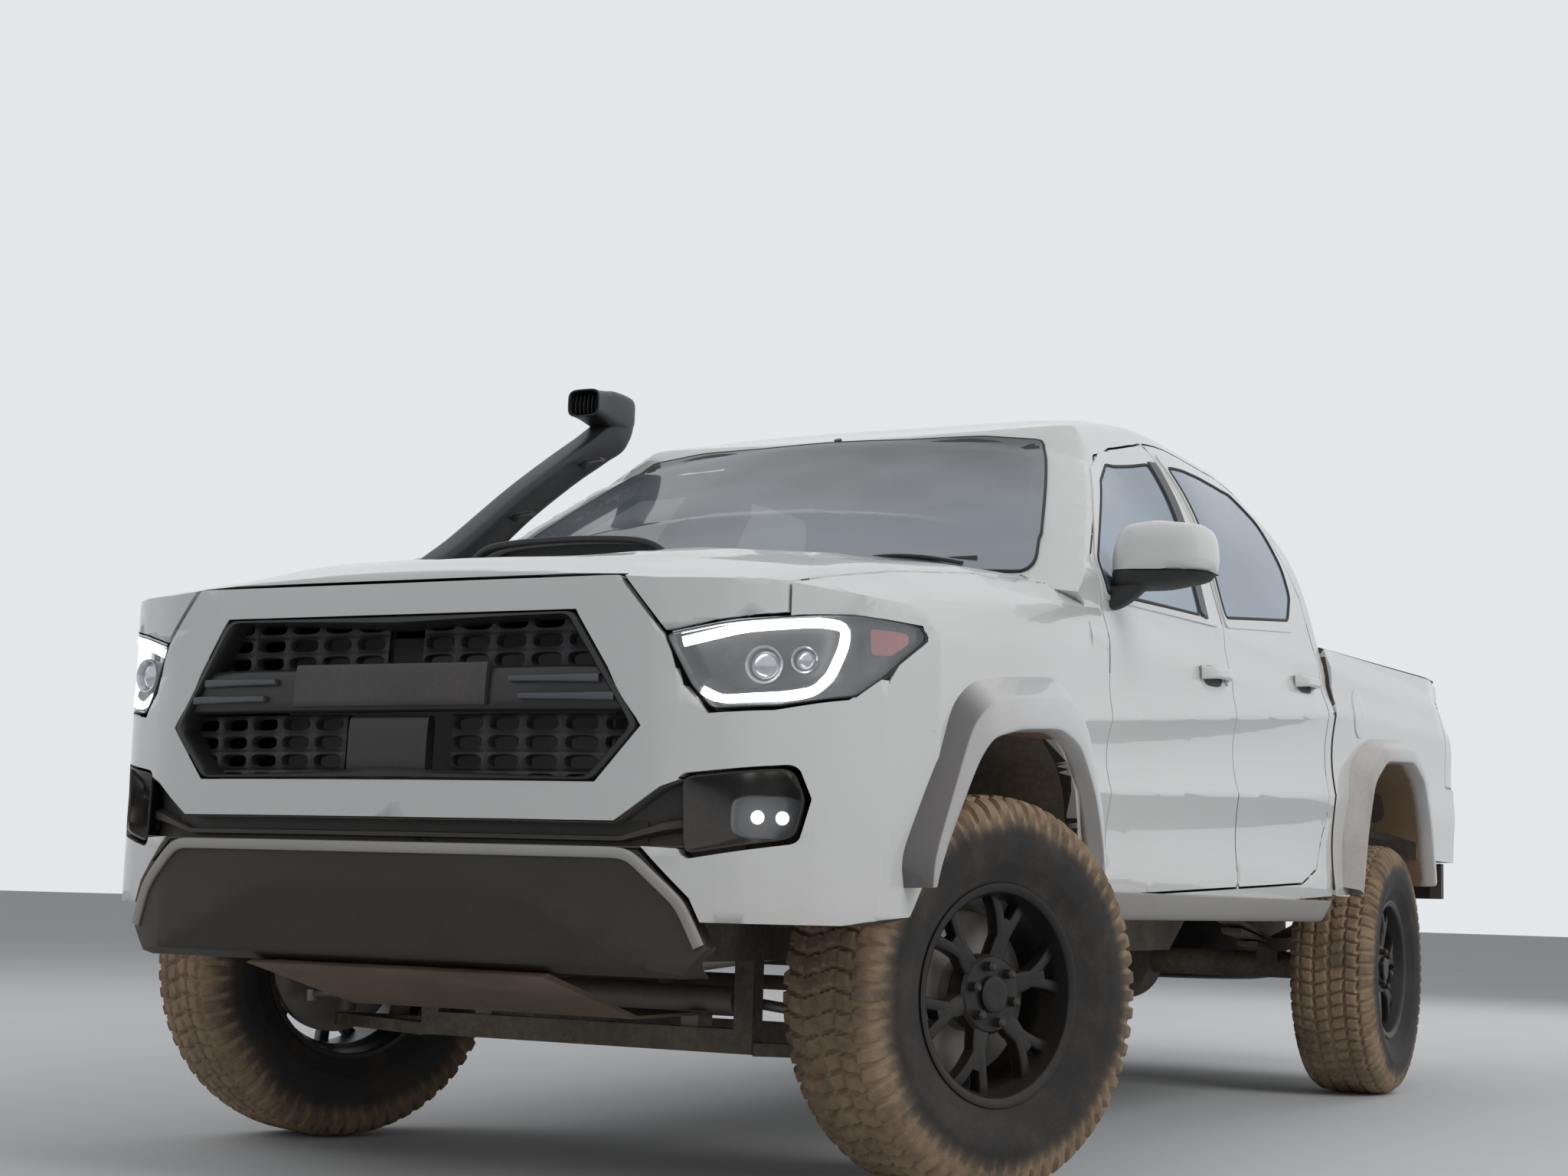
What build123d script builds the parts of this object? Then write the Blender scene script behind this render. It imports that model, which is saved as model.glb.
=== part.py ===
"""Lifted off-road 4x4: a double-cab pickup in millimetres.

+Z is up, the nose points along -Y and the truck's left side is +X.
The origin is the middle of its outline box, on the ground.
"""
from build123d import *
from math import cos, radians, sin, sqrt
import os

# Overall sizes
LENGTH = 5392
Y_NOSE = -LENGTH / 2
Y_TAIL = LENGTH / 2
WHEELBASE = 3236
FRONT_OVERHANG = 905
Y_FRONT_AXLE = Y_NOSE + FRONT_OVERHANG
Y_REAR_AXLE = Y_FRONT_AXLE + WHEELBASE
HALF_TRACK = 800
BODY_HALF = 893
FLARE_HALF = 950
GAP = 6
SKIN = 28
WALL = 60

# Wheels and tyres
TYRE_R = 390
TYRE_HALF = 132
BEAD_R = 204
RIM_LIP_R = 216
BOLT_CIRCLE = 139.7
BOLT_COUNT = 6
BOLT_HOLE_R = 6.5
KINGPIN_X = 730
STEER_REST = 23
DISC_R = 160
DISC_T = 26

# Doors and shut lines
Y_DOOR_FRONT = -1235
Y_PILLAR_LOW = -213
Y_PILLAR_TOP = -276
DOOR_SILL_Z = 590
RAKE = 0.033
DOOR_LEAN = 0.32
LEAN_FROM_X = 960
GLASS_T = 5
GLASS_SINK = 16

# Cab
Y_FIREWALL = -1340
Y_SCREEN_BASE = -1500
Z_SCREEN_BASE = 1290
Y_SCREEN_TOP = -830
Z_SCREEN_TOP = 1772
SCREEN_ARC_R = 3600
Y_CAB_REAR = 775
Z_ROOF = 1872
CAB_FLOOR_Z = 545

# Cargo bed
BED_GAP = 20
Y_BED_FRONT = Y_CAB_REAR + BED_GAP
Y_BED_REAR = 2536
BED_WALL = 58
BED_DEPTH = 485
BED_RAIL_Z = 1342
TAILGATE_T = 62
HOUSE_HALF = 568

# Chassis
RAIL_X = 395
RAIL_W = 76
RAIL_H = 120
RAIL_Z = 440
RAIL_WALL = 7
RAIL_IN = RAIL_X - RAIL_W / 2
RAIL_OUT = RAIL_X + RAIL_W / 2
AXLE_R = 42
SPRING_X = 520
RECEIVER_OUT = 63.5
RECEIVER_IN = 51
PIN_R = 8.2

# Mirrors
MIRROR_TIP_X = 1100


def body_drop(y):
    """Height that the body line has gained at y since the firewall."""
    return RAKE * (y - Y_DOOR_FRONT)


# Half-width of the cab's side at each height: columns are height, half-width
CAB_SIDE = [(535, 850), (600, 885), (660, BODY_HALF), (1150, BODY_HALF), (1300, 855), (1780, 620)]


def cab_x(z):
    """Half-width of the cab's side at height z."""
    low = CAB_SIDE[0]
    for high in CAB_SIDE[1:]:
        if z <= high[0]:
            share = (z - low[0]) / (high[0] - low[0])
            return low[1] + share * (high[1] - low[1])
        low = high
    return low[1]


def along_x(points, x0, x1, radius=0.0):
    """Prism along X of an outline of (y, z) points."""
    with BuildPart() as prism:
        with BuildSketch(Plane.YZ.offset(x0)):
            with BuildLine():
                FilletPolyline(*points, radius=radius, close=True)
            make_face()
        extrude(amount=x1 - x0)
    return prism.part


def along_y(points, y0, y1, radius=0.0):
    """Prism along Y of an outline of (x, z) points."""
    with BuildPart() as prism:
        with BuildSketch(Plane.XZ.offset(-y0)):
            with BuildLine():
                FilletPolyline(*points, radius=radius, close=True)
            make_face()
        extrude(amount=y0 - y1)
    return prism.part


def along_z(points, z0, z1, radius=0.0):
    """Prism along Z of an outline of (x, y) points."""
    with BuildPart() as prism:
        with BuildSketch(Plane.XY.offset(z0)):
            with BuildLine():
                FilletPolyline(*points, radius=radius, close=True)
            make_face()
        extrude(amount=z1 - z0)
    return prism.part


def both_sides(points):
    """Outline of the right half followed by its mirror image about x = 0."""
    return points + [(-a, b) for a, b in reversed(points) if abs(a) > 0.01]


def box_at(x0, x1, y0, y1, z0, z1):
    """Plain block between two corners."""
    with BuildPart() as block:
        with BuildSketch(Plane.XY.offset(z0)):
            with Locations(((x0 + x1) / 2, (y0 + y1) / 2)):
                Rectangle(abs(x1 - x0), abs(y1 - y0))
        extrude(amount=z1 - z0)
    return block.part


def rod(start, end, radius, bore=0.0):
    """Round bar or tube from one point to another."""
    run = Vector(*end) - Vector(*start)
    with BuildPart() as bar:
        with BuildSketch(Plane(origin=start, z_dir=run)):
            Circle(radius)
            if bore:
                Circle(bore, mode=Mode.SUBTRACT)
        extrude(amount=run.length)
    return bar.part


def other_side(solid):
    """Mirror image about the truck's middle plane."""
    return mirror(solid, about=Plane.YZ)


# Cab master: section along Y, side outline along X, curved screen

ROOF_SIDE = [(590, 1815), (540, 1838), (300, 1862), (0, Z_ROOF)]
CAB_PROFILE = [
    (Y_FIREWALL, CAB_FLOOR_Z - 10),
    (Y_FIREWALL, 1225),
    (Y_SCREEN_BASE, Z_SCREEN_BASE),
    (Y_SCREEN_TOP, Z_SCREEN_TOP),
    (-640, 1815),
    (-330, 1857),
    (0, Z_ROOF),
    (300, 1876),
    (600, 1864),
    (715, 1812),
    (Y_CAB_REAR, 1700),
    (Y_CAB_REAR, CAB_FLOOR_Z + body_drop(Y_CAB_REAR)),
    (Y_DOOR_FRONT, CAB_FLOOR_Z),
]


def cab_master(inset):
    """Solid of the whole cab, with every face moved inwards by inset."""
    section = both_sides([(0, 500)] + [(x, z) for z, x in CAB_SIDE] + ROOF_SIDE)
    with BuildPart() as cab:
        with BuildSketch(Plane.XZ.offset(1700)):
            with BuildLine():
                Polyline(*section, close=True)
            make_face()
            if inset:
                offset(amount=-inset, kind=Kind.INTERSECTION, mode=Mode.REPLACE)
        extrude(amount=-2700)
        with BuildSketch(Plane.YZ.offset(-1000)):
            with BuildLine():
                Polyline(*CAB_PROFILE, close=True)
            make_face()
            if inset:
                offset(amount=-inset, kind=Kind.INTERSECTION, mode=Mode.REPLACE)
        extrude(amount=2000, mode=Mode.INTERSECT)
        add(screen_side(inset), mode=Mode.INTERSECT)
    return cab.part


def screen_side(inset):
    """Everything behind the curved screen, which is bent about its own slope."""
    rise = Z_SCREEN_TOP - Z_SCREEN_BASE
    run = Y_SCREEN_TOP - Y_SCREEN_BASE
    slope = Vector(0, run, rise).normalized()
    base = Vector(0, Y_SCREEN_BASE, Z_SCREEN_BASE) - slope * 1600
    radius = SCREEN_ARC_R - inset
    with BuildPart() as behind:
        with BuildSketch(Plane(origin=base, x_dir=(1, 0, 0), z_dir=slope)):
            with Locations((0, SCREEN_ARC_R)):
                Circle(radius)
        extrude(amount=4200)
    return behind.part


# Front master: lofted bonnet and wings, then the bowed nose

# Columns: y, top of the flat side, shoulder x, shoulder z, bonnet edge x, bonnet edge z, crown z
NOSE_STATIONS = [
    (-2720, 1010, 852, 1060, 690, 1085, 1128),
    (-2560, 1020, 858, 1075, 705, 1126, 1172),
    (-2376, 1040, 865, 1095, 720, 1168, 1212),
    (-2150, 1060, 872, 1130, 740, 1206, 1252),
    (-1800, 1090, 878, 1170, 765, 1248, 1292),
    (-1340, 1125, 880, 1215, 775, 1280, 1322),
    (-1241, 1130, 880, 1222, 776, 1290, 1330),
]
NOSE_PLAN = [
    (0, Y_NOSE),
    (300, -2688),
    (551, -2655),
    (690, -2590),
    (790, -2480),
    (850, -2360),
    (893, -2200),
    (896, -1200),
]
NOSE_SIDE = [
    (-2400, 1400),
    (-2600, 1200),
    (-2668, 1135),
    (-2690, 860),
    (Y_NOSE, 700),
    (-2690, 560),
    (-2655, 430),
    (-2500, 380),
    (-1200, 380),
    (-1200, 1400),
]


def front_master(inset):
    """Solid of the nose, bonnet and wings, with every face moved inwards by inset."""
    with BuildPart() as front:
        for y, z_side, x_mid, z_mid, x_edge, z_edge, z_crown in NOSE_STATIONS:
            with BuildSketch(Plane.XZ.offset(-y)):
                right = [
                    (850 - inset, 420),
                    (BODY_HALF - inset, 640),
                    (BODY_HALF - inset, z_side - 0.4 * inset),
                    (x_mid - inset, z_mid - 0.8 * inset),
                    (x_edge - 0.4 * inset, z_edge - inset),
                ]
                left = [(-x, z) for x, z in reversed(right)]
                with BuildLine():
                    Polyline(*left, *right)
                    ThreePointArc(right[-1], (0, z_crown - inset), left[0])
                make_face()
        loft(ruled=True)
        with BuildSketch(Plane.XY.offset(300)):
            with BuildLine():
                Polyline(*both_sides(NOSE_PLAN), close=True)
            make_face()
            if inset:
                offset(amount=-inset, kind=Kind.INTERSECTION, mode=Mode.REPLACE)
        extrude(amount=1200, mode=Mode.INTERSECT)
        with BuildSketch(Plane.YZ.offset(-1000)):
            with BuildLine():
                Polyline(*NOSE_SIDE, close=True)
            make_face()
            if inset:
                offset(amount=-inset, kind=Kind.INTERSECTION, mode=Mode.REPLACE)
        extrude(amount=2000, mode=Mode.INTERSECT)
    return front.part


# Shared cutters

FRONT_DOOR = [
    (Y_DOOR_FRONT, DOOR_SILL_Z),
    (Y_DOOR_FRONT, 1335),
    (-745, 1704),
    (-560, 1748),
    (-262, 1776),
    (Y_PILLAR_TOP, 1180),
    (Y_PILLAR_LOW, DOOR_SILL_Z + body_drop(Y_PILLAR_LOW)),
]
REAR_DOOR = [
    (Y_PILLAR_LOW + GAP, DOOR_SILL_Z + body_drop(Y_PILLAR_LOW)),
    (Y_PILLAR_TOP + GAP, 1180),
    (-262 + GAP, 1776),
    (400, 1778),
    (600, 1716),
    (696, 1500),
    (703, 1130),
    (703, 840),
    (600, 690),
    (430, DOOR_SILL_Z + body_drop(430)),
]
FRONT_WINDOW = [(-1180, 1262), (-1180, 1308), (-724, 1655), (-545, 1704), (-322, 1728), (-332, 1300)]
REAR_WINDOW = [(-214, 1306), (-204, 1732), (390, 1732), (555, 1682), (622, 1500), (600, 1450), (490, 1376)]
DOOR_CORNER = 12


def section_prism(inset):
    """Cab's cross-section carried along Y, moved inwards by inset."""
    section = both_sides([(0, 500)] + [(x, z) for z, x in CAB_SIDE] + ROOF_SIDE)
    with BuildPart() as prism:
        with BuildSketch(Plane.XZ.offset(2000)):
            with BuildLine():
                Polyline(*section, close=True)
            make_face()
            offset(amount=-inset, kind=Kind.INTERSECTION, mode=Mode.REPLACE)
        extrude(amount=-3000)
    return prism.part


side_room = section_prism(WALL + GAP)
door_room = section_prism(WALL - 2)
SILL_TOP_Z = 640
SILL_IN_X = 815


def cut_corners(points, size):
    """Closed outline with each sharp corner cut off straight."""
    cut = []
    for index, point in enumerate(points):
        corner = Vector(*point)
        before = corner - Vector(*points[index - 1])
        after = Vector(*points[(index + 1) % len(points)]) - corner
        if before.get_angle(after) > 15:
            first = corner - before.normalized() * size
            second = corner + after.normalized() * size
            cut += [(first.X, first.Y), (second.X, second.Y)]
        else:
            cut.append(point)
    return cut


def door_prism(outline, grow=0.0):
    """Left-hand door block whose shut faces lean forwards as they go inboard."""
    leaned = [(y + (LEAN_FROM_X - cab_x(z)) * DOOR_LEAN, z) for y, z in outline]
    reach = LEAN_FROM_X - 450
    with BuildPart() as block:
        with BuildSketch(Plane.YZ.offset(LEAN_FROM_X)):
            with BuildLine():
                Polyline(*cut_corners(leaned, DOOR_CORNER), close=True)
            make_face()
            if grow:
                offset(amount=grow, kind=Kind.INTERSECTION, mode=Mode.REPLACE)
        extrude(amount=reach * sqrt(1 + DOOR_LEAN**2), dir=(-1, -DOOR_LEAN, 0))
        add(side_room if grow else door_room, mode=Mode.SUBTRACT)
        add(box_at(400, SILL_IN_X + GAP - grow, -2000, 1000, 500, SILL_TOP_Z), mode=Mode.SUBTRACT)
    return block.part


# Outline of the front wheel opening about its axle: columns are y, z
FRONT_ARCH = [
    (-490, 520), (-366, 734), (-256, 855), (-100, 912), (150, 930), (300, 856), (366, 735),
    (440, 520),
]
FRONT_FLARE = [
    (-560, 560), (-520, 700), (-440, 830), (-335, 955), (-200, 1012), (200, 1046), (325, 990),
    (420, 800), (450, 560),
]
REAR_ARCH = [
    (-500, 560), (-440, 800), (-345, 960), (-180, 1035), (200, 1055), (360, 1000), (460, 850),
    (520, 560),
]
REAR_FLARE = [
    (-600, 640), (-545, 850), (-440, 1030), (-230, 1105), (240, 1135), (450, 1065), (560, 880),
    (600, 690),
]
ARCH_R = 70


def about_axle(outline, y_axle):
    """Outline moved along Y to its axle."""
    return [(y + y_axle, z) for y, z in outline]


def arch_cut(y_axle, outline, x0, x1, grow=0.0):
    """Block that clears a wheel opening between two widths, open at the bottom."""
    points = about_axle(outline, y_axle)
    first = points[0]
    last = points[-1]
    low = [(last[0], 100), (first[0], 100)]
    radii = [0.0] + [ARCH_R] * (len(points) - 2) + [0.0, 0.0, 0.0]
    with BuildPart() as block:
        with BuildSketch(Plane.YZ.offset(x0)):
            with BuildLine():
                FilletPolyline(*points, *low, radius=radii, close=True)
            make_face()
            if grow:
                offset(amount=grow, kind=Kind.INTERSECTION, mode=Mode.REPLACE)
        extrude(amount=x1 - x0)
    return block.part


# Front views of the nose: columns are x, z
LAMP = [
    (560, 1020), (640, 1040), (765, 1064), (822, 1073), (879, 1069), (884, 1043), (851, 965),
    (823, 924), (731, 898), (638, 888), (604, 930),
]
FOG = [(588, 775), (760, 799), (778, 739), (763, 660), (592, 625)]
GRILLE = [(0, 1064), (391, 1064), (523, 857), (440, 758), (0, 758)]
BONNET_NOSE = [
    (0, 900), (940, 900), (940, 1081), (822, 1079), (765, 1070), (640, 1046), (562, 1026),
    (478, 1129), (0, 1129),
]
BONNET_PLAN = [
    (0, -2760),
    (728, -2760),
    (738, -2560),
    (752, -2376),
    (768, -2150),
    (788, -1800),
    (793, -1400),
    (420, -1470),
    (0, -1512),
]
LAMP_DEPTH = 130

cab_solid = cab_master(0)
cab_room = cab_master(WALL)
front_solid = front_master(0)
front_room = front_master(SKIN)
front_clear = front_master(-GAP)
nose_room = front_master(42)

COWL_Z = 1240
cowl_cab = cab_solid & box_at(-1000, 1000, -1600, -1100, COWL_Z, 1700)
bonnet_zone = along_z(both_sides(BONNET_PLAN), 900, 1500)
bonnet_low = along_y(both_sides(BONNET_NOSE), -2800, -2100)
wide_plan = [(x + (GAP if x else 0), y - GAP if y < -2700 else y + GAP) for x, y in BONNET_PLAN]
bonnet_space = along_z(both_sides(wide_plan), 900, 1500)
lamp_zone = along_y(LAMP, -2760, -2200)
fog_zone = along_y(FOG, -2760, -2400, 18)
grille_zone = along_y(both_sides(GRILLE), -2760, -2400)
front_arch = arch_cut(Y_FRONT_AXLE, FRONT_ARCH, 460, 1100)
rear_arch = arch_cut(Y_REAR_AXLE, REAR_ARCH, HOUSE_HALF, 1100)

front_door_space = door_prism(FRONT_DOOR, GAP)

BUMPER_SIDE = [(-2800, 520), (-2800, 1200), (-2345, 1200), (-2345, 954), (-2206, 872), (-2206, 520)]
SLOT_TOP_Z = 691
BUMPER_FRONT = [
    (0, SLOT_TOP_Z),
    (480, SLOT_TOP_Z),
    (560, 752),
    (604, 770),
    (604, 645),
    (530, 648),
    (613, 561),
    (648, 482),
    (690, 484),
    (950, 560),
    (950, 960),
    (846, 960),
    (816, 918),
    (728, 891),
    (632, 881),
    (597, 928),
    (554, 1022),
    (470, 1123),
    (0, 1123),
]
WING_SIDE = [
    (-2560, 1400),
    (-2560, 1060),
    (-2262, 1060),
    (-2345, 954),
    (-2206, 872),
    (-2206, 520),
    (-1700, 500),
    (Y_DOOR_FRONT - GAP, 545),
    (Y_DOOR_FRONT - GAP, 1400),
]

# Bumper cover with the white surround of the grille
with BuildPart() as bumper_cover:
    add(front_solid)
    add(nose_room, mode=Mode.SUBTRACT)
    add(along_x(BUMPER_SIDE, -1000, 1000), mode=Mode.INTERSECT)
    add(along_y(both_sides(BUMPER_FRONT), -2800, -2100), mode=Mode.INTERSECT)
    add(grille_zone, mode=Mode.SUBTRACT)
    for cutter in (fog_zone, lamp_zone, front_arch):
        add(cutter, mode=Mode.SUBTRACT)
        add(other_side(cutter), mode=Mode.SUBTRACT)
bumper_cover.part.label = "bumper_cover"

# Both wings, cut back for the wheel, the lamp and the bonnet
with BuildPart() as front_fenders:
    add(front_solid)
    add(front_room, mode=Mode.SUBTRACT)
    add(along_x(WING_SIDE, -1000, 1000), mode=Mode.INTERSECT)
    add(bonnet_space, mode=Mode.SUBTRACT)
    add(cowl_cab, mode=Mode.SUBTRACT)
    add(box_at(-650, 650, -1700, -1100, 1200, 1400), mode=Mode.SUBTRACT)
    for cutter in (lamp_zone, front_arch, front_door_space):
        add(cutter, mode=Mode.SUBTRACT)
        add(other_side(cutter), mode=Mode.SUBTRACT)
front_fenders.part.label = "front_fenders"

# Bonnet: the top skin in front of the screen
with BuildPart() as hood:
    add(front_solid)
    add(front_room, mode=Mode.SUBTRACT)
    add(bonnet_zone, mode=Mode.INTERSECT)
    add(bonnet_low, mode=Mode.SUBTRACT)
hood.part.label = "hood"

SCOOP_HALF = 235
SCOOP_FRONT = -2110
SCOOP_BACK = -1640
SCOOP_TOP_Z = 1288
SCOOP_WALL = 6

# Scoop on the bonnet, open at its front
with BuildPart() as hood_scoop:
    add(
        along_x(
            [(SCOOP_FRONT, 1200), (SCOOP_FRONT, SCOOP_TOP_Z), (SCOOP_BACK, 1306), (SCOOP_BACK, 1200)],
            -SCOOP_HALF,
            SCOOP_HALF,
        )
    )
    add(
        along_x(
            [
                (SCOOP_FRONT - 1, 1200),
                (SCOOP_FRONT - 1, SCOOP_TOP_Z - SCOOP_WALL),
                (SCOOP_BACK - 90, 1298),
                (SCOOP_BACK - 90, 1200),
            ],
            -SCOOP_HALF + SCOOP_WALL,
            SCOOP_HALF - SCOOP_WALL,
        ),
        mode=Mode.SUBTRACT,
    )
    add(front_solid, mode=Mode.SUBTRACT)
hood_scoop.part.label = "hood_scoop"

# Lamp units let into the nose corners; the side outline has columns y, z
LAMP_SIDE = [(-2800, 800), (-2800, 1200), (-2266, 1200), (-2266, 1000), (-2345, 950), (-2345, 800)]
with BuildPart() as headlamps:
    add(front_solid)
    add(front_master(LAMP_DEPTH), mode=Mode.SUBTRACT)
    add(lamp_zone, mode=Mode.INTERSECT)
    add(along_x(LAMP_SIDE, 0, 1000), mode=Mode.INTERSECT)
    mirror(about=Plane.YZ)
headlamps.part.label = "headlamps"

# Fog lamp pockets: a deep bezel with the lamp at its back
with BuildPart() as fog_lamps:
    add(front_master(4))
    add(front_master(95), mode=Mode.SUBTRACT)
    add(fog_zone, mode=Mode.INTERSECT)
    with BuildSketch(Plane.XZ.offset(2760)):
        with Locations((694, 712)):
            RectangleRounded(108, 84, 20)
    extrude(amount=-190, mode=Mode.SUBTRACT)
    with BuildSketch(Plane.XZ.offset(2560)):
        with Locations((694, 712)):
            RectangleRounded(108, 84, 20)
    extrude(amount=-40)
    mirror(about=Plane.YZ)
fog_lamps.part.label = "fog_lamps"

# Grille: frame, centre bar, blank plate, sensor block and cell mesh
CELL_W = 58
CELL_H = 22
CELL_PITCH_X = 78
CELL_PITCH_Z = 34
GRILLE_DEPTH = 40
BAR_Z = (884, 962)
PLATE_HALF = 216
PLATE_Z = (890, 975)
SENSOR_HALF = 90
SENSOR_Z = (766, 878)
with BuildPart() as grille:
    add(front_master(GRILLE_DEPTH))
    add(front_master(GRILLE_DEPTH + 22), mode=Mode.SUBTRACT)
    add(grille_zone, mode=Mode.INTERSECT)
    with BuildSketch(Plane.XZ.offset(2760)):
        with Locations((0, 1010)):
            with GridLocations(CELL_PITCH_X, CELL_PITCH_Z, 9, 3):
                SlotOverall(CELL_W, CELL_H)
        with Locations((0, 818)):
            with GridLocations(CELL_PITCH_X, CELL_PITCH_Z, 11, 3):
                SlotOverall(CELL_W, CELL_H)
        Rectangle(2 * SENSOR_HALF + 8, 2 * 880, mode=Mode.SUBTRACT)
    extrude(amount=-240, mode=Mode.SUBTRACT)
grille_face = grille.part
with BuildPart() as grille_bar:
    add(front_master(12))
    add(front_master(GRILLE_DEPTH), mode=Mode.SUBTRACT)
    add(grille_zone, mode=Mode.INTERSECT)
    rim = both_sides([(0, 1052), (372, 1052), (500, 858), (430, 770), (0, 770)])
    with BuildSketch(Plane.XZ.offset(2760)):
        with BuildLine():
            Polyline(*rim, close=True)
        make_face()
        with Locations((0, sum(BAR_Z) / 2)):
            Rectangle(1200, BAR_Z[1] - BAR_Z[0], mode=Mode.SUBTRACT)
        with Locations((0, sum(PLATE_Z) / 2)):
            RectangleRounded(2 * PLATE_HALF, PLATE_Z[1] - PLATE_Z[0], 16, mode=Mode.SUBTRACT)
        with Locations((0, sum(SENSOR_Z) / 2)):
            Rectangle(2 * SENSOR_HALF, SENSOR_Z[1] - SENSOR_Z[0], mode=Mode.SUBTRACT)
    extrude(amount=-240, mode=Mode.SUBTRACT)
with BuildPart() as grille:
    add(grille_face)
    add(grille_bar.part)
grille.part.label = "grille"

# Dark valance under the bumper, and the closed back of the slot above it
VALANCE_FRONT = [(0, 421), (592, 421), (640, 474), (605, 555), (521, 642), (0, 642)]
VALANCE_T = 30
SLOT_BACK_HALF = 525
SLOT_BACK_T = 14
with BuildPart() as valance_skin:
    add(front_master(8))
    add(front_master(8 + VALANCE_T), mode=Mode.SUBTRACT)
    add(along_y(both_sides(VALANCE_FRONT), -2800, -2300), mode=Mode.INTERSECT)
with BuildPart() as slot_back:
    add(front_master(8 + VALANCE_T))
    add(front_master(8 + VALANCE_T + SLOT_BACK_T), mode=Mode.SUBTRACT)
    add(box_at(-SLOT_BACK_HALF, SLOT_BACK_HALF, -2800, -2520, 600, SLOT_TOP_Z), mode=Mode.INTERSECT)
with BuildPart() as valance:
    add(valance_skin.part)
    add(slot_back.part)
valance.part.label = "valance"

# Skid plate that slopes back under the nose to the frame
SKID_HALF = 330
SKID_T = 6
with BuildPart() as skid_plate:
    add(
        along_x(
            [
                (-2640, 421 - SKID_T),
                (-2300, 330),
                (-2040, 330),
                (-2040, 330 + SKID_T),
                (-2298, 330 + SKID_T),
                (-2620, 421),
            ],
            -SKID_HALF,
            SKID_HALF,
        )
    )
skid_plate.part.label = "skid_plate"

# Flares round the four wheel openings
with BuildPart() as front_flare:
    with BuildSketch(Plane.YZ.offset(700)):
        with BuildLine():
            FilletPolyline(
                *about_axle(FRONT_FLARE, Y_FRONT_AXLE),
                (Y_FRONT_AXLE + 440, 540),
                (Y_FRONT_AXLE - 560, 540),
                radius=[0] + [40] * 7 + [0, 0, 0],
                close=True,
            )
        make_face()
    extrude(amount=FLARE_HALF - 700)
    add(front_master(BODY_HALF - FLARE_HALF), mode=Mode.INTERSECT)
    add(front_solid, mode=Mode.SUBTRACT)
    add(front_arch, mode=Mode.SUBTRACT)
    add(box_at(600, 1000, -2800, Y_DOOR_FRONT - GAP - 1, 300, 1200), mode=Mode.INTERSECT)
with BuildPart() as rear_flare:
    with BuildSketch(Plane.YZ.offset(BODY_HALF)):
        with BuildLine():
            FilletPolyline(
                *about_axle(REAR_FLARE, Y_REAR_AXLE),
                (Y_REAR_AXLE + 520, 690),
                (Y_REAR_AXLE - 500, 640),
                radius=[0] + [60] * 6 + [0, 0, 0],
                close=True,
            )
        make_face()
    extrude(amount=FLARE_HALF - BODY_HALF)
    add(rear_arch, mode=Mode.SUBTRACT)
with BuildPart() as fender_flares:
    add(front_flare.part)
    add(rear_flare.part)
    mirror(about=Plane.YZ)
fender_flares.part.label = "fender_flares"

# Cab shell with its door openings, windows, floor tunnel and pillars
FLOOR_CUT_Z = 580
FLOOR_CUT_HALF = 450
SCREEN_OPEN = [(0, 1312), (700, 1300), (712, 1330), (560, 1700), (500, 1742), (300, 1758), (0, 1762)]
REAR_OPEN = [(0, 1400), (610, 1400), (560, 1690), (0, 1716)]
PILLAR_Y = (-330, -176)
PILLAR_T = 46
rear_door_space = door_prism(REAR_DOOR, GAP)
front_window = along_x(FRONT_WINDOW, 500, 1000, 22)
rear_window_cut = along_x(REAR_WINDOW, 500, 1000, 22)
screen_cut = along_y(both_sides(SCREEN_OPEN), -1640, -560)
back_cut = along_y(both_sides(REAR_OPEN), 640, 900)
pillar_band = box_at(-1000, 1000, *PILLAR_Y, 500, 1900)

with BuildPart() as pillars:
    add(cab_master(WALL + GAP))
    add(cab_master(WALL + GAP + PILLAR_T), mode=Mode.SUBTRACT)
    add(pillar_band, mode=Mode.INTERSECT)
    add(box_at(-560, 560, PILLAR_Y[0] - 1, PILLAR_Y[1] + 1, 500, 1700), mode=Mode.SUBTRACT)
with BuildPart() as pillar_ends:
    add(cab_master(WALL - 4))
    add(cab_master(WALL + GAP), mode=Mode.SUBTRACT)
    add(pillar_band, mode=Mode.INTERSECT)

with BuildPart() as bonnet_clear:
    add(front_clear)
    add(front_master(SKIN + GAP), mode=Mode.SUBTRACT)
    add(bonnet_space, mode=Mode.INTERSECT)
with BuildPart() as wing_seat:
    add(front_solid)
    add(front_room, mode=Mode.SUBTRACT)
    add(box_at(-1000, 1000, -2800, Y_DOOR_FRONT, 400, COWL_Z), mode=Mode.INTERSECT)

with BuildPart() as cab_shell:
    add(cab_solid)
    add(cab_room, mode=Mode.SUBTRACT)
    add(box_at(-FLOOR_CUT_HALF, FLOOR_CUT_HALF, -1400, 900, 500, FLOOR_CUT_Z), mode=Mode.SUBTRACT)
    add(wing_seat.part, mode=Mode.SUBTRACT)
    add(bonnet_clear.part, mode=Mode.SUBTRACT)
    add(pillar_ends.part)
    for cutter in (front_door_space, rear_door_space):
        add(cutter, mode=Mode.SUBTRACT)
        add(other_side(cutter), mode=Mode.SUBTRACT)
    add(pillars.part)
    add(screen_cut, mode=Mode.SUBTRACT)
    add(back_cut, mode=Mode.SUBTRACT)
cab_shell.part.label = "cab_shell"


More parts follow.
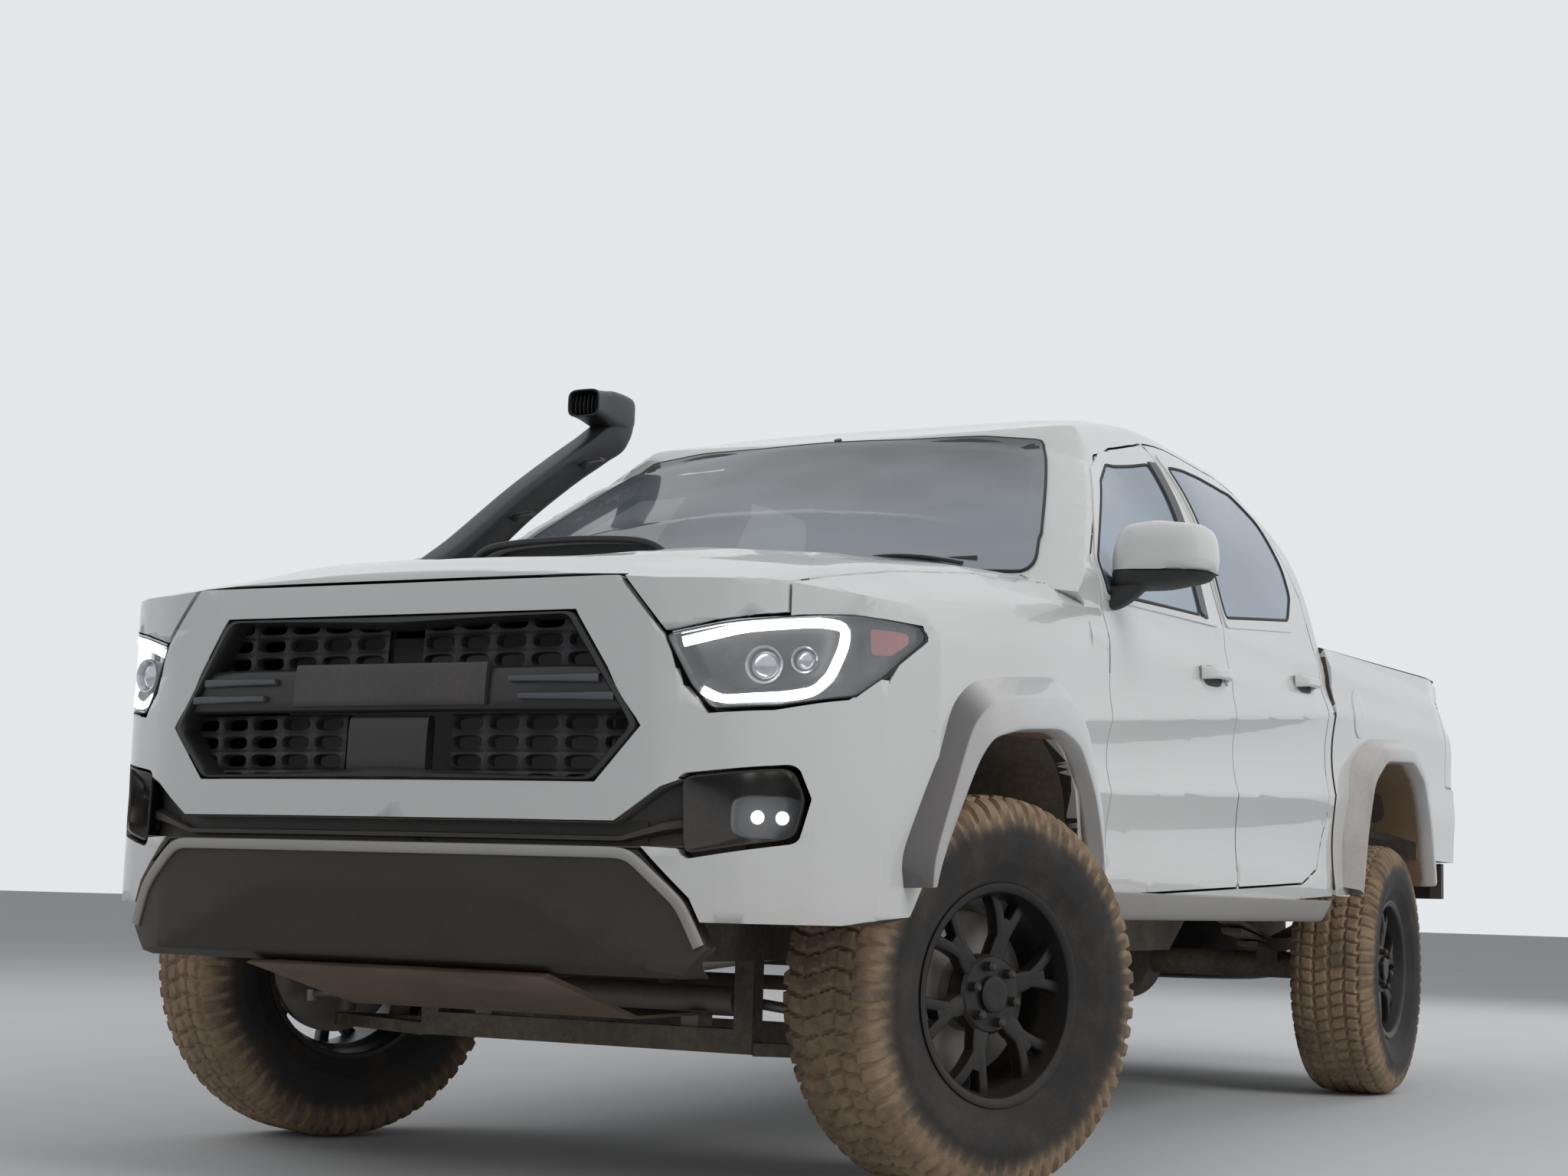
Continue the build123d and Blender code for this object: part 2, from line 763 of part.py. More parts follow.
def door_parts(outline, window):
    """Left-hand door with its window opening, and the pane that fills it."""
    with BuildPart() as door:
        add(cab_solid)
        add(cab_room, mode=Mode.SUBTRACT)
        add(door_prism(outline), mode=Mode.INTERSECT)
        add(window, mode=Mode.SUBTRACT)
    with BuildPart() as pane:
        add(cab_master(GLASS_SINK))
        add(cab_master(GLASS_SINK + GLASS_T), mode=Mode.SUBTRACT)
        add(window, mode=Mode.INTERSECT)
    return door.part, pane.part


front_door, front_pane = door_parts(FRONT_DOOR, front_window)
rear_door, rear_pane = door_parts(REAR_DOOR, rear_window_cut)

with BuildPart() as door_front_left:
    add(front_door)
door_front_left.part.label = "door_front_left"
with BuildPart() as door_front_right:
    add(other_side(front_door))
door_front_right.part.label = "door_front_right"
with BuildPart() as door_rear_left:
    add(rear_door)
door_rear_left.part.label = "door_rear_left"
with BuildPart() as door_rear_right:
    add(other_side(rear_door))
door_rear_right.part.label = "door_rear_right"
with BuildPart() as glass_front_left:
    add(front_pane)
glass_front_left.part.label = "glass_front_left"
with BuildPart() as glass_front_right:
    add(other_side(front_pane))
glass_front_right.part.label = "glass_front_right"
with BuildPart() as glass_rear_left:
    add(rear_pane)
glass_rear_left.part.label = "glass_rear_left"
with BuildPart() as glass_rear_right:
    add(other_side(rear_pane))
glass_rear_right.part.label = "glass_rear_right"

# Windscreen and rear window panes
with BuildPart() as windscreen:
    add(cab_master(8))
    add(cab_master(8 + GLASS_T), mode=Mode.SUBTRACT)
    add(screen_cut, mode=Mode.INTERSECT)
windscreen.part.label = "windscreen"
with BuildPart() as rear_window:
    add(cab_master(GLASS_SINK))
    add(cab_master(GLASS_SINK + GLASS_T), mode=Mode.SUBTRACT)
    add(back_cut, mode=Mode.INTERSECT)
rear_window.part.label = "rear_window"

# Door mirrors: an arm from the door's front corner and a rounded housing
MIRROR_Y = -1150
MIRROR_DEPTH = 110
MIRROR_FACE = [
    (868, 1262), (1010, 1290), (1092, 1320), (MIRROR_TIP_X, 1382), (1070, 1424), (930, 1438),
    (884, 1408),
]
with BuildPart() as mirror_left:
    with BuildSketch(Plane.XZ.offset(-(MIRROR_Y - MIRROR_DEPTH / 2))):
        with BuildLine():
            FilletPolyline(*[(x, z) for x, z in MIRROR_FACE], radius=16, close=True)
        make_face()
    extrude(amount=-MIRROR_DEPTH)
    chamfer(mirror_left.faces().sort_by(Axis.Y)[0].edges(), 14)
    add(box_at(846, 950, MIRROR_Y - 28, MIRROR_Y + 28, 1216, 1296))
    add(cab_solid, mode=Mode.SUBTRACT)
mirror_left.part.label = "mirror_left"
with BuildPart() as mirror_right:
    add(other_side(mirror_left.part))
mirror_right.part.label = "mirror_right"

# Cargo bed: open-topped box with wheel houses, on cross sills
BED_HALF_IN = 765
BED_FLOOR_T = 40
BED_FRONT_LOW_Z = 612
BED_REAR_LOW_Z = 750
BED_SIDE = [(0, 500), (893, 500), (893, 1180), (876, 1290), (850, 1345), (846, 1430), (0, 1430)]
LAMP_BOX = (796, 900, Y_BED_REAR - 130, Y_BED_REAR, 1010, 1336)
SILL_Y = (900, 1250, 1680, 2300)
HOUSE_WALL = 12


def rail_z(y):
    """Height of the bed rail's top at y."""
    return BED_RAIL_Z + RAKE * (y - Y_BED_FRONT)


def floor_z(y):
    """Height of the bed floor's top at y."""
    return rail_z(y) - BED_DEPTH


BED_OUTLINE = [
    (Y_BED_FRONT, BED_FRONT_LOW_Z),
    (Y_REAR_AXLE - 480, BED_FRONT_LOW_Z),
    (Y_REAR_AXLE, 760),
    (Y_REAR_AXLE + 520, BED_REAR_LOW_Z),
    (Y_BED_REAR, BED_REAR_LOW_Z),
    (Y_BED_REAR, rail_z(Y_BED_REAR)),
    (Y_BED_FRONT, rail_z(Y_BED_FRONT)),
]
ROOM_FRONT = Y_BED_FRONT + BED_WALL
BED_ROOM = [
    (ROOM_FRONT, floor_z(ROOM_FRONT)),
    (Y_BED_REAR + 50, floor_z(Y_BED_REAR + 50)),
    (Y_BED_REAR + 50, 1600),
    (ROOM_FRONT - 30, 1600),
]
UNDER_ROOM = [
    (ROOM_FRONT, 300),
    (Y_BED_REAR - BED_WALL, 300),
    (Y_BED_REAR - BED_WALL, floor_z(Y_BED_REAR) - BED_FLOOR_T),
    (ROOM_FRONT, floor_z(ROOM_FRONT) - BED_FLOOR_T),
]
with BuildPart() as bed_outer:
    add(along_y(both_sides(BED_SIDE), Y_BED_FRONT, Y_BED_REAR))
    add(along_x(BED_OUTLINE, -1000, 1000), mode=Mode.INTERSECT)
lamp_corner = box_at(*LAMP_BOX)
with BuildPart() as cargo_bed:
    add(bed_outer.part)
    add(along_x(BED_ROOM, -BED_HALF_IN, BED_HALF_IN), mode=Mode.SUBTRACT)
    add(along_x(UNDER_ROOM, -BED_HALF_IN - 50, BED_HALF_IN + 50), mode=Mode.SUBTRACT)
    for x0, x1 in ((HOUSE_HALF - HOUSE_WALL, BED_HALF_IN + 60), (-BED_HALF_IN - 60, HOUSE_WALL - HOUSE_HALF)):
        house = arch_cut(Y_REAR_AXLE, REAR_ARCH, x0, x1, HOUSE_WALL)
        add(house & box_at(-1000, 1000, 800, 2300, 700, 1300))
    for y in SILL_Y:
        add(box_at(-RAIL_X - RAIL_W / 2, RAIL_X + RAIL_W / 2, y - 30, y + 30, RAIL_Z + 270, floor_z(y) - 20))
    add(box_at(-RAIL_OUT - 20, RAIL_OUT + 20, Y_BED_FRONT - 1, ROOM_FRONT + 1, 600, 800), mode=Mode.SUBTRACT)
    for cutter in (rear_arch, lamp_corner):
        add(cutter, mode=Mode.SUBTRACT)
        add(other_side(cutter), mode=Mode.SUBTRACT)
cargo_bed.part.label = "cargo_bed"

# Rear lamps in the bed's corners
with BuildPart() as tail_lamps:
    add(bed_outer.part)
    add(lamp_corner, mode=Mode.INTERSECT)
    mirror(about=Plane.YZ)
tail_lamps.part.label = "tail_lamps"

# Tailgate, hinged along its lower edge
GATE_LOW = floor_z(Y_BED_REAR) + 11
with BuildPart() as tailgate:
    add(
        along_x(
            [
                (Y_BED_REAR - TAILGATE_T, GATE_LOW),
                (Y_BED_REAR, GATE_LOW),
                (Y_BED_REAR, rail_z(Y_BED_REAR)),
                (Y_BED_REAR - TAILGATE_T, rail_z(Y_BED_REAR) - 4),
            ],
            -BED_HALF_IN + GAP,
            BED_HALF_IN - GAP,
        )
    )
tailgate.part.label = "tailgate"

# Rear bumper, wrapped round both corners
BUMPER_BACK = 2600
BUMPER_PLAN = [
    (0, Y_TAIL),
    (560, Y_TAIL - 6),
    (700, 2662),
    (800, 2590),
    (862, 2480),
    (870, 2400),
    (830, 2400),
    (815, 2500),
    (740, BUMPER_BACK - 40),
    (560, BUMPER_BACK),
    (0, BUMPER_BACK),
]
with BuildPart() as rear_bumper:
    add(along_z(both_sides(BUMPER_PLAN), 620, BED_REAR_LOW_Z - GAP))
    add(box_at(-640, 640, 2560, Y_TAIL - 8, BED_REAR_LOW_Z - GAP, 815))
rear_bumper.part.label = "rear_bumper"

# Snorkel: wide flat duct up the right-hand screen pillar with a forward head
DUCT_W = 62
SNORKEL_HEAD = [
    (-852, 1836),
    (-858, 1898),
    (-840, 1906),
    (-760, 1926),
    (-672, 1930),
    (-638, 1906),
    (-630, 1850),
    (-640, 1780),
    (-735, 1780),
    (-745, 1812),
    (-780, 1830),
]
# Duct sections: columns are height, x, y, depth along y
DUCT = [(1262, -846, -1420, 150), (1555, -800, -1062, 130), (1790, -748, -690, 98)]
with BuildPart() as snorkel:
    add(along_x(SNORKEL_HEAD, -795, -700))
    for z, x, y, depth in DUCT:
        with BuildSketch(Plane.XY.offset(z)):
            with Locations((x, y)):
                Rectangle(DUCT_W, depth)
    loft(ruled=True)
    add(box_at(-934, -815, -1500, -1360, 1150, 1262))
    add(front_fenders.part, mode=Mode.SUBTRACT)
    add(front_solid, mode=Mode.SUBTRACT)
    add(cab_solid, mode=Mode.SUBTRACT)
snorkel.part.label = "snorkel"

# Ladder frame: two hollow rails, cross members, towers and body mounts
RAIL_SIDE = [
    (-2500, RAIL_Z),
    (640, RAIL_Z),
    (900, RAIL_Z + 150),
    (2500, RAIL_Z + 150),
    (2500, RAIL_Z + 150 + RAIL_H),
    (860, RAIL_Z + 150 + RAIL_H),
    (600, RAIL_Z + RAIL_H),
    (-2500, RAIL_Z + RAIL_H),
]
RAIL_TOP = RAIL_Z + RAIL_H
KICK_Z = RAIL_Z + 150
# Cross members: columns are y, length in y, bottom, top
CROSS_MEMBERS = [
    (-2470, 60, RAIL_Z, RAIL_TOP),
    (-2250, 60, RAIL_Z, RAIL_Z + 60),
    (250, 60, 515, RAIL_TOP),
    (600, 50, 515, RAIL_TOP),
    (1000, 60, KICK_Z + 10, KICK_Z + RAIL_H),
    (2080, 60, KICK_Z + 50, KICK_Z + RAIL_H),
    (2480, 40, 528, KICK_Z + RAIL_H),
]
ARM_Y = 150
# Body mounts: columns are y, half-width
MOUNTS = [(-1180, 395), (-300, 395), (560, 395)]
TOWER_TOP = 830
TOWER_X = (RAIL_IN + 20, 520)
with BuildPart() as frame:
    for side in (-1, 1):
        add(along_x(RAIL_SIDE, side * RAIL_IN, side * RAIL_OUT))
        inner = (side * (RAIL_IN + RAIL_WALL), side * (RAIL_OUT - RAIL_WALL))
        hollow = [
            (-2500, RAIL_Z + RAIL_WALL),
            (638, RAIL_Z + RAIL_WALL),
            (898, KICK_Z + RAIL_WALL),
            (2500, KICK_Z + RAIL_WALL),
            (2500, KICK_Z + RAIL_H - RAIL_WALL),
            (862, KICK_Z + RAIL_H - RAIL_WALL),
            (602, RAIL_TOP - RAIL_WALL),
            (-2500, RAIL_TOP - RAIL_WALL),
        ]
        add(along_x(hollow, *inner), mode=Mode.SUBTRACT)
    for y, depth, z0, z1 in CROSS_MEMBERS:
        add(box_at(-RAIL_IN - 2, RAIL_IN + 2, y - depth / 2, y + depth / 2, z0, z1))
    for y in (Y_FRONT_AXLE - ARM_Y, Y_FRONT_AXLE + ARM_Y):
        add(box_at(-400, 400, y - 22, y + 22, 252, 300))
        for x0, x1 in ((RAIL_IN, 400), (-400, -RAIL_IN)):
            add(box_at(x0, x1, y - 22, y + 22, 300, RAIL_Z))
    for side in (-1, 1):
        x_in, x_out = (side * TOWER_X[0], side * TOWER_X[1])
        add(box_at(x_in, side * (TOWER_X[0] + 12), Y_FRONT_AXLE - 55, Y_FRONT_AXLE + 55, RAIL_TOP, TOWER_TOP))
        add(box_at(x_in, x_out, Y_FRONT_AXLE - 55, Y_FRONT_AXLE + 55, TOWER_TOP - 12, TOWER_TOP))
        add(box_at(side * RAIL_IN, side * RAIL_OUT, 2490, BUMPER_BACK, 640, 700))
        add(box_at(side * RAIL_IN, side * (RAIL_IN + 16), -1030, -970, 400, RAIL_Z + 10))
    add(box_at(-RAIL_IN - 16, RAIL_IN + 16, -1030, -970, 400, 425))
    for y, x in MOUNTS:
        top = max(FLOOR_CUT_Z, CAB_FLOOR_Z + body_drop(y - 35))
        for side in (-1, 1):
            add(rod((side * x, y, RAIL_TOP - 2), (side * x, y, top), 34))
    add(cab_solid, mode=Mode.SUBTRACT)
frame.part.label = "frame"

# Hitch receiver: square socket with its cross pin holes
RECEIVER_Z = 560
PIN_Y = Y_TAIL - 60


def square_bar(half, y0, y1, z):
    """Square bar along Y on the centre line at height z."""
    return box_at(-half, half, y0, y1, z - half, z + half)


with BuildPart() as hitch_receiver:
    add(square_bar(RECEIVER_OUT / 2, 2500, Y_TAIL - 14, RECEIVER_Z))
    add(square_bar(RECEIVER_IN / 2, 2512, Y_TAIL, RECEIVER_Z), mode=Mode.SUBTRACT)
    add(rod((-60, PIN_Y, RECEIVER_Z), (60, PIN_Y, RECEIVER_Z), PIN_R), mode=Mode.SUBTRACT)
hitch_receiver.part.label = "hitch_receiver"

# Engine and gearbox as one plain block, on two side mounts
GEARBOX_Z = 508
GEARBOX_R = 62
with BuildPart() as engine:
    add(box_at(-190, 190, -2120, -1520, 512, 1080))
    add(box_at(-150, 150, -1520, -1360, GEARBOX_Z - 62, 800))
    add(rod((0, -1360, GEARBOX_Z), (0, -700, GEARBOX_Z), GEARBOX_R))
    add(box_at(-110, 190, -700, -460, GEARBOX_Z - 62, GEARBOX_Z + 60))
    add(box_at(-RAIL_IN, RAIL_IN, -1860, -1720, 515, 550))
    add(box_at(-40, 40, -1025, -975, 425, GEARBOX_Z))
engine.part.label = "engine"

# Radiator behind the grille, standing on the front cross member
with BuildPart() as radiator:
    add(box_at(-375, 375, -2495, -2445, RAIL_TOP, 1040))
radiator.part.label = "radiator"

# Front suspension: lower and upper arms, spring struts, steering rack
HUB_Z = TYRE_R
LOWER_Z = 262
UPPER_Z = 518
BALL_R = 24
ARM_T = 26
with BuildPart() as front_suspension:
    for z, x_in in ((LOWER_Z, 400), (UPPER_Z, RAIL_OUT)):
        with BuildSketch(Plane.XY.offset(z - ARM_T / 2)):
            with BuildLine():
                Polyline(
                    (x_in, Y_FRONT_AXLE - ARM_Y - 18),
                    (KINGPIN_X, Y_FRONT_AXLE - 20),
                    (KINGPIN_X, Y_FRONT_AXLE + 20),
                    (x_in, Y_FRONT_AXLE + ARM_Y + 18),
                    (x_in, Y_FRONT_AXLE + ARM_Y - 22),
                    (KINGPIN_X - 120, Y_FRONT_AXLE + 12),
                    (KINGPIN_X - 120, Y_FRONT_AXLE - 12),
                    (x_in, Y_FRONT_AXLE - ARM_Y + 22),
                    close=True,
                )
            make_face()
            with Locations((KINGPIN_X, Y_FRONT_AXLE)):
                Circle(BALL_R)
        extrude(amount=ARM_T)
    add(rod((KINGPIN_X, Y_FRONT_AXLE, 200), (KINGPIN_X, Y_FRONT_AXLE, 600), 10), mode=Mode.SUBTRACT)
    strut_low = (622, Y_FRONT_AXLE + 50, LOWER_Z + 5)
    strut_top = (472, Y_FRONT_AXLE + 50, TOWER_TOP - 11)
    add(rod(strut_low, strut_top, 22))
    strut_mid = tuple(Vector(*strut_low) * 0.62 + Vector(*strut_top) * 0.38)
    strut_end = tuple(Vector(*strut_low) * 0.06 + Vector(*strut_top) * 0.94)
    add(rod(strut_mid, strut_end, 46))
    add(
        box_at(400, 560, Y_FRONT_AXLE - 70, Y_FRONT_AXLE + 70, TOWER_TOP - 12, TOWER_TOP + 60),
        mode=Mode.SUBTRACT,
    )
    mirror(about=Plane.YZ)
front_suspension.part.label = "front_suspension"

# Steering rack housing on the frame's front cross beam
RACK_Y = Y_FRONT_AXLE - 104
RACK_Z = 352
RACK_HALF = 330
with BuildPart() as steering_rack:
    add(rod((-RACK_HALF, RACK_Y, RACK_Z), (RACK_HALF, RACK_Y, RACK_Z), 30, 13))
    for x in (-250, 250):
        with BuildSketch(Plane.XY.offset(300)):
            with Locations((x, RACK_Y - 26)):
                Rectangle(40, 60)
        extrude(amount=RACK_Z - 320)
    add(rod((-RACK_HALF - 9, RACK_Y, RACK_Z), (RACK_HALF + 9, RACK_Y, RACK_Z), 29), mode=Mode.SUBTRACT)
    add(rod((-RACK_HALF, RACK_Y, RACK_Z), (RACK_HALF, RACK_Y, RACK_Z), 30, 18))
steering_rack.part.label = "steering_rack"

# Front differential and its two half shafts
DIFF_R = 82
with BuildPart() as front_axle:
    with BuildSketch(Plane.YZ.offset(-70)):
        with Locations((Y_FRONT_AXLE, 400)):
            Circle(DIFF_R)
    extrude(amount=200)
    add(rod((-130, Y_FRONT_AXLE + 40, 400), (130, Y_FRONT_AXLE + 40, 400), 70))
    for x0, x1 in ((120, 655), (-655, -60)):
        add(rod((x0, Y_FRONT_AXLE, HUB_Z), (x1, Y_FRONT_AXLE, HUB_Z), 15))
    for x in (-642, 642):
        add(rod((x - 28, Y_FRONT_AXLE, HUB_Z), (x + 28, Y_FRONT_AXLE, HUB_Z), 34))
    for x0, x1 in ((-RAIL_IN, -60), (60, RAIL_IN)):
        add(box_at(x0, x1, Y_FRONT_AXLE + 60, Y_FRONT_AXLE + 90, 440, 470))
front_axle.part.label = "front_axle"

# Rear axle: tube, differential, spring seats and hub stubs
with BuildPart() as rear_axle:
    add(rod((-700, Y_REAR_AXLE, HUB_Z), (700, Y_REAR_AXLE, HUB_Z), AXLE_R))
    add(rod((0, Y_REAR_AXLE - 80, HUB_Z), (0, Y_REAR_AXLE + 70, HUB_Z), 132))
    add(rod((0, Y_REAR_AXLE - 190, HUB_Z), (0, Y_REAR_AXLE - 79, HUB_Z), 58))
    for side in (-1, 1):
        hub = side * HALF_TRACK
        add(rod((side * 690, Y_REAR_AXLE, HUB_Z), (side * (HALF_TRACK - 40), Y_REAR_AXLE, HUB_Z), 56))
        add(rod((side * 740, Y_REAR_AXLE, HUB_Z), (side * (HALF_TRACK + 38), Y_REAR_AXLE, HUB_Z), 28))
        pad_in = side * (SPRING_X - 35)
        pad_out = side * (SPRING_X + 35)
        add(box_at(pad_in, pad_out, Y_REAR_AXLE - 55, Y_REAR_AXLE + 55, 400, 436))
rear_axle.part.label = "rear_axle"

# Leaf springs, with the brackets that hang them from the frame
SPRING_FRONT = Y_REAR_AXLE - 640
SPRING_BACK = Y_REAR_AXLE + 700
LEAVES = [(1.0, 0), (0.72, 13), (0.45, 26)]
with BuildPart() as leaf_springs:
    for share, lift in LEAVES:
        y0 = Y_REAR_AXLE + (SPRING_FRONT - Y_REAR_AXLE) * share
        y1 = Y_REAR_AXLE + (SPRING_BACK - Y_REAR_AXLE) * share
        top = 436 + 39 - lift
        rise = 85 * share * share
        add(
            along_x(
                [
                    (y0, top + rise),
                    (Y_REAR_AXLE - 80, top),
                    (Y_REAR_AXLE + 80, top),
                    (y1, top + rise),
                    (y1, top + rise - 13.5),
                    (Y_REAR_AXLE + 80, top - 13),
                    (Y_REAR_AXLE - 80, top - 13),
                    (y0, top + rise - 13.5),
                ],
                SPRING_X - 32,
                SPRING_X + 32,
            )
        )
    add(box_at(RAIL_OUT, SPRING_X + 40, SPRING_FRONT - 34, SPRING_FRONT + 26, 530, 602))
    add(box_at(RAIL_OUT, SPRING_X + 40, SPRING_BACK - 26, SPRING_BACK + 34, 530, 640))
    mirror(about=Plane.YZ)
leaf_springs.part.label = "leaf_springs"

# Propeller shafts to the two axles
with BuildPart() as drive_shafts:
    add(rod((0, -460, GEARBOX_Z), (0, Y_REAR_AXLE - 189, HUB_Z), 36))
    add(rod((150, -700, 480), (100, Y_FRONT_AXLE + 112, 420), 22))
    add(rear_axle.part, mode=Mode.SUBTRACT)
    add(engine.part, mode=Mode.SUBTRACT)
    add(front_axle.part, mode=Mode.SUBTRACT)
drive_shafts.part.label = "drive_shafts"

# Exhaust: pipe, silencer and a tip ahead of the right rear wheel
with BuildPart() as exhaust:
    with BuildLine() as pipe_path:
        FilletPolyline((-240, -1480, 600), (-240, -1330, 484), (-240, 300, 484), radius=60)
    with BuildSketch(Plane(origin=pipe_path.line @ 0, z_dir=pipe_path.line % 0)):
        Circle(27)
    sweep()
    add(rod((-240, 288, 450), (-240, 760, 450), 58))
    with BuildLine() as tail_path:
        FilletPolyline((-240, 750, 430), (-330, 850, 420), (-640, 930, 416), radius=40)
    with BuildSketch(Plane(origin=tail_path.line @ 0, z_dir=tail_path.line % 0)):
        Circle(27)
    sweep()
exhaust.part.label = "exhaust"

# Fuel tank inside the left rail
with BuildPart() as fuel_tank:
    add(box_at(70, 330, -330, 190, 396, 508))
    for y in (-260, 120):
        add(box_at(330, RAIL_IN, y - 20, y + 20, 450, 500))
fuel_tank.part.label = "fuel_tank"

# Front inner wheel arches
with BuildPart() as wheel_liners:
    add(arch_cut(Y_FRONT_AXLE, FRONT_ARCH, 500, BODY_HALF - SKIN - 1, 5))
    add(arch_cut(Y_FRONT_AXLE, FRONT_ARCH, 400, 1000), mode=Mode.SUBTRACT)
    add(box_at(400, 1000, -2600, Y_FIREWALL - 4, 545, 1000), mode=Mode.INTERSECT)
    add(front_master(SKIN + 1), mode=Mode.INTERSECT)
    mirror(about=Plane.YZ)
    add(bumper_cover.part, mode=Mode.SUBTRACT)
wheel_liners.part.label = "wheel_liners"

# Wheels: each place has a name, kingpin or hub x, axle y and steered angle
WHEELS = [
    ("front_left", 1, Y_FRONT_AXLE, -STEER_REST),
    ("front_right", -1, Y_FRONT_AXLE, -STEER_REST),
    ("rear_left", 1, Y_REAR_AXLE, 0),
    ("rear_right", -1, Y_REAR_AXLE, 0),
]
# Tyre section: columns are distance from the wheel's middle, radius
TYRE_OUT = [
    (98, BEAD_R), (98, 222), (126, 255), (TYRE_HALF, 300), (124, 352), (106, 380), (84, TYRE_R - 1),
    (0, TYRE_R),
]
TYRE_IN = [(0, 372), (84, 370), (104, 352), (114, 300), (108, 258), (84, 226), (84, BEAD_R)]
SPOKES = 6
SPOKE_U = (58, 84)
SPOKE_SPLIT = 15
HUB_FACE_U = 30
HUB_R = 74


def wheel_axis(side, turn):
    """Outward unit direction of a wheel's axle."""
    return Vector(side * cos(radians(turn)), side * sin(radians(turn)), 0)


def wheel_centre(side, y_axle, turn):
    """Middle of a wheel, set out from its kingpin along its axle."""
    return Vector(side * KINGPIN_X, y_axle, HUB_Z) + wheel_axis(side, turn) * (HALF_TRACK - KINGPIN_X)


def turned(side, y_axle, turn, outline):
    """Ring swept about a wheel's axle from a (distance, radius) outline."""
    out = wheel_axis(side, turn)
    centre = wheel_centre(side, y_axle, turn)
    with BuildPart() as body:
        with BuildSketch(Plane(origin=centre, x_dir=out, z_dir=out.cross(Vector(0, 0, 1)))):
            with BuildLine():
                Polyline(*outline, close=True)
            make_face()
        revolve(axis=Axis(centre, out))
    return body.part


def on_wheel(side, y_axle, turn, distance):
    """Plane across a wheel's axle at a distance outwards from its middle."""
    out = wheel_axis(side, turn)
    centre = wheel_centre(side, y_axle, turn)
    return Plane(origin=centre + out * distance, x_dir=(0, 0, 1), z_dir=out)


tyre_section = TYRE_OUT + [(-u, r) for u, r in reversed(TYRE_OUT[:-1])]
tyre_section += [(-u, r) for u, r in reversed(TYRE_IN[1:])] + TYRE_IN
BARREL = [
    (-104, RIM_LIP_R), (-98, RIM_LIP_R), (-98, BEAD_R), (98, BEAD_R), (98, RIM_LIP_R),
    (104, RIM_LIP_R), (104, 200), (96, 195), (-96, 195), (-104, 200),
]
HUB_DISC = [
    (HUB_FACE_U, 36), (HUB_FACE_U, HUB_R), (SPOKE_U[1] - 6, HUB_R), (SPOKE_U[1] - 2, 40),
    (SPOKE_U[1] - 2, 0), (52, 0), (52, 36),
]
BRAKE_HAT = [
    (HUB_FACE_U, 36), (HUB_FACE_U, 74), (4, 74), (4, DISC_R), (4 - DISC_T, DISC_R), (4 - DISC_T, 66),
    (HUB_FACE_U - 8, 66), (HUB_FACE_U - 8, 36),
]


def wheel_parts(side, y_axle, turn):
    """Tyre, and rim with its spokes, hub, cap and brake disc."""
    tyre = turned(side, y_axle, turn, tyre_section)
    with BuildPart() as rim:
        add(turned(side, y_axle, turn, BARREL))
        add(turned(side, y_axle, turn, HUB_DISC))
        add(turned(side, y_axle, turn, BRAKE_HAT))
        with BuildSketch(on_wheel(side, y_axle, turn, SPOKE_U[0])):
            for index in range(SPOKES):
                for lean in (-SPOKE_SPLIT, SPOKE_SPLIT):
                    at = radians(360 / SPOKES * index)
                    far = at + radians(lean)
                    near = at + radians(lean * 0.3)
                    ends = []
                    for radius, angle, half in ((HUB_R - 8, near, 13), (198, far, 9)):
                        across = (-sin(angle) * half, cos(angle) * half)
                        middle = (cos(angle) * radius, sin(angle) * radius)
                        ends.append((middle[0] - across[0], middle[1] - across[1]))
                        ends.append((middle[0] + across[0], middle[1] + across[1]))
                    with BuildLine():
                        Polyline(ends[0], ends[1], ends[3], ends[2], close=True)
                    make_face()
        extrude(amount=SPOKE_U[1] - SPOKE_U[0])
        with BuildSketch(on_wheel(side, y_axle, turn, HUB_FACE_U)):
            with PolarLocations(BOLT_CIRCLE / 2, BOLT_COUNT):
                Circle(BOLT_HOLE_R)
        extrude(amount=60, mode=Mode.SUBTRACT)
    return tyre, rim.part


def knuckle_part(side, turn):
    """Upright with its ball pins, bearing hub, stub, caliper and steering arm."""
    king = Vector(side * KINGPIN_X, Y_FRONT_AXLE, 0)
    out = wheel_axis(side, turn)
    lever = Vector(side * -22, -104, 0).rotate(Axis.Z, turn)
    with BuildPart() as knuckle:
        add(rod((king.X, king.Y, LOWER_Z + 19), (king.X, king.Y, UPPER_Z - 19), 22))
        add(rod((king.X, king.Y, LOWER_Z - 10), (king.X, king.Y, UPPER_Z + 10), 9))
        hub = king + Vector(0, 0, HUB_Z)
        add(rod(hub - out * 24, hub + out * 38, 58))
        add(rod(hub + out * 30, hub + out * 50, 34))
        add(rod(hub + out * 40, hub + out * 108, 28))
        tip = king + lever
        add(rod((king.X, king.Y, RACK_Z), (tip.X, tip.Y, RACK_Z), 14))
        add(rod((tip.X, tip.Y, RACK_Z - 16), (tip.X, tip.Y, RACK_Z + 19), 17))
        rear = Vector(0, 1, 0).rotate(Axis.Z, turn)
        caliper = hub + rear * 118 + out * 24
        with BuildSketch(Plane(origin=caliper, x_dir=(0, 0, 1), z_dir=out)):
            Rectangle(110, 56)
        extrude(amount=16)
        add(rod(hub + out * 16, hub + rear * 118 + out * 30, 16))
    return knuckle.part


